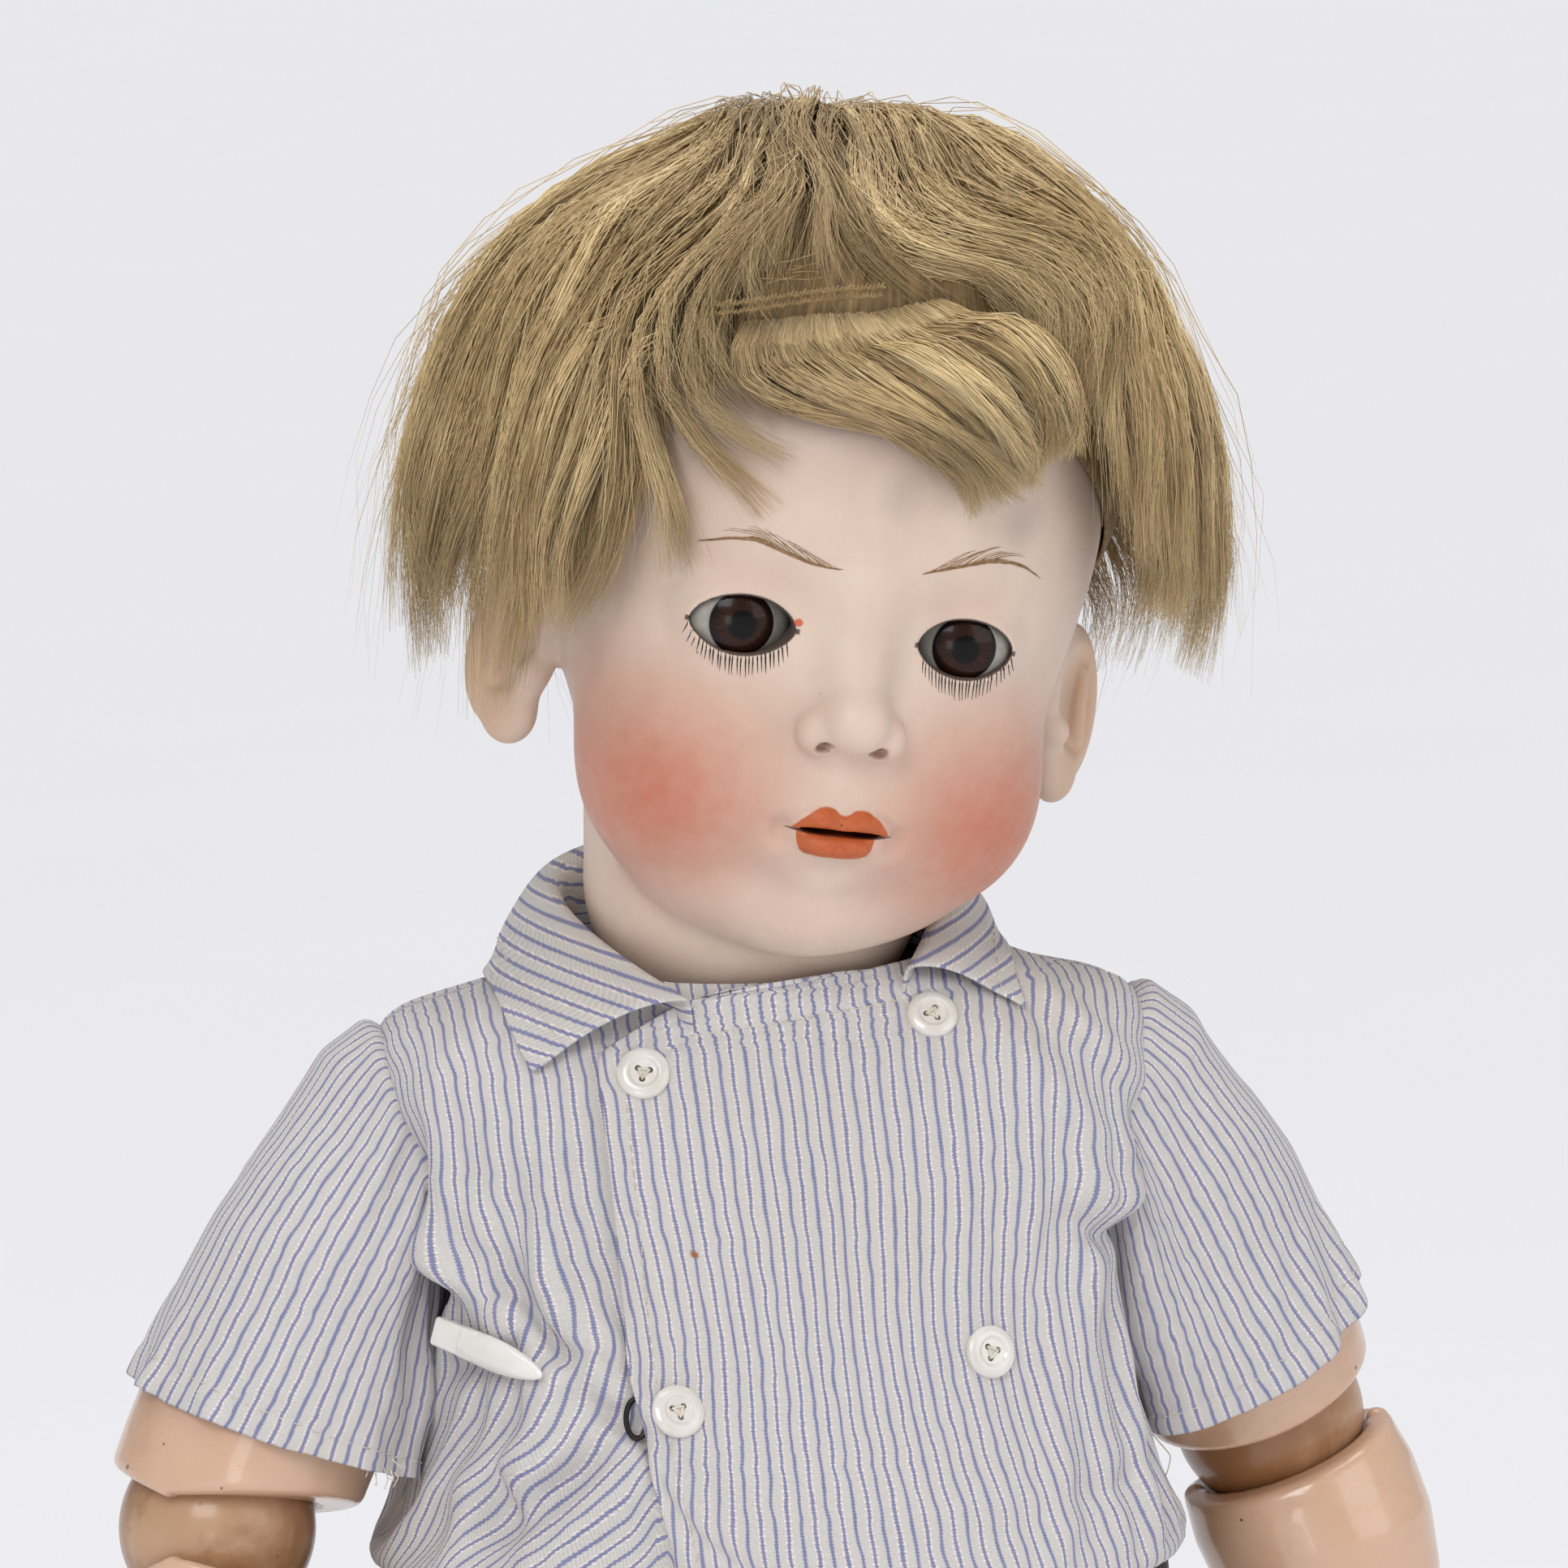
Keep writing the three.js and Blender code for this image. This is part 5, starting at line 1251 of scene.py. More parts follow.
# folds seen on this shirt, laid over the settled cloth: (points x, z on the front, height, half width, sharpness)
FOLDS = [
    ([(-80, 362), (-71, 347), (-60, 336)], 5.0, 4.4), ([(-77, 349), (-65, 337)], -4.6, 2.8), ([(-66, 362), (-58, 345), (-49, 330)], 3.4, 3.4),
    ([(-62, 354), (-54, 340), (-45, 327)], -3.2, 2.4), ([(-54, 356), (-47, 339), (-39, 325)], 3.0, 3.0), ([(-47, 392), (-46, 365), (-44, 345)], -1.2, 3.0),
    ([(-72, 300), (-60, 309), (-44, 318)], 3.2, 3.6), ([(-66, 294), (-52, 304), (-40, 314)], -3.2, 2.8), ([(-56, 291), (-46, 300), (-38, 309)], 3.0, 3.4), ([(-82, 312), (-72, 318), (-60, 326)], 1.6, 3.2),
    ([(46, 406), (58, 397), (70, 386), (80, 376)], 2.4, 3.6), ([(50, 402), (60, 391), (72, 380)], -2.4, 2.6), ([(44, 396), (54, 382), (64, 370), (78, 362)], 2.6, 4.8), ([(52, 384), (58, 374), (66, 367)], -1.4, 2.4),
    ([(62, 360), (72, 355), (82, 357)], 3.6, 4.2), ([(60, 353), (70, 347), (80, 349)], -3.4, 3.0), ([(66, 345), (60, 330), (62, 312)], 2.0, 4.0), ([(72, 342), (68, 326), (70, 308)], -2.2, 2.8), ([(56, 352), (50, 338), (48, 318)], -1.2, 3.2),
    ([(-58, 402), (-68, 392), (-77, 380)], 1.4, 3.2), ([(76, 300), (68, 296), (56, 297)], -1.6, 3.0), ([(20, 300), (30, 297), (44, 298)], 1.2, 4.0),
]
BACK_FOLDS = [([(-60, 372), (-50, 350), (-44, 320)], 1.8, 4.0), ([(-66, 352), (-56, 332), (-50, 306)], -2.0, 3.4), ([(60, 370), (48, 345), (42, 318)], 1.8, 4.0), ([(66, 350), (57, 330), (52, 305)], -2.0, 3.4), ([(-20, 384), (-14, 350), (-16, 316)], 1.3, 5.0), ([(18, 380), (12, 350), (14, 312)], -1.2, 5.0), ([(-30, 306), (0, 301), (34, 306)], 1.8, 4.0), ([(-60, 298), (-38, 295), (-14, 299)], -1.8, 3.4)]


def fold_height(x, z, folds):
    h = np.zeros(len(x))
    for pts, height, half in folds:
        pts = np.array(pts, float)
        best, along = np.full(len(x), 1e9), np.zeros(len(x))
        total = np.linalg.norm(np.diff(pts, axis=0), axis=1).sum()
        run = 0.0
        for a, b in zip(pts[:-1], pts[1:]):
            d = b - a
            L = np.linalg.norm(d)
            t = np.clip(((x - a[0]) * d[0] + (z - a[1]) * d[1]) / L**2, 0, 1)
            q = np.hypot(x - a[0] - t * d[0], z - a[1] - t * d[1])
            s = (run + t * L) / total
            m_ = q < best
            best, along = np.where(m_, q, best), np.where(m_, s, along)
            run += L
        ends = np.sin(np.pi * np.clip(0.12 + 0.76 * along, 0, 1)) ** 0.8
        h += height * ends * np.exp(-((best / half) ** 2))
    return h


def grid_normals(Gd, closed=True):
    du = (np.roll(Gd, -1, 1) - np.roll(Gd, 1, 1)) if closed else np.gradient(Gd, axis=1)
    dv = np.gradient(Gd, axis=0)
    n = np.cross(du, dv)
    return n / np.maximum(np.linalg.norm(n, axis=2, keepdims=True), 1e-9)


nrm = grid_normals(BOD)
bx, by, bz = BOD[..., 0], BOD[..., 1], BOD[..., 2]
fr = by < SH_C(np.clip(bz, 262, 409))
h = np.where(fr, fold_height(bx.ravel(), bz.ravel(), FOLDS).reshape(bx.shape), fold_height(bx.ravel(), bz.ravel(), BACK_FOLDS).reshape(bx.shape))
h *= np.clip((bz - 284) / 8, 0, 1)
BOD = BOD + nrm * 1.45 * h[..., None]
BOD = push(BOD.reshape(-1, 3), body_field, np.ones(NV * NU, bool), -1.0).reshape(BOD.shape)

# stripe coordinate: straight down the front, in millimetres across the cloth
qa = np.linspace(-1, 1, 801)
sx = 83 * qa
sy = 46 * (1 - np.abs(qa) ** 2.6) ** (1 / 2.6)
sref = np.r_[0, np.cumsum(np.hypot(np.diff(sx), np.diff(sy)))]
sref -= sref[400]
QH = 5.8 * round(sref[-1] / 5.8)
sref *= QH / sref[-1]


def stripe_at(x, y, z):
    a = np.where(z < 372, SH_A(np.clip(z, 262, 409)), 83.0)
    a = np.where(z < 350, a, np.interp(z, [350, 372], [SH_A(350), 83.0]))
    s = np.interp(np.clip(x * 83.0 / a, -83, 83), sx, sref)
    lean = 0.10 * (392 - z) * np.interp(x, [-60, -36, 40, 70], [0, 1, 0.7, 0.2])
    drag = 6.0 * np.logaddexp(0, (323 - z) / 6.0) * np.interp(x, [-95, -72, -30, -20], [0, 1, 1, 0])
    return s - lean + 0.95 * drag


gx, gy, gz = G0[..., 0], G0[..., 1], G0[..., 2]
isfront = np.arange(NU)[None, :] <= NU // 2
st_front = stripe_at(gx, gy, gz)
st_back = 2 * QH - np.interp(np.clip(gx * 83.0 / np.maximum(SH_A(np.clip(gz, 262, 409)), np.where(gz > 372, 83.0, 0)), -83, 83), sx, sref)
stripe = np.where(isfront, st_front, st_back)
# the tail goes well in behind the waistband
tail = np.interp(BOD[..., 2], [262, 270, 277.5], [0.93, 0.945, 1.0])
BOD[..., 0] *= tail
BOD[..., 1] = (BOD[..., 1] + 1) * tail - 1
run = np.zeros((NV, NU))
run[1:] = np.cumsum(np.linalg.norm(np.diff(G0, axis=0), axis=2), axis=0)
V3 = np.concatenate([BOD, BOD[:, :1]], 1)
A3 = np.stack([np.concatenate([stripe, np.full((NV, 1), 3 * QH) + 0 * stripe[:, :1]], 1), np.concatenate([run, run[:, :1]], 1), np.zeros((NV, NU + 1))], -1)
iid = np.arange(NV * (NU + 1)).reshape(NV, NU + 1)
quads = np.stack([iid[:-1, :-1], iid[:-1, 1:], iid[1:, 1:], iid[1:, :-1]], -1).reshape(-1, 4)
mid = V3.reshape(-1, 3)[quads].mean(1)
hole = np.zeros(len(mid), bool)
for k, sg in (("r", -1), ("l", 1)):
    hole |= (np.hypot(mid[:, 1] - 2, mid[:, 2] - 368.5) < 17.5) & (mid[:, 0] * sg > 62)
shirt_body = mesh("shirt_bodice", V3.reshape(-1, 3), quads[~hole], attrs={"st": A3.reshape(-1, 3)})
mod = shirt_body.modifiers.new("smooth", "SUBSURF")
mod.levels = mod.render_levels = 1


def cotton(name, dark=1.0):
    m = Mat(name)
    st = m.attr("st")
    s, t, e = m.xyz(st)
    wob = m.math("MULTIPLY", m.math("SUBTRACT", m.noise(m.vec(s, m.math("MULTIPLY", t, 0.25), 0.0), 0.45, 2, 0.5), 0.5), 0.5)
    s = m.math("ADD", s, wob)
    ph = m.math("FRACT", m.math("DIVIDE", s, 2.9))
    d = m.math("ABSOLUTE", m.math("SUBTRACT", ph, 0.5))
    bead = m.math("MULTIPLY", m.math("SINE", m.math("MULTIPLY", t, 9.5)), 0.035)
    rough_ = m.math("MULTIPLY", m.math("SUBTRACT", m.noise(m.vec(m.math("MULTIPLY", s, 1.2), m.math("MULTIPLY", t, 0.6), 1.0), 1.0, 3, 0.6), 0.5), 0.10)
    line = m.smooth(m.math("ADD", d, m.math("ADD", bead, rough_)), 0.085, 0.165, 1.0, 0.0)
    par = m.math("FRACT", m.math("DIVIDE", m.math("ADD", s, 1.45), 5.8))
    cream = m.smooth(m.math("ABSOLUTE", m.math("SUBTRACT", par, 0.5)), 0.10, 0.17, 1.0, 0.0)
    dash = m.math("MULTIPLY", m.smooth(m.math("SINE", m.math("ADD", m.math("MULTIPLY", t, 5.2), m.math("MULTIPLY", m.noise(m.vec(s, t, 0.0), 0.25, 1, 0.5), 9.0))), -0.2, 0.5), cream)
    weave = m.math("MULTIPLY", m.math("SINE", m.math("MULTIPLY", s, 12.5)), m.math("SINE", m.math("MULTIPLY", t, 12.5)))
    weave = m.math("ADD", m.math("MULTIPLY", weave, 0.5), m.math("MULTIPLY", m.noise(m.vec(m.math("MULTIPLY", s, 1.0), m.math("MULTIPLY", t, 0.5), 2.0), 2.6, 3, 0.65), 1.2))
    ground = m.mix(m.smooth(weave, -0.2, 1.4), (186, 182, 180), (220, 216, 211))
    ground = m.mix(m.math("MULTIPLY", cream, 0.55), ground, (219, 208, 198))
    ground = m.mix(m.math("MULTIPLY", dash, 0.55), ground, (242, 240, 236))
    stain = m.smooth(m.noise(m.obj(), 14, 3, 0.55), 0.52, 0.75, 0.0, 0.28)
    ground = m.mix(stain, ground, (214, 203, 188))
    blue = m.mix(m.noise(m.vec(s, m.math("MULTIPLY", t, 0.3), 3.0), 0.8, 2, 0.5), (92, 98, 150), (130, 134, 172))
    c = m.mix(m.math("MULTIPLY", line, 0.86), ground, blue)
    ox, oy, oz = m.xyz(m.obj())
    rust_d = m.n("VectorMath", operation="DISTANCE")
    m.put(rust_d.inputs[0], m.vec(ox, 0.0, oz))
    rust_d.inputs[1].default_value = ((-20.2 + OFF[0]) / 1000, 0.0, 0.3521)
    front_only = m.smooth(oy, -0.035, -0.03, 1.0, 0.0)
    rust = m.math("MULTIPLY", m.smooth(m.math("ADD", rust_d.outputs["Value"], m.math("MULTIPLY", m.math("SUBTRACT", m.noise(m.obj(), 900, 2, 0.6), 0.5), 0.0018)), 0.0004, 0.0012, 0.9, 0.0), front_only)
    c = m.mix(rust, c, (150, 92, 40))
    m.color(c)
    hh = m.math("ADD", m.math("MULTIPLY", weave, 0.6), m.math("MULTIPLY", line, -0.4))
    m.normal(m.bump(hh, 0.00016, 0.55, m.bump(m.noise(m.obj(), 160, 3, 0.55), 0.0012, 0.3)))
    m.set(Roughness=0.86, Specular_IOR_Level=0.2, Sheen_Weight=0.1)
    return m.m


COTTON = cotton("striped_cotton")
paint(shirt_body, COTTON, "torso")
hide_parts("shirt_body")


def mesh_area(ob):
    me = ob.data
    return sum(p.area for p in me.polygons)


bod_tree = BVHTree.FromPolygons([tuple(v) for v in V3.reshape(-1, 3)], [tuple(int(i) for i in q) for q in quads])


def front_y(x, z, tree=bod_tree, default=-40.0):
    hit = tree.ray_cast(Vector((float(x), -160.0, float(z))), Vector((0, 1, 0)))
    return hit[0].y if hit[0] is not None else default


# front lap: a doubled panel that lies over the bodice, with a faced top edge and stitched side
LAP_L = table([(264, -24), (291, -28.8), (330, -35.2), (362, -36.6), (393.2, -38)])
nlx, nlz = (104), NV
LAPG = np.zeros((nlz, nlx, 3))
lap_st = np.zeros((nlz, nlx, 3))
HALF = NU // 2
drag0 = 0.95 * 6.0 * np.logaddexp(0, (323 - gz) / 6.0) * np.interp(gx, [-95, -72, -30, -20], [0, 1, 1, 0])
cols = np.arange(HALF + 1, dtype=float)
lap_n = grid_normals(BOD)
if (lap_n[:, HALF // 2, 1] > 0).sum() > NV / 2:
    lap_n = -lap_n
LAPN = np.zeros((nlz, nlx, 3))
for j in range(NV):
    X, Z = BOD[j, : HALF + 1, 0], BOD[j, : HALF + 1, 2]
    xl = np.where(Z < 393.2, LAP_L(Z), np.interp(Z, [393.2, 403, 406.5], [-38, -18.6, 18]))
    g = X - xl
    c = next((i for i in range(4, HALF) if g[i] >= 0), HALF - 6)
    c0 = c - g[c] / max(g[c] - g[c - 1], 1e-6)
    q = c0 + (HALF - 3 - c0) * np.linspace(0, 1, nlx)
    for d in range(3):
        LAPG[j, :, d] = np.interp(q, cols, BOD[j, : HALF + 1, d])
        LAPN[j, :, d] = np.interp(q, cols, lap_n[j, : HALF + 1, d])
    lap_st[j, :, 0] = np.interp(q, cols, (stripe - drag0)[j, : HALF + 1])
    lap_st[j, :, 1] = np.interp(q, cols, run[j, : HALF + 1])
# below the waist the lap goes in behind the shorts with the bodice
lap_low = np.interp(LAPG[..., 2], [275, 285], [0.0, 1.0])
flat_w = np.interp(LAPG[..., 0], [26, 52], [1.0, 0.0]) * lap_low
Y = LAPG[..., 1].copy()
for _ in range(10):
    Y[1:-1, 1:-1] = 0.25 * (Y[:-2, 1:-1] + Y[2:, 1:-1] + Y[1:-1, :-2] + Y[1:-1, 2:])
Y = np.minimum(Y, LAPG[..., 1])
for _ in range(3):
    Y[1:-1, 1:-1] = 0.25 * (Y[:-2, 1:-1] + Y[2:, 1:-1] + Y[1:-1, :-2] + Y[1:-1, 2:])
over = np.interp(LAPG[..., 0], [-40, 20, 44, 70], [2.3, 1.7, 1.2, 0.9]) * lap_low - 3.0 * (1 - lap_low)
BASE = LAPG[..., 1].copy()
LAPG = LAPG + LAPN * (over * (1 - flat_w))[..., None]
LAPG[..., 1] = LAPG[..., 1] * (1 - flat_w) + flat_w * (np.minimum(Y, BASE + 0.4) - over)
LAPG[..., 1] = np.maximum(LAPG[..., 1], -74.0)
# the faced top stands a little above the bodice's own edge
rise = np.interp(LAPG[-1, :, 0], [-18.6, 36, 44], [403.0, 408.6, 408.6]) - LAPG[-1, :, 2]
LAPG[-6:, :, 2] += np.clip(rise, 0, 4)[None, :] * (np.arange(1, 7) / 6.0)[:, None] * (LAPG[-6:, :, 0] < 46)
lap_rng = np.random.RandomState(8)
# the left edge lifts and dents a little between the buttons
edge = np.exp(-((LAPG[..., 0] - LAPG[:, :1, 0]) / 7.0) ** 2)
LAPG[..., 1] -= edge * (0.5 + 0.9 * np.sin(LAPG[..., 2] * 0.11 + 0.6) ** 2) * np.clip((LAPG[..., 2] - 290) / 10, 0, 1)
for cx, cz in ((-28.4, 388.7), (33.6, 396.6), (-25.9, 321.0), (41.0, 327.8)):
    LAPG[..., 1] += 1.0 * np.exp(-(((LAPG[..., 0] - cx) ** 2 + (LAPG[..., 2] - cz) ** 2) / 6.0**2))
# faced top: shift the stripes above the facing seam and pinch the seam
top_z = np.interp(LAPG[..., 0], [-38, -18.6, 36, 58], [393, 403, 408.6, 410]) - LAPG[..., 2]
lap_st[..., 0] += np.where(top_z < 7.2, 0.9, 0.0)
LAPG[..., 1] += 0.55 * np.exp(-(((top_z - 7.4) / 0.9) ** 2)) - 0.25 * np.exp(-(((top_z - 4.0) / 2.5) ** 2))
ed = LAPG[..., 0] - LAPG[:, :1, 0]
LAPG[..., 1] += 0.4 * np.exp(-(((ed - 5.2) / 0.7) ** 2))
iid = np.arange(nlz * nlx).reshape(nlz, nlx)
quads_l = np.stack([iid[:-1, :-1], iid[:-1, 1:], iid[1:, 1:], iid[1:, :-1]], -1).reshape(-1, 4)
shirt_lap = mesh("shirt_lap", LAPG.reshape(-1, 3), quads_l, attrs={"st": lap_st.reshape(-1, 3)})
mod = shirt_lap.modifiers.new("thick", "SOLIDIFY")
mod.thickness, mod.offset = 0.0011, -1.0
mod = shirt_lap.modifiers.new("smooth", "SUBSURF")
mod.levels = mod.render_levels = 1
paint(shirt_lap, COTTON, "torso")
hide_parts("shirt_front_lap")
lap_tree = BVHTree.FromPolygons([tuple(v) for v in LAPG.reshape(-1, 3)], [tuple(int(i) for i in q) for q in quads_l])


def on_lap(x, z, out=0.0):
    return np.array([x, min(front_y(x, z, lap_tree), front_y(x, z)) - out, z])


# topstitching on the lap: small dashes along its edge and top
parts = []
for z in np.arange(286, 391, 2.6):
    x = LAP_L(z) + 5.2
    parts.append(tube([on_lap(x + 0.02, z - 0.8, 0.02), on_lap(x, z, 0.22), on_lap(x - 0.02, z + 0.8, 0.02)], 0.16, 5))
for x in np.arange(-16, 32, 2.6):
    z = np.interp(x, [-18.6, 36], [403, 408.6]) - 7.4
    parts.append(tube([on_lap(x - 0.8, z - 0.08, 0.02), on_lap(x, z, 0.2), on_lap(x + 0.8, z + 0.08, 0.02)], 0.15, 5))
stitches = [join_parts("lap_stitches", parts)]
m = Mat("thread")
m.color(m.ramp(m.noise(m.obj(), 300, 2, 0.5), [(0.3, (196, 186, 164)), (0.7, (226, 220, 206))]))
m.set(Roughness=0.8)
THREAD = m.m
paint(stitches[0], THREAD, "torso")


# sleeves
def sleeve(k, sg, hem_in, hem_out, hem_r):
    na, nt = ((108, 44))
    th = np.linspace(0, 2 * math.pi, na, endpoint=False)
    # ring of the armhole: th 0 is up and outward, pi is the armpit
    cu, su = np.cos(th), np.sin(th)
    ring0 = np.stack([sg * (76.5 + 6.0 * cu), 2 - 24.5 * su * 1.0, 368.5 + 28.5 * cu], 1)
    # the seam lies on the bodice all round, with its allowance turned in
    seam_in = [np.zeros_like(ring0), np.zeros_like(ring0)]
    for i in range(na):
        loc, nn, _, _ = bod_tree.find_nearest(Vector(ring0[i]))
        loc, nn = np.array(loc), np.array(nn)
        if (loc - np.array([0, 2, 370.0])) @ nn < 0:
            nn = -nn
        ring0[i] = loc + nn * 0.9
        inward = unit(np.array([sg * 74.0, 2, 368.0]) - loc)
        seam_in[0][i], seam_in[1][i] = loc - nn * 4.5 + inward * 4.0, loc - nn * 1.6 + inward * 1.2
    for q in (ring0, *seam_in):
        for _ in range(3):
            q[:] = 0.25 * np.roll(q, 1, 0) + 0.5 * q + 0.25 * np.roll(q, -1, 0)
    side = unit(np.cross(U[k], [0, 1, 0]))
    upv = side if side @ np.array([sg, 0, 0.6]) > 0 else -side
    fwd = np.array([0, -1.0, 0])
    fwd = unit(fwd - U[k] * (fwd @ U[k]))
    tt = hem_out * (1 + cu) / 2 + hem_in * (1 - cu) / 2
    ring1 = S[k] + U[k] * tt[:, None] + hem_r * (cu[:, None] * upv * 0.97 + su[:, None] * fwd)
    Gs = np.zeros((nt, na, 3))
    for j in range(nt):
        v = j / (nt - 1.0)
        p = ring0 * (1 - v) + ring1 * v
        # fuller cap over the shoulder
        p = p + (unit([sg * 0.75, 0, 0.66]) * (3.2 * math.sin(math.pi * min(1, v * 1.6)) ** 1.0 if v < 0.625 else 0.0)) * np.clip(cu, 0, 1)[:, None]
        Gs[j] = p
    st0 = Gs + np.random.RandomState(21 + (k == "l")).normal(0, 0.2, Gs.shape)
    pn = np.zeros((nt, na), bool)
    pn[:1] = True
    st0[pn] = Gs[pn]

    def arm_field(P):
        q = P - S[k]
        t = q @ U[k]
        r = np.linalg.norm(q - t[:, None] * U[k], axis=1)
        rr = np.interp(t, [-18, -6, 6, 17, 34, 56, 78, 90], [10, 17, 18, 21.8, 25, 26.6, 26.6, 26.2])
        return r - rr

    vv = np.linspace(0, 1, nt)[:, None]
    gu = 1.0 + 0.035 * np.ones((nt, na))
    gv = 1.0 + 0.02 * np.ones((nt, na))
    return seam_in, cloth(st0, True, gu, gv, pn, [(arm_field, 1.3), (lambda P: body_field(P) , 0.8)], 80, 9, 0.02, 0.22)


sleeves = {}
for k, sg, hin, hout, hr in (("r", -1, 68, 71, 33.5), ("l", 1, 67, 69, 33.0)):
    seam_in, Sl = sleeve(k, sg, hin, hout, hr)
    nt, na = Sl.shape[:2]
    nrm = grid_normals(Sl)
    ax = Sl.mean(1, keepdims=True)
    if ((Sl - ax) * nrm).sum() < 0:
        nrm = -nrm
    th = np.linspace(0, 2 * math.pi, na, endpoint=False)[None, :]
    v = np.linspace(0, 1, nt)[:, None]
    # soft drag folds from the armpit and a few along the sleeve; the hem is a doubled band
    fold = 1.1 * np.sin(3 * th + 9 * v + (1.0 if k == "r" else 2.2)) * np.clip(np.sin(math.pi * v), 0, 1) ** 1.2 * (0.4 + 0.6 * (1 - np.cos(th)) / 2)
    fold += 0.9 * np.exp(-(((th - 1.9 - 0.9 * v) / 0.16) ** 2)) * np.clip(1.2 - 1.6 * v, 0, 1) - 1.1 * np.exp(-(((th - 2.3 - 0.7 * v) / 0.2) ** 2)) * np.clip(1.1 - 1.4 * v, 0, 1)
    pucker = 0.35 * np.sin(th * 46 + 3 * np.sin(th * 5)) * np.exp(-v * 14)
    tlen = np.cumsum(np.r_[0, np.linalg.norm(np.diff(Sl[:, 0], axis=0), axis=1)])
    from_hem = (tlen[-1] - tlen)[:, None]
    band = 0.30 * np.clip((8.8 - from_hem) / 0.8, 0, 1) - 0.3 * np.exp(-(((from_hem - 8.6) / 0.8) ** 2)) + 0.16 * np.sin(th * 60) * np.exp(-(((from_hem - 8.0) / 1.6) ** 2))
    Sl = Sl + nrm * (fold + pucker + band)[..., None]
    inner = Sl[::-1][1:7] - nrm[::-1][1:7] * 0.9
    full = np.concatenate([np.stack(seam_in), Sl, inner])
    ref_r = 30.0
    srow = np.r_[-8.0, -4.0, tlen, tlen[-1] + np.arange(1, 7) * 1.6]
    full = np.concatenate([full, full[:, :1]], 1)
    ang = np.linspace(0, 2 * math.pi, na + 1)[None, :]
    # the stripes run down the sleeve and close at the seam under the arm
    sc = (ang - math.pi) * (5.8 * 32 / (2 * math.pi))
    roll = na // 2
    full = np.concatenate([full[:, roll:-1], full[:, : roll + 1]], 1)
    stv = np.stack([np.repeat(sc, len(full), 0), np.repeat(srow[:, None], na + 1, 1), np.zeros((len(full), na + 1))], -1)
    iid = np.arange(len(full) * (na + 1)).reshape(len(full), na + 1)
    qd = np.stack([iid[:-1, :-1], iid[:-1, 1:], iid[1:, 1:], iid[1:, :-1]], -1).reshape(-1, 4)
    n0 = np.cross(full[20, 4] - full[20, 3], full[21, 3] - full[20, 3])
    if n0 @ (full[20, 3] - full[20].mean(0)) < 0:
        qd = qd[:, ::-1]
    ob = mesh("sleeve_cotton_" + k, full.reshape(-1, 3), qd, attrs={"st": stv.reshape(-1, 3)})
    mod = ob.modifiers.new("smooth", "SUBSURF")
    mod.levels = mod.render_levels = 1
    paint(ob, COTTON)
    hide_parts("sleeve_" + k)
    sleeves[k] = (ob, Sl, nrm)
    # white hem stitches, and the frayed end of the right hem
    parts = []
    jr = int(np.argmin(np.abs(from_hem[:, 0] - 8.2)))
    for i in range(0, na, 2):
        a, b = Sl[jr, i] + nrm[jr, i] * 0.25, Sl[jr, (i + 1) % na] + nrm[jr, (i + 1) % na] * 0.25
        parts.append(tube([a - nrm[jr, i] * 0.3, (a + b) / 2 + nrm[jr, i] * 0.12, b - nrm[jr, i] * 0.3], 0.15, 5))
    if k == "r":
        fr_ = random.Random(4)
        c = Sl[-1, int(na * 0.36)]
        for i in range(7):
            p0 = c + np.array([fr_.uniform(-3, 3), -0.6, fr_.uniform(0, 4)])
            p1 = p0 + np.array([fr_.uniform(-1.5, 2.5), fr_.uniform(-1.5, 0), fr_.uniform(-3, 1)])
            p2 = p1 + np.array([fr_.uniform(-2, 2), fr_.uniform(-0.6, 0.4), fr_.uniform(-2.5, 1.5)])
            parts.append(tube(resample([p0, p1, p2], 8), 0.14, 5))
    else:
        c = Sl[-1, int(na * 0.60)] if Sl[-1, int(na * 0.60), 1] < Sl[-1, int(na * 0.40), 1] else Sl[-1, int(na * 0.40)]
        parts.append(tube(resample([c + np.array(q) for q in ((0, -0.2, 1.0), (1.6, -1.0, -1.5), (5.6, -1.6, -6.5), (4.6, -1.2, -10.5), (2.4, -0.6, -13.5))], 26), 0.13, 5))
    stt = join_parts("hem_stitches_" + k, parts)
    paint(stt, THREAD)
    sleeves[k] += (stt,)
    ringp = np.concatenate([Sl[0], Sl[:1, 0]])
for k in "rl":
    for ob in (sleeves[k][0], sleeves[k][3]):
        # the sleeve and its stitches are baked into the doll's frame
        sg = -1 if k == "r" else 1
        at, out = np.array([sg * 76.5, 2, 368.5]), unit(np.array([sg * 28.5, 0, -6.0]))
        a = (at + out * 3 + OFF) / 1000
        b = (at + out * 20 + OFF) / 1000
        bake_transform(ob)

# collar: a stand round the neck that folds over and lies on the shoulders
FOLD = resample([(-18.6, -37, 403.8), (-27, -29, 408.5), (-38, -13, 415.5), (-44.3, 2, 421.5), (-45, 13, 424.5), (-33, 28, 428.5), (0, 35, 429.5), (30, 27, 428.5), (40, 13, 424), (41.5, 0, 419.5), (39, -12, 415.5), (34.5, -23, 411.6), (30.0, -31, 407.4)], 61)
REACH = resample([(-51.5, -34, 389.5), (-56, -26.5, 396.5), (-57.5, -12, 404), (-59.5, 3, 406), (-57.5, 23, 406), (-42, 42, 405), (0, 51, 405), (43, 43, 404), (56, 21, 408), (54, 1, 408.5), (52, -11, 406.5), (52, -21, 402), (53.5, -28.5, 395.5)], 61)
nw = 26
grid_c, st_c = [], []
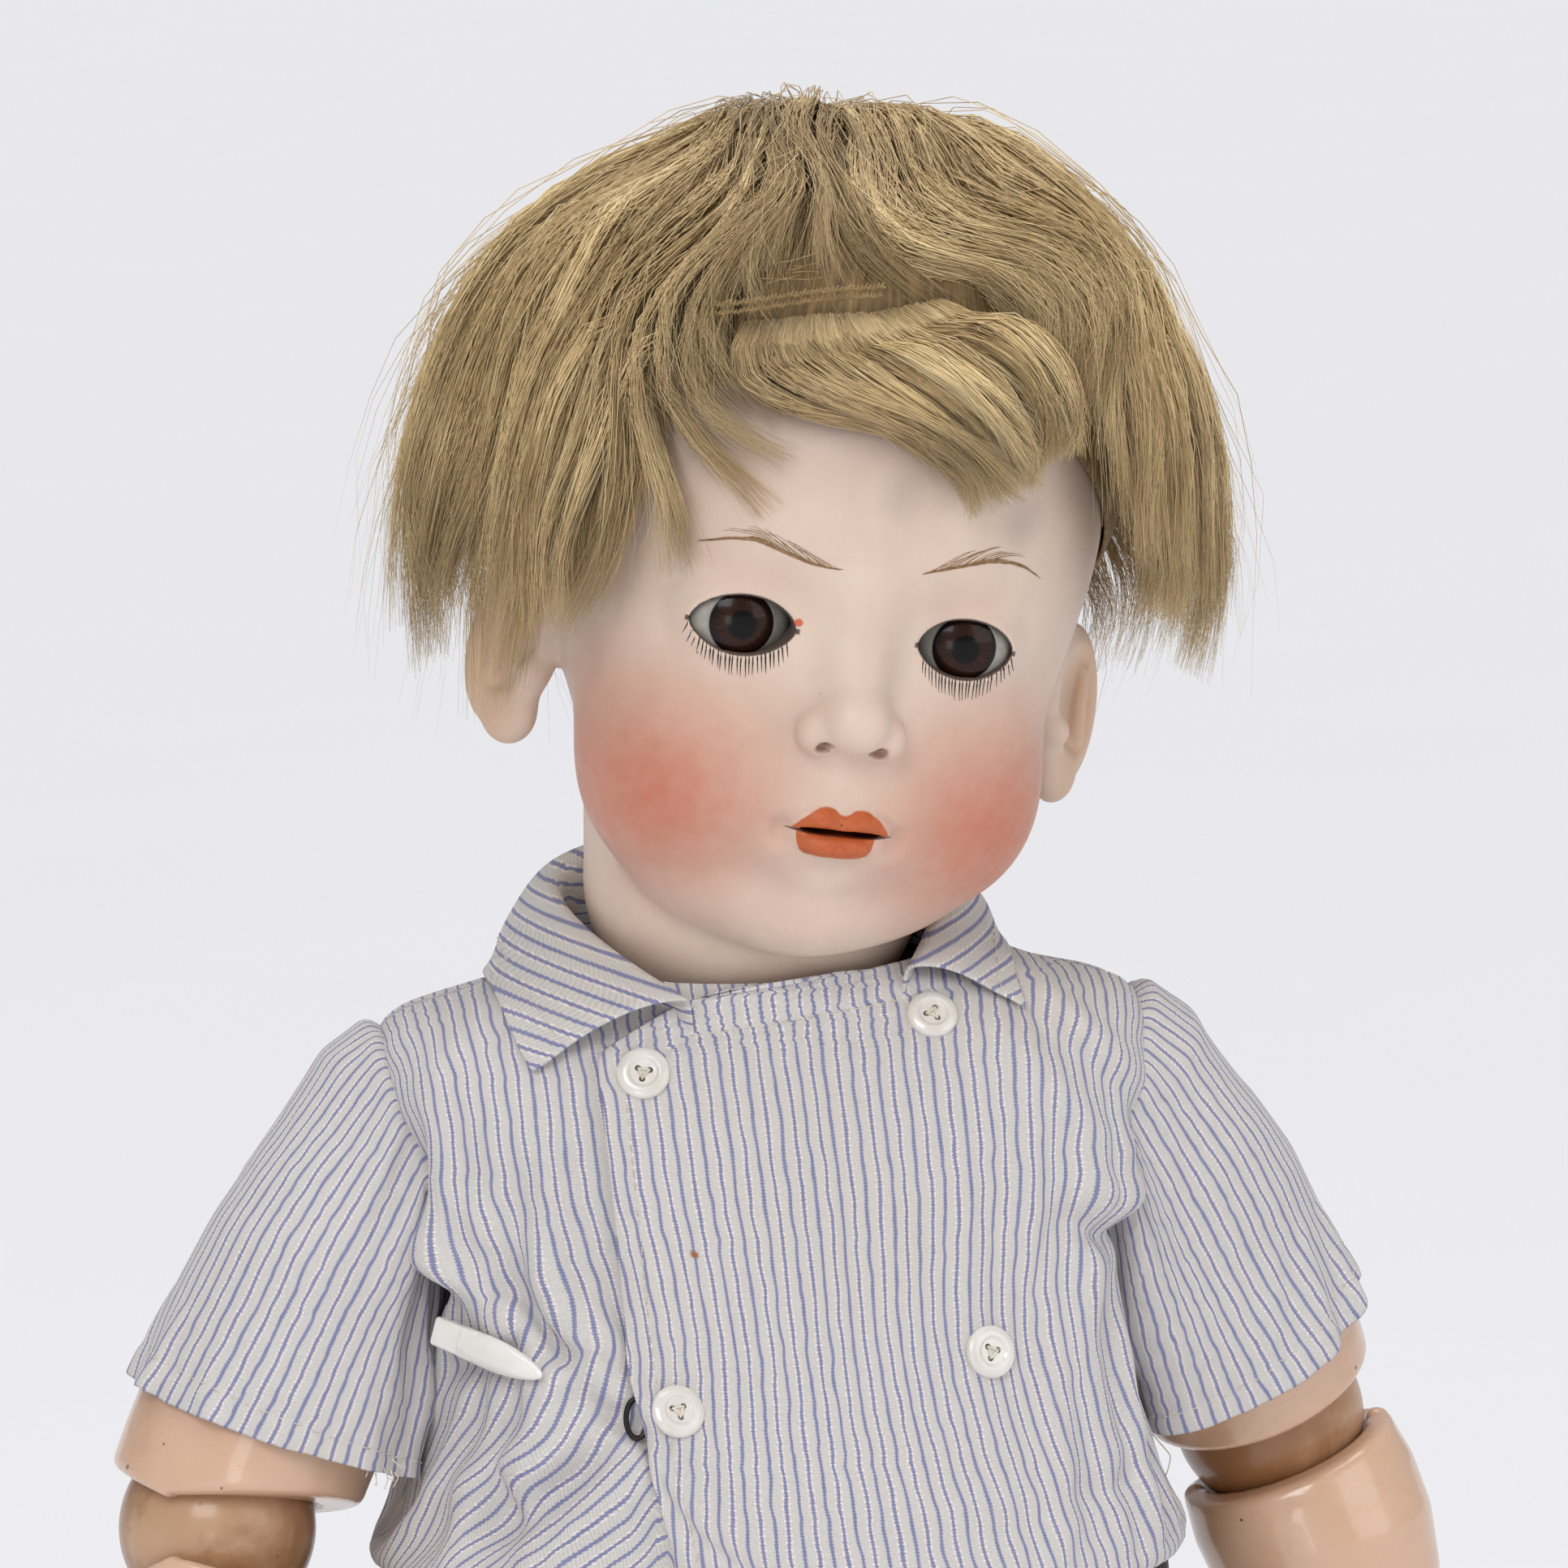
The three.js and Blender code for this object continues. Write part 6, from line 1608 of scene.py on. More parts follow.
for i in range(61):
    f0, f1 = FOLD[i], REACH[i]
    out = f1 - f0
    out[2] = 0
    out = unit(out)
    w = np.linalg.norm(f1 - f0)
    bend = f0 + out * 0.36 * w + np.array([0, 0, 2.6 if 6 < i < 55 else 1.0])
    colm = [f0.copy()]
    for j in range(1, nw + 1):
        s = j / nw
        Q = (1 - s) ** 2 * f0 + 2 * s * (1 - s) * bend + s * s * f1
        loc, nn, _, dist = bod_tree.find_nearest(Vector(Q))
        nn = np.array(nn)
        if (np.array(loc) - np.array([0, 2, 380])) @ nn < 0:
            nn = -nn
        sd = (Q - np.array(loc)) @ nn
        gap = 1.6 + (1.5 if i < 7 else 0.0) * (Q[0] > -38) + (1.2 if i > 54 else 0.0)
        if sd < gap or s > 0.8:
            Q = Q + nn * (gap - sd) * (1.0 if sd < gap else (s - 0.8) / 0.2)
        colm.append(Q)
    deep = -20 if 9 < i < 52 else -9
    stand = [np.array([FOLD[i][0] * q, 2 + (FOLD[i][1] - 2) * q, FOLD[i][2] + dz]) for q, dz in ((0.955, -0.6), (0.93, -3), (0.915, -8), (0.91, deep))]
    grid_c.append(stand[::-1] + colm)
grid_c = np.array(grid_c).transpose(1, 0, 2)
for _ in range(3):
    grid_c[6:, 1:-1] = 0.25 * grid_c[6:, :-2] + 0.5 * grid_c[6:, 1:-1] + 0.25 * grid_c[6:, 2:]
    grid_c[6:-1] = 0.25 * grid_c[5:-2] + 0.5 * grid_c[6:-1] + 0.25 * grid_c[7:]
nrc, ncc = grid_c.shape[:2]
st_c = np.stack([grid_c[..., 2] - 0.30 * np.abs(grid_c[..., 0]), np.repeat(np.arange(nrc)[:, None] * 1.1, ncc, 1), np.zeros((nrc, ncc))], -1)
iid = np.arange(nrc * ncc).reshape(nrc, ncc)
qd = np.stack([iid[:-1, :-1], iid[1:, :-1], iid[1:, 1:], iid[:-1, 1:]], -1).reshape(-1, 4)
collar = mesh("collar_cotton", grid_c.reshape(-1, 3), qd, attrs={"st": st_c.reshape(-1, 3)})
mod = collar.modifiers.new("thick", "SOLIDIFY")
mod.thickness, mod.offset = 0.0011, 0.0
mod = collar.modifiers.new("smooth", "SUBSURF")
mod.levels = mod.render_levels = 1
paint(collar, COTTON, "torso")
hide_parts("collar")
parts = []
for i in range(1, 60, 1):
    j = nrc - 6
    a, b = grid_c[j, i], grid_c[j, i + 1] if i < 60 else grid_c[j, i]
    n_ = unit(np.cross(grid_c[j + 1, i] - grid_c[j - 1, i], b - a))
    n_ = n_ if n_[2] > 0 or n_[1] * np.sign(a[1]) > 0 else -n_
    parts.append(tube([a + n_ * 0.45, a * 0.65 + b * 0.35 + n_ * 0.75, a * 0.3 + b * 0.7 + n_ * 0.45], 0.14, 5))
ob = join_parts("collar_stitches", parts)
paint(ob, THREAD, "torso")


# china buttons, three holes each with thread
def lathe(profile, n=48):
    vs, fs = [], []
    for r, z in profile:
        for i in range(n):
            a = 2 * math.pi * i / n
            vs.append((r * math.cos(a), r * math.sin(a), z))
    for j in range(len(profile) - 1):
        for i in range(n):
            a, b = j * n + i, j * n + (i + 1) % n
            fs.append((a, b, b + n, a + n))
    fs.append(tuple(range(n - 1, -1, -1)))
    fs.append(tuple((len(profile) - 1) * n + i for i in range(n)))
    return np.array(vs, float), fs


m = Mat("china")
m.color(m.ramp(m.noise(m.obj(), 120, 3, 0.5), [(0.3, (214, 208, 200)), (0.7, (230, 226, 219))]))
m.set(Roughness=0.16, Specular_IOR_Level=0.55, Coat_Weight=0.4, Coat_Roughness=0.05)
CHINA = m.m
for name, (x, z), R_, turn in (("upper_right", (-28.4, 388.7), 5.6, 0.3), ("upper_left", (33.6, 396.6), 5.4, 1.1), ("lower_right", (-25.9, 321.0), 5.7, 0.6), ("lower_left", (41.0, 327.8), 5.6, 0.1)):
    c = on_lap(x, z)
    ex = on_lap(x + 5, z) - on_lap(x - 5, z)
    ez = on_lap(x, z + 5) - on_lap(x, z - 5)
    ax = unit(np.cross(ex, ez))
    ax = ax if ax[1] < 0 else -ax
    ex = unit(ex - ax * (ex @ ax))
    Rm = np.stack([ex, np.cross(ax, ex), ax], 1)

    def btn(P, R_=R_):
        r = np.hypot(P[:, 0], P[:, 1])
        top = 2.0 - 0.5 * np.clip((r - R_ * 0.62) / (R_ * 0.38), 0, 1) ** 2 * 1.6 - 0.55 * (1 - np.clip((r - 2.6) / 0.9, 0, 1) ** 2 * (3 - 2 * np.clip((r - 2.6) / 0.9, 0, 1)))
        d = smax(smax(r - R_, P[:, 2] - top, 0.5), -P[:, 2] - 0.1, 0.3)
        for i in range(3):
            a = turn + 2 * math.pi * i / 3
            d = smax(d, -(np.hypot(P[:, 0] - 1.45 * math.cos(a), P[:, 1] - 1.45 * math.sin(a)) - 0.62), 0.2)
        return d

    v, q = surface(btn, (-6.4, -6.4, -0.8), (6.4, 6.4, 2.8), 0.15)
    ob = mesh("china_button_" + name, v @ Rm.T + c + ax * 0.3, np.asarray(q))
    paint(ob, CHINA, "torso")
    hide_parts("button_" + name)
    parts = []
    for i in range(3):
        a, b = turn + 2 * math.pi * i / 3, turn + 2 * math.pi * (i + 1) / 3
        pa, pb = np.array([1.45 * math.cos(a), 1.45 * math.sin(a)]), np.array([1.45 * math.cos(b), 1.45 * math.sin(b)])
        for off in (-0.14, 0.16):
            path = [(*pa, 0.4), (*(pa * 0.98), 1.35 + off * 0.3), (*((pa + pb) / 2 * (0.85 + off)), 1.75), (*(pb * 0.98), 1.35), (*pb, 0.4)]
            parts.append(tube(resample(path, 12), 0.26, 6))
    ob = join_parts("button_thread_" + name, parts, lambda p: p @ Rm.T + c + ax * 0.3)
    paint(ob, THREAD, "torso")

# nursery pin: white cap with a pointed end, and its wire under the cloth
m = Mat("white_plastic")
m.color(m.ramp(m.noise(m.obj(), 90, 2, 0.5), [(0.3, (226, 223, 216)), (0.7, (238, 236, 231))]))
m.set(Roughness=0.2, Specular_IOR_Level=0.5, Coat_Weight=0.3)
PLASTIC = m.m
pa = np.array([-71.5, min(front_y(-70, 334), -30) - 2.0, 334.8])
pb = np.array([-53.2, front_y(-53.2, 329.4) - 3.4, 329.4])
ax = unit(pb - pa)
sv = unit(np.cross(ax, [0, -1.0, 0]))
if sv[2] < 0:
    sv = -sv
fv = unit(np.cross(sv, ax))
if fv[1] > 0:
    fv = -fv
L_ = np.linalg.norm(pb - pa)
Rp = np.stack([ax, sv, fv], 1)


def pin_cap(P):
    band_ = smax(smax(np.abs(P[:, 1]) - 3.1, np.abs(P[:, 2]) - 1.5, 0.8), np.abs(P[:, 0] - 3.0) - 6.0, 0.8)
    x = np.clip((P[:, 0] - 6.0) / (L_ - 6.0), 0, 1.0)
    hw = 3.7 * np.sqrt(np.maximum(1 - x**2.4, 0.0)) * (0.86 + 0.14 * np.sin(np.pi * x))
    q = np.sqrt((P[:, 1] / np.maximum(hw, 0.3)) ** 2 + (P[:, 2] / np.maximum(hw * 0.72, 0.3)) ** 2)
    bullet = smax((q - 1) * np.maximum(hw * 0.72, 0.3), np.maximum(5.2 - P[:, 0], P[:, 0] - L_), 0.6)
    return smin(band_, bullet, 0.5)


v, q = surface(pin_cap, (-4.5, -5, -4), (L_ + 1.5, 5, 4), 0.26)
ob = mesh("pin_cap", v @ Rp.T + pa, np.asarray(q))
paint(ob, PLASTIC, "torso")
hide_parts("nursery_pin_head")
m = Mat("dark_wire")
m.color(m.ramp(m.noise(m.obj(), 200, 2, 0.5), [(0.3, (34, 32, 30)), (0.7, (62, 58, 54))]))
m.set(Metallic=0.8, Roughness=0.4)
DARKWIRE = m.m
wire_pts = [pa + ax * 2.0, pa - ax * 2.2 + np.array([0, 1.2, 0]), pa - ax * 2.8 + np.array([0, 4.0, -0.8]), pa - ax * 0.5 + np.array([0, 6.0, -2.0]), pa + ax * 6 + np.array([0, 5.6, -2.6])]
v, f = tube(resample(wire_pts, 24), 0.55, 8)
ob = mesh("pin_wire", v, f)
paint(ob, DARKWIRE, "torso")
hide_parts("nursery_pin_wire")
# metal eye half under the lap's edge
ec = np.array([LAP_L(320.2) - 0.6, min(front_y(-37.5, 322), front_y(-35, 322)) - 0.9, 320.2])
t_ = np.linspace(0, 2 * math.pi, 40, endpoint=False)
v, f = tube(ec + np.stack([2.3 * np.cos(t_), 0.5 * np.cos(t_), 4.2 * np.sin(t_)], 1), 0.62, 8, closed=True)
ob = mesh("eye_loop", v, f)
paint(ob, DARKWIRE, "torso")
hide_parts("fastening_eye")

# ------------------------------------------------------------------ composition limbs and joint balls
def lathe_field(P, at, ax, prof, round_=1.6):
    """Distance to a turned limb: prof lists (distance along the axis, radius)."""
    t_, r_ = np.array([p[0] for p in prof], float), np.array([p[1] for p in prof], float)
    dense = np.linspace(t_[0], t_[-1], 240)
    rd = np.interp(dense, t_, r_)
    for _ in range(30):
        rd[1:-1] = 0.25 * rd[:-2] + 0.5 * rd[1:-1] + 0.25 * rd[2:]
    at, ax = np.asarray(at, np.float32), np.asarray(ax, np.float32)
    q = P - at
    t = q @ ax
    r = np.sqrt(np.maximum((q * q).sum(1) - t * t, 0))
    R = np.interp(t, dense, rd)
    slope = np.interp(t, dense, np.gradient(rd, dense))
    d = (r - R) / np.sqrt(1 + np.clip(slope, -1, 1) ** 2)
    return smax(d, np.maximum(t_[0] - t, t - t_[-1]), round_)


def bevel_field(P, at, ax, fold, angle):
    """Distance to the wedge that a slanted end cut takes off, on the fold side; ax leaves the limb."""
    a = math.radians(angle)
    n = unit(np.asarray(fold, float) - np.asarray(ax, float) * np.dot(fold, ax))
    m_, q_ = math.sin(a) * n + math.cos(a) * np.asarray(ax), math.cos(a) * n - math.sin(a) * np.asarray(ax)
    v = P - np.asarray(at, np.float32)
    return np.maximum(-(v @ m_.astype(np.float32)), -(v @ q_.astype(np.float32)))


def bore_field(P, a, b, r):
    return cap(P, a, b, r, r)


LSTEP = 1.15


def composition(name, tone=0):
    """Varnished flesh-coloured composition with specks, grime and yellowed patches."""
    m = Mat(name)
    o = m.obj()
    base = [((205, 165, 136), (216, 180, 153), (192, 146, 109)), ((172, 131, 97), (196, 158, 124), (152, 104, 63))][tone]
    c = m.ramp(m.noise(o, 22, 4, 0.55), [(0.3, base[0]), (0.7, base[1])])
    yellow = m.smooth(m.noise(o, 30, 5, 0.6, distortion=0.6), 0.50 if tone == 0 else 0.44, 0.72 if tone == 0 else 0.62, 0.0, 0.55 if tone == 0 else 0.85)
    c = m.mix(yellow, c, base[2])
    smudge = m.smooth(m.noise(m.vec(*[m.math("MULTIPLY", q, 1.0) for q in m.xyz(o)]), 52, 4, 0.62), 0.60, 0.80, 0.0, 0.32 if tone == 0 else 0.4)
    c = m.mix(smudge, c, (150, 128, 118) if tone == 0 else (150, 108, 72))
    sp = m.voronoi(o, 260)
    sel = m.voronoi(o, 260, out="Color")
    sx_, sy_, sz_ = m.xyz(sel)
    speck = m.math("MULTIPLY", m.smooth(m.math("SUBTRACT", sp, m.math("MULTIPLY", sz_, 0.10)), 0.02, 0.10, 1.0, 0.0), m.smooth(sx_, 0.86 if tone == 0 else 0.80, 0.9, 0.0, 0.85))
    c = m.mix(speck, c, (84, 56, 40))
    fine = m.math("MULTIPLY", m.smooth(m.voronoi(o, 620), 0.05, 0.16, 1.0, 0.0), m.smooth(m.noise(o, 60, 2, 0.5), 0.52, 0.66, 0.0, 0.45))
    c = m.mix(fine, c, (150, 104, 74))
    m.color(c)
    m.normal(m.bump(m.math("ADD", m.noise(o, 120, 3, 0.5), m.math("MULTIPLY", speck, -0.6)), 0.0005, 0.30))
    m.rough(m.math("ADD", m.math("MULTIPLY", m.noise(o, 70, 3, 0.5), 0.14), 0.16 if tone == 0 else 0.26))
    m.set(Specular_IOR_Level=0.55, Coat_Weight=0.5 if tone == 0 else 0.25, Coat_Roughness=0.06, Subsurface_Weight=0.06, Subsurface_Radius=(0.004, 0.0018, 0.001), Subsurface_Scale=0.5)
    return m.m


FLESH, BALL = composition("composition"), composition("ball_composition", 1)


def limb(name, f, lo, hi, body, node, material=None, slot="composition", step=None):
    v, q = surface(f, lo, hi, step or LSTEP)
    ob = mesh(name, v, np.asarray(q))
    paint(ob, material or FLESH, body)
    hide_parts(node)
    return ob


def around(*pts, pad=34):
    p = np.array(pts)
    return p.min(0) - pad, p.max(0) + pad


UP_PROF = [(6, 17.6), (7.5, 18.8), (17, 21.8), (34, 25), (56, 26.6), (78, 26.6), (88, 26.0)]
FO_PROF = [(8, 24.0), (10, 24.6), (20, 26), (32, 25.4), (45, 22), (56, 17.4), (64, 14.4), (66, 14.2)]
for k, sg in (("r", -1), ("l", 1)):
    u, f_, e, w_, s_ = U[k], F[k], E[k], WR[k], S[k]
    inner = unit(f_ - u * (f_ @ u))

    def upper(P):
        d = lathe_field(P, s_, u, UP_PROF[:-2] + [(82, 26.6), (92, 26.0)] if k == "r" else UP_PROF, 2.2)
        d = smax(d, -bevel_field(P, e - (5 if k == "r" else 9) * u, u, inner, 24 if k == "r" else 4), 2.0)
        d = smax(d, -sph(P, e, 21.8), 1.2)
        d = smax(d, -sph(P, s_, 18.2), 1.0)
        return smax(d, -bore_field(P, s_, e, 6.8), 1.0)

    def fore(P):
        d = lathe_field(P, e, f_, FO_PROF, 2.2)
        d = smax(d, -bevel_field(P, e + 9 * f_, -f_, -u, 33 if k == "r" else 12), 2.0)
        d = smax(d, -sph(P, e, 21.8), 1.2)
        d = smax(d, -sph(P, w_, 11.8), 0.9)
        return smax(d, -bore_field(P, e, w_, 6.8), 1.0)

    limb("arm_upper_" + k, upper, *around(s_, e), "upper_arm_" + k, "upper_arm_" + k)
    limb("arm_fore_" + k, fore, *around(e, w_), "forearm_" + k, "forearm_" + k)

    def elbow(P):
        d = smax(sph(P, e, 21.0), -bore_field(P, e, e - 40 * u, 6.2), 1.2)
        return smax(d, -bore_field(P, e, e + 40 * f_, 6.2), 1.2)

    def shoulder(P):
        d = smax(sph(P, s_, 17.4), -bore_field(P, s_, s_ + 40 * u, 6.2), 1.2)
        return smax(d, -bore_field(P, s_, s_ + np.array([-sg * 30, 5, 0]), 6.2), 1.2)

    limb("ball_elbow_" + k, elbow, e - 23, e + 23, "elbow_" + k, "elbow_ball_" + k, BALL, "ball_composition")
    limb("ball_shoulder_" + k, shoulder, s_ - 20, s_ + 20, "shoulder_" + k, "shoulder_ball_" + k, BALL, "ball_composition")
    # hand: local x to the body, y across the knuckles, z along the forearm
    zx = f_
    xx = unit(np.array([-sg, 0, 0]) - f_ * (-sg * f_[0]))
    yy = np.cross(zx, xx)
    fw = 1 if yy[1] < 0 else -1
    HM = np.stack([xx, yy, zx], 1).astype(np.float32)

    def hand(P):
        q = (P - w_.astype(np.float32)) @ HM
        d = sph(q, (0, 0, 0), 10.8)
        d = smin(d, cap(q, (0, 0, 6), (0.3, 0, 14), 8.0, 8.6), 3.0)
        palm = smax(ell(q, (1, 0, 25), (7.6, 14.2, 15.5)), -ell(q, (11, -1 * fw, 27), (6.5, 9, 11)), 3.0)
        d = smin(d, palm, 4.0)
        for i in range(4):
            y = fw * (9.4 - 6.3 * i)
            ln = [15, 17.5, 16.5, 12][i]
            a, b, c = (0.2, y * 0.93, 33), (1.8, y * 0.98, 33 + ln * 0.55), (5.2, y * 0.96, 34 + ln)
            fi = smin(cap(q, a, b, 3.9, 3.55), cap(q, b, c, 3.55, 2.9), 1.0)
            fi = smax(fi, -ell(q, (c[0] - 3.2, c[1], c[2] + 0.6), (1.1, 2.0, 2.6)), 0.5)
            d = smin(d, fi, 1.3)
            d = d + 0.35 * np.exp(-((np.abs(q[:, 2] - 35 - ln * 0.45) / 0.7) ** 2 + ((q[:, 1] - y) / 3.0) ** 2)) * (q[:, 0] > 2)
        th = smin(cap(q, (2, 8.5 * fw, 14), (3.6, 15 * fw, 24), 5.0, 4.3), cap(q, (3.6, 15 * fw, 24), (4.6, 17.4 * fw, 32.5), 4.2, 3.3), 1.5)
        th = smax(th, -ell(q, (1.4, 18.4 * fw, 34), (1.0, 2.0, 2.6)), 0.5)
        d = smin(d, th, 3.0)
        for i in range(3):
            y = fw * (6.2 - 6.3 * i)
            d = smax(d, -ell(q, (-6.6, y * 0.93, 33), (1.6, 0.9, 6)), 1.2)
        return smax(d, -bore_field(q, (0, 0, -30), (0, 0, 4), 2.1), 0.5)

    limb("doll_hand_" + k, hand, *around(w_, w_ + f_ * 52, pad=24), "hand_" + k, "hand_" + k, step=0.75)

    # legs
    td = unit(K[k] - H[k])
    TL = np.linalg.norm(K[k] - H[k])
    ld = unit(A[k] - K[k])
    LM = np.linalg.norm(A[k] - K[k])
    back = np.array([0.0, 1, 0])

    def thigh(P):
        d = lathe_field(P, H[k], td, [(0, 27.5), (18, 29.5), (42, 31.5), (66, 30), (TL - 12, 27.6), (TL - 8, 25.6)], 2.0)
        d = smin(d, sph(P, H[k], 27.8), 1.5)
        d = smax(d, -bevel_field(P, K[k] - 9 * td, td, back, 34), 2.0)
        d = smax(d, -sph(P, K[k], 22.3), 1.2)
        return smax(d, -bore_field(P, H[k] - 40 * td, K[k], 7.2), 1.0)

    def lower(P):
        d = lathe_field(P, K[k], ld, [(8, 24.4), (9.6, 25.2), (18, 26.4), (34, 26.8), (52, 24), (70, 19.5), (84, 17), (LM + 6, 16.6)], 2.0)
        d = smin(d, ell(P, K[k] + ld * 38 + np.array([0, 9, 0]), (20, 19.5, 30)), 6.0)
        x = A[k][0]
        ft = ell(P, (x, 6, 17), (17.2, 19.6, 20))
        ft = smin(ft, ell(P, (x + sg * 1.0, -20, 12), (18, 33, 16)), 8.0)
        ft = smin(ft, ell(P, (x, -8, 25), (14.5, 21, 17)), 8.0)
        ft = smin(ft, ell(P, (x + sg * 0.6, -40, 9), (19.0, 16, 9.5)), 6.0)
        d = smin(d, ft, 7.0)
        for i in range(5):
            tx = x + sg * (-12.6 + 6.5 * i) if i else x + sg * -12.6
            r = [5.4, 4.0, 3.8, 3.5, 3.2][i]
            ty = [-54.5, -55.8, -54.2, -51.4, -47.6][i]
            toe = ell(P, (tx, ty, r + 0.9), (r * 0.98, 6.6 if i else 7.6, r * 1.05))
            toe = smax(toe, -ell(P, (tx, ty - 4.6, 2 * r + 1.6), (r * 0.6, 2.4, 1.3)), 0.6)
            d = smin(d, toe, 1.6)
        for i in range(2):
            ank = (x + (-1, 1)[i] * 15.2, 5, 33)
            d = smin(d, ell(P, ank, (3.4, 5, 5)), 3.5)
        d = smax(d, -P[:, 2], 0.8)
        d = smax(d, -bevel_field(P, K[k] + 9 * ld, -ld, back, 34), 2.0)
        d = smax(d, -sph(P, K[k], 22.3), 1.2)
        return smax(d, -bore_field(P, K[k], K[k] + ld * 52, 6.8), 1.0)

    def knee(P):
        d = smax(sph(P, K[k], 21.5), -bore_field(P, K[k], K[k] - 40 * td, 6.2), 1.2)
        return smax(d, -bore_field(P, K[k], K[k] + 40 * ld, 6.2), 1.2)

    limb("leg_upper_" + k, thigh, *around(H[k], K[k], pad=38), "thigh_" + k, "thigh_" + k)
    limb("leg_lower_" + k, lower, (A[k][0] - 34, -68, -3), (A[k][0] + 34, 40, 126), "lower_leg_" + k, "lower_leg_" + k)
    limb("ball_knee_" + k, knee, K[k] - 23.5, K[k] + 23.5, "knee_" + k, "knee_ball_" + k, BALL, "ball_composition")

# ------------------------------------------------------------------ gathered dark wool shorts
ST_A = table([(198, 57), (206, 67), (214, 74), (226, 80.5), (244, 85), (262, 85.5), (276, 84), (281, 82), (285, 80.5)])
ST_D = table([(198, 0.76), (206, 0.73), (214, 0.71), (226, 0.76), (244, 0.83), (285, 0.82)])
ST_C = table([(198, 3), (214, 3), (244, 0), (285, -2)])


def seat_field(P):
    z = np.clip(P[:, 2], 198, 285)
    a = ST_A(z) - 5.0
    b = a * ST_D(z)
    q = np.sqrt((P[:, 0] / a) ** 2 + ((P[:, 1] - ST_C(z)) / b) ** 2)
    return (q - 1) * b


n_s, n_r = ((200, 42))
srng2 = np.random.RandomState(17)
seat0 = np.zeros((n_r, n_s, 3))
ths = np.linspace(math.pi, 3 * math.pi, n_s, endpoint=False)
gath = 0.9 * np.sin(ths * 37 + 2.0 * np.sin(ths * 5)) + 0.7 * np.sin(ths * 23 + 1.3)
seat_z = np.linspace(285, 198, n_r)
for j, z in enumerate(seat_z):
    a = ST_A(z)
    wave = gath * (0.9 + 0.9 * math.exp(-((285 - z) / 26)))
    rr = 1 + wave / 82
    seat0[j] = np.stack([a * rr * np.cos(ths), ST_C(z) + a * ST_D(z) * rr * np.sin(ths), np.full(n_s, z)], 1)
pn = np.zeros((n_r, n_s), bool)
pn[:2], pn[-1:] = True, True
gu = np.ones((n_r, n_s)) * 1.0
gu[3:-2] = 1.05
gv = np.ones((n_r, n_s)) * 1.06
SEATG = cloth(seat0 + srng2.normal(0, 0.25, seat0.shape) * (~pn)[..., None], True, gu, gv, pn, [(seat_field, 0.0)], 90, 9, 0.06, 0.12)
# waistband: the top turns in over the shirt
band = SEATG[:1] * np.array([0.965, 0.965, 1.0]) + np.array([0, 0, -1.5])
band2 = SEATG[:1] * np.array([0.985, 0.985, 1.0]) + np.array([0, 0, 1.2])
under = SEATG[-1:] * np.array([0.72, 0.72, 1.0]) + np.array([0, 0, -2.5])
under2 = SEATG[-1:] * np.array([0.2, 0.2, 1.0]) + np.array([0, 0, -2.0])
full = np.concatenate([band, band2, SEATG, under, under2])
nr_ = len(full)
iid = np.arange(nr_ * n_s).reshape(nr_, n_s)
rt = np.roll(iid, -1, 1)
qd = np.stack([iid[:-1], iid[1:], rt[1:], rt[:-1]], -1).reshape(-1, 4)
seat = mesh("shorts_seat_cloth", full.reshape(-1, 3), qd)
mod = seat.modifiers.new("smooth", "SUBSURF")
mod.levels = mod.render_levels = 1
m = Mat("dark_wool")
o = m.obj()
ox, oy, oz = m.xyz(o)
tw = m.math("SINE", m.math("MULTIPLY", m.math("ADD", m.math("ADD", ox, oy), oz), 5200.0))
fz = m.noise(o, 900, 3, 0.65)
c = m.ramp(m.math("ADD", m.math("MULTIPLY", tw, 0.12), fz), [(0.3, (46, 42, 41)), (0.55, (66, 61, 59)), (0.8, (92, 86, 83))])
c = m.mix(m.smooth(m.noise(o, 26, 3, 0.5), 0.5, 0.75, 0.0, 0.35), c, (86, 78, 72))
m.color(c)
m.normal(m.bump(m.math("ADD", fz, m.math("MULTIPLY", tw, 0.3)), 0.0004, 0.6))
m.set(Roughness=0.92, Specular_IOR_Level=0.15, Sheen_Weight=0.35, Sheen_Roughness=0.5)
WOOL = m.m
paint(seat, WOOL, "torso")
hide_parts("shorts_seat")
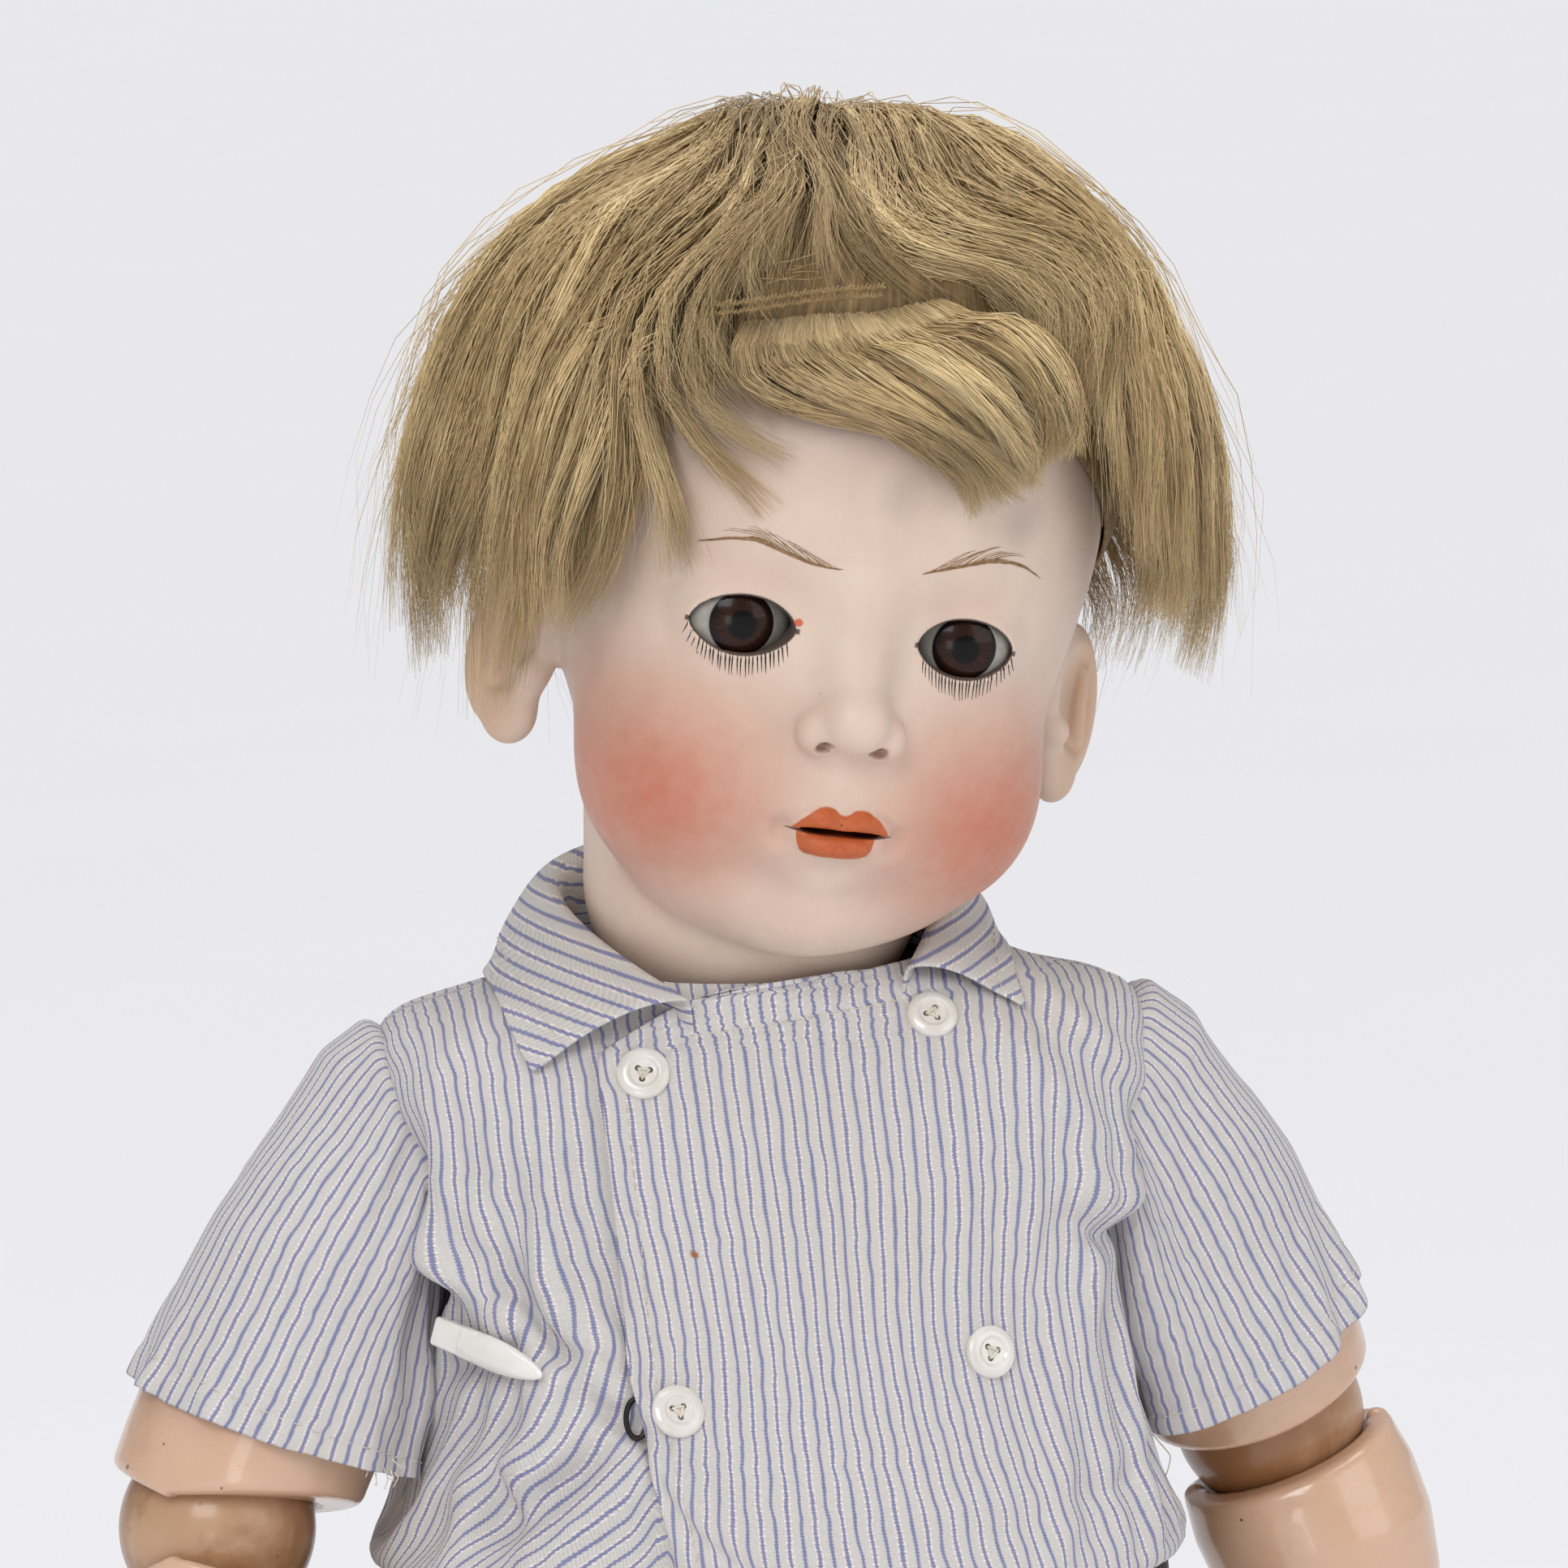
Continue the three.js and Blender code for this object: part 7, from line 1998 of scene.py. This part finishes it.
for k, sg in (("r", -1), ("l", 1)):
    td = unit(K[k] - H[k])
    na, nl = ((128, 36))
    th = np.linspace(0, 2 * math.pi, na, endpoint=False)
    ex = unit(np.array([1.0, 0, 0]) - td * td[0])
    ey = np.cross(td, ex)
    lg = np.zeros((nl, na, 3))
    waves = 0.8 * np.sin(th * 21 + 1.5 * np.sin(3 * th)) + 0.6 * np.sin(th * 13 + sg)
    tl = np.linspace(-4, 62, nl)
    for j, t in enumerate(tl):
        r = np.interp(t, [-4, 8, 30, 48, 56, 62], [35.0, 38.6, 40.2, 39.6, 37.6, 35.6])
        rr = r + waves * (0.5 + 1.2 * math.exp(-((62 - t) / 14)))
        lg[j] = H[k] + td * t + rr[:, None] * (np.cos(th)[:, None] * ex + np.sin(th)[:, None] * ey)

    def thigh_field(P):
        q = P - H[k]
        t = q @ td
        return np.linalg.norm(q - t[:, None] * td, axis=1) - 33.2

    pn = np.zeros((nl, na), bool)
    pn[:1], pn[-2:] = True, True
    gu = np.ones((nl, na))
    gu[2:-3] = 1.04
    LG = cloth(lg + srng2.normal(0, 0.2, lg.shape) * (~pn)[..., None], True, gu, np.ones((nl, na)) * 1.07, pn, [(thigh_field, 0.6)], 80, 9, 0.06, 0.12)
    q = LG[-1:] - (H[k] + td * 62)
    inn = [H[k] + td * 61.2 + q * 0.955, H[k] + td * 56 + q * 0.95, H[k] + td * 46 + q * 0.955]
    top = [H[k] + td * -7 + (LG[:1] - (H[k] - td * 4)) * 0.86]
    full = np.concatenate(top + [LG] + inn)
    nr_ = len(full)
    iid = np.arange(nr_ * na).reshape(nr_, na)
    rt = np.roll(iid, -1, 1)
    qd = np.stack([iid[:-1], iid[1:], rt[1:], rt[:-1]], -1).reshape(-1, 4)
    n0 = np.cross(full[12, 4] - full[12, 3], full[13, 3] - full[12, 3])
    if n0 @ (full[12, 3] - full[12].mean(0)) > 0:
        qd = qd[:, ::-1]
    ob = mesh("shorts_leg_cloth_" + k, full.reshape(-1, 3), qd)
    mod = ob.modifiers.new("smooth", "SUBSURF")
    mod.levels = mod.render_levels = 1
    paint(ob, WOOL)
    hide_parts("shorts_leg_" + k)
    a, b = (H[k] - td * 2 + OFF) / 1000, (H[k] + td * 26 + OFF) / 1000
    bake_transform(ob)

# ------------------------------------------------------------------ plain parts that stay as packed: finish only
def finish(names, material):
    for n in names:
        ob = frame["nodes"][n]
        ob.data.materials.clear()
        ob.data.materials.append(material)


def simple(name, stops, scale, rough, metallic=0.0, bump=0.0003):
    m = Mat(name)
    nz = m.noise(m.obj(), scale, 4, 0.6)
    m.color(m.ramp(nz, stops))
    m.normal(m.bump(nz, bump, 0.4))
    m.set(Roughness=rough, Metallic=metallic)
    return m.m


finish(["torso_front_shell", "torso_back_shell"], FLESH)
finish(["eye_bed_r", "eye_bed_l"], simple("plaster", [(0.3, (214, 208, 196)), (0.7, (228, 224, 214))], 80, 0.9))
finish(["pate"], simple("pasteboard", [(0.3, (150, 126, 92)), (0.7, (176, 152, 116))], 90, 0.9))
finish(["eye_stop_cork", "neck_button"], simple("turned_wood", [(0.3, (158, 116, 74)), (0.7, (190, 148, 100))], 70, 0.6))
finish(["eye_weight"], simple("lead", [(0.3, (92, 94, 98)), (0.7, (124, 126, 130))], 120, 0.5, 0.8))
finish(["eye_yoke", "neck_hook", "hand_hook_r", "hand_hook_l", "shin_hook_r", "shin_hook_l"], simple("wire", [(0.3, (112, 112, 112)), (0.7, (158, 158, 158))], 150, 0.35, 0.9))
ELASTIC = simple("elastic", [(0.3, (206, 196, 176)), (0.7, (224, 216, 200))], 400, 0.85)


def elastic(name, pts, body, node):
    """One length of stringing elastic, which goes with the limb that it runs in."""
    ob = join_parts(name, [tube(resample([np.array(p, float) for p in pts], 24), 2.0, 10)])
    paint(ob, ELASTIC, body)
    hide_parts(node)


elastic("arm_elastic_chest", [(-74, 3.5, 376.5), (-50, 9, 376), (0, 16, 376), (50, 9, 376), (74, 3.5, 376.5)], "torso", "arm_elastic")
for k, s in (("r", -1), ("l", 1)):
    ld = unit(A[k] - K[k])
    td = unit(K[k] - H[k])
    elastic("arm_elastic_upper_" + k, [S[k] + U[k] * 6, S[k] + U[k] * 40, E[k] - U[k] * 6], "upper_arm_" + k, "arm_elastic")
    elastic("arm_elastic_fore_" + k, [E[k] + F[k] * 6, E[k] + F[k] * 28, WR[k] - F[k] * 22.5], "forearm_" + k, "arm_elastic")
    elastic("leg_elastic_body_" + k, [(s * 37.6, 1, 234), (s * 36, 2, 262), (s * 12, 2, 352), (s * 5.5, 2, 368), (0, 2, 370.6)], "torso", "leg_elastic")
    elastic("leg_elastic_thigh_" + k, [H[k] + td * 4, (H[k] + K[k]) / 2, K[k] - td * 6], "thigh_" + k, "leg_elastic")
    elastic("leg_elastic_shin_" + k, [K[k] + ld * 6, K[k] + ld * 20, K[k] + ld * 33.6], "lower_leg_" + k, "leg_elastic")

# ------------------------------------------------------------------ stage, light and camera
def studio():
    scene = bpy.context.scene
    world = bpy.data.worlds.new("studio")
    scene.world = world
    world.use_nodes = True
    bg = world.node_tree.nodes["Background"]
    bg.inputs[0].default_value = (0.86, 0.86, 0.88, 1)
    bg.inputs[1].default_value = 0.48
    scene.view_settings.view_transform = "Standard"
    scene.view_settings.look = "None"
    scene.view_settings.exposure = 0
    # wide white floor that runs out of the picture on every side
    n, R = 96, 40000.0
    vs = [(0, 0, -0.2)] + [(R * math.cos(2 * math.pi * i / n), R * math.sin(2 * math.pi * i / n), -0.2) for i in range(n)]
    fs = [(0, 1 + i, 1 + (i + 1) % n) for i in range(n)]
    floor = mesh("floor", vs, fs, smooth=False)
    m = Mat("floor_paper")
    m.color(m.ramp(m.noise(m.obj(), 3, 3, 0.5), [(0.35, (118, 118, 120)), (0.65, (122, 122, 124))]))
    m.set(Roughness=0.95, Specular_IOR_Level=0.1, Emission_Color=(0.97, 0.97, 1.0, 1.0), Emission_Strength=0.74)
    floor.data.materials.append(m.m)

    def area(name, at, to, size, power, color=(1, 1, 1), size_y=None):
        li = bpy.data.lights.new(name, "AREA")
        li.energy = power
        li.size = size
        if size_y:
            li.shape = "RECTANGLE"
            li.size_y = size_y
        li.color = color
        ob = bpy.data.objects.new(name, li)
        ob.location = Vector(at) / 1000
        ob.rotation_euler = (Vector(to) - Vector(at)).to_track_quat("-Z", "Y").to_euler()
        scene.collection.objects.link(ob)

    area("key", (-600, -1450, 1480), (0, 0, 420), 0.9, 13.5)
    area("fill", (1300, -1100, 900), (0, 0, 400), 1.2, 6)
    area("top", (100, 100, 1900), (0, 0, 450), 1.2, 12)
    area("low", (-450, -1700, 300), (0, 0, 420), 0.36, 1.5, size_y=0.5)

    cam = bpy.data.cameras.new("camera")
    ob = bpy.data.objects.new("camera", cam)
    scene.collection.objects.link(ob)
    scene.camera = ob
    az, el, roll, dist = (math.radians(CAM["az"]), math.radians(CAM["el"]), math.radians(CAM["roll"]), CAM["dist"])
    target = np.array(CAM["target"]) + OFF
    pos = target + dist * np.array([math.sin(az) * math.cos(el), -math.cos(az) * math.cos(el), math.sin(el)])
    ob.location = Vector(pos) / 1000
    q = (Vector(target) - Vector(pos)).to_track_quat("-Z", "Y")
    ob.rotation_euler = (q.to_matrix() @ Matrix.Rotation(roll, 3, "Z")).to_euler()
    cam.sensor_fit = "HORIZONTAL"
    cam.sensor_width = 36.0
    cam.lens = 36.0 * dist / CAM["field"]
    cam.clip_end = 100


CAM = {"az": -6.0, "el": 8.0, "roll": -2.0, "dist": 1600.0, "field": 328.0, "target": (4.0, -30.0, 447.5)}
studio()
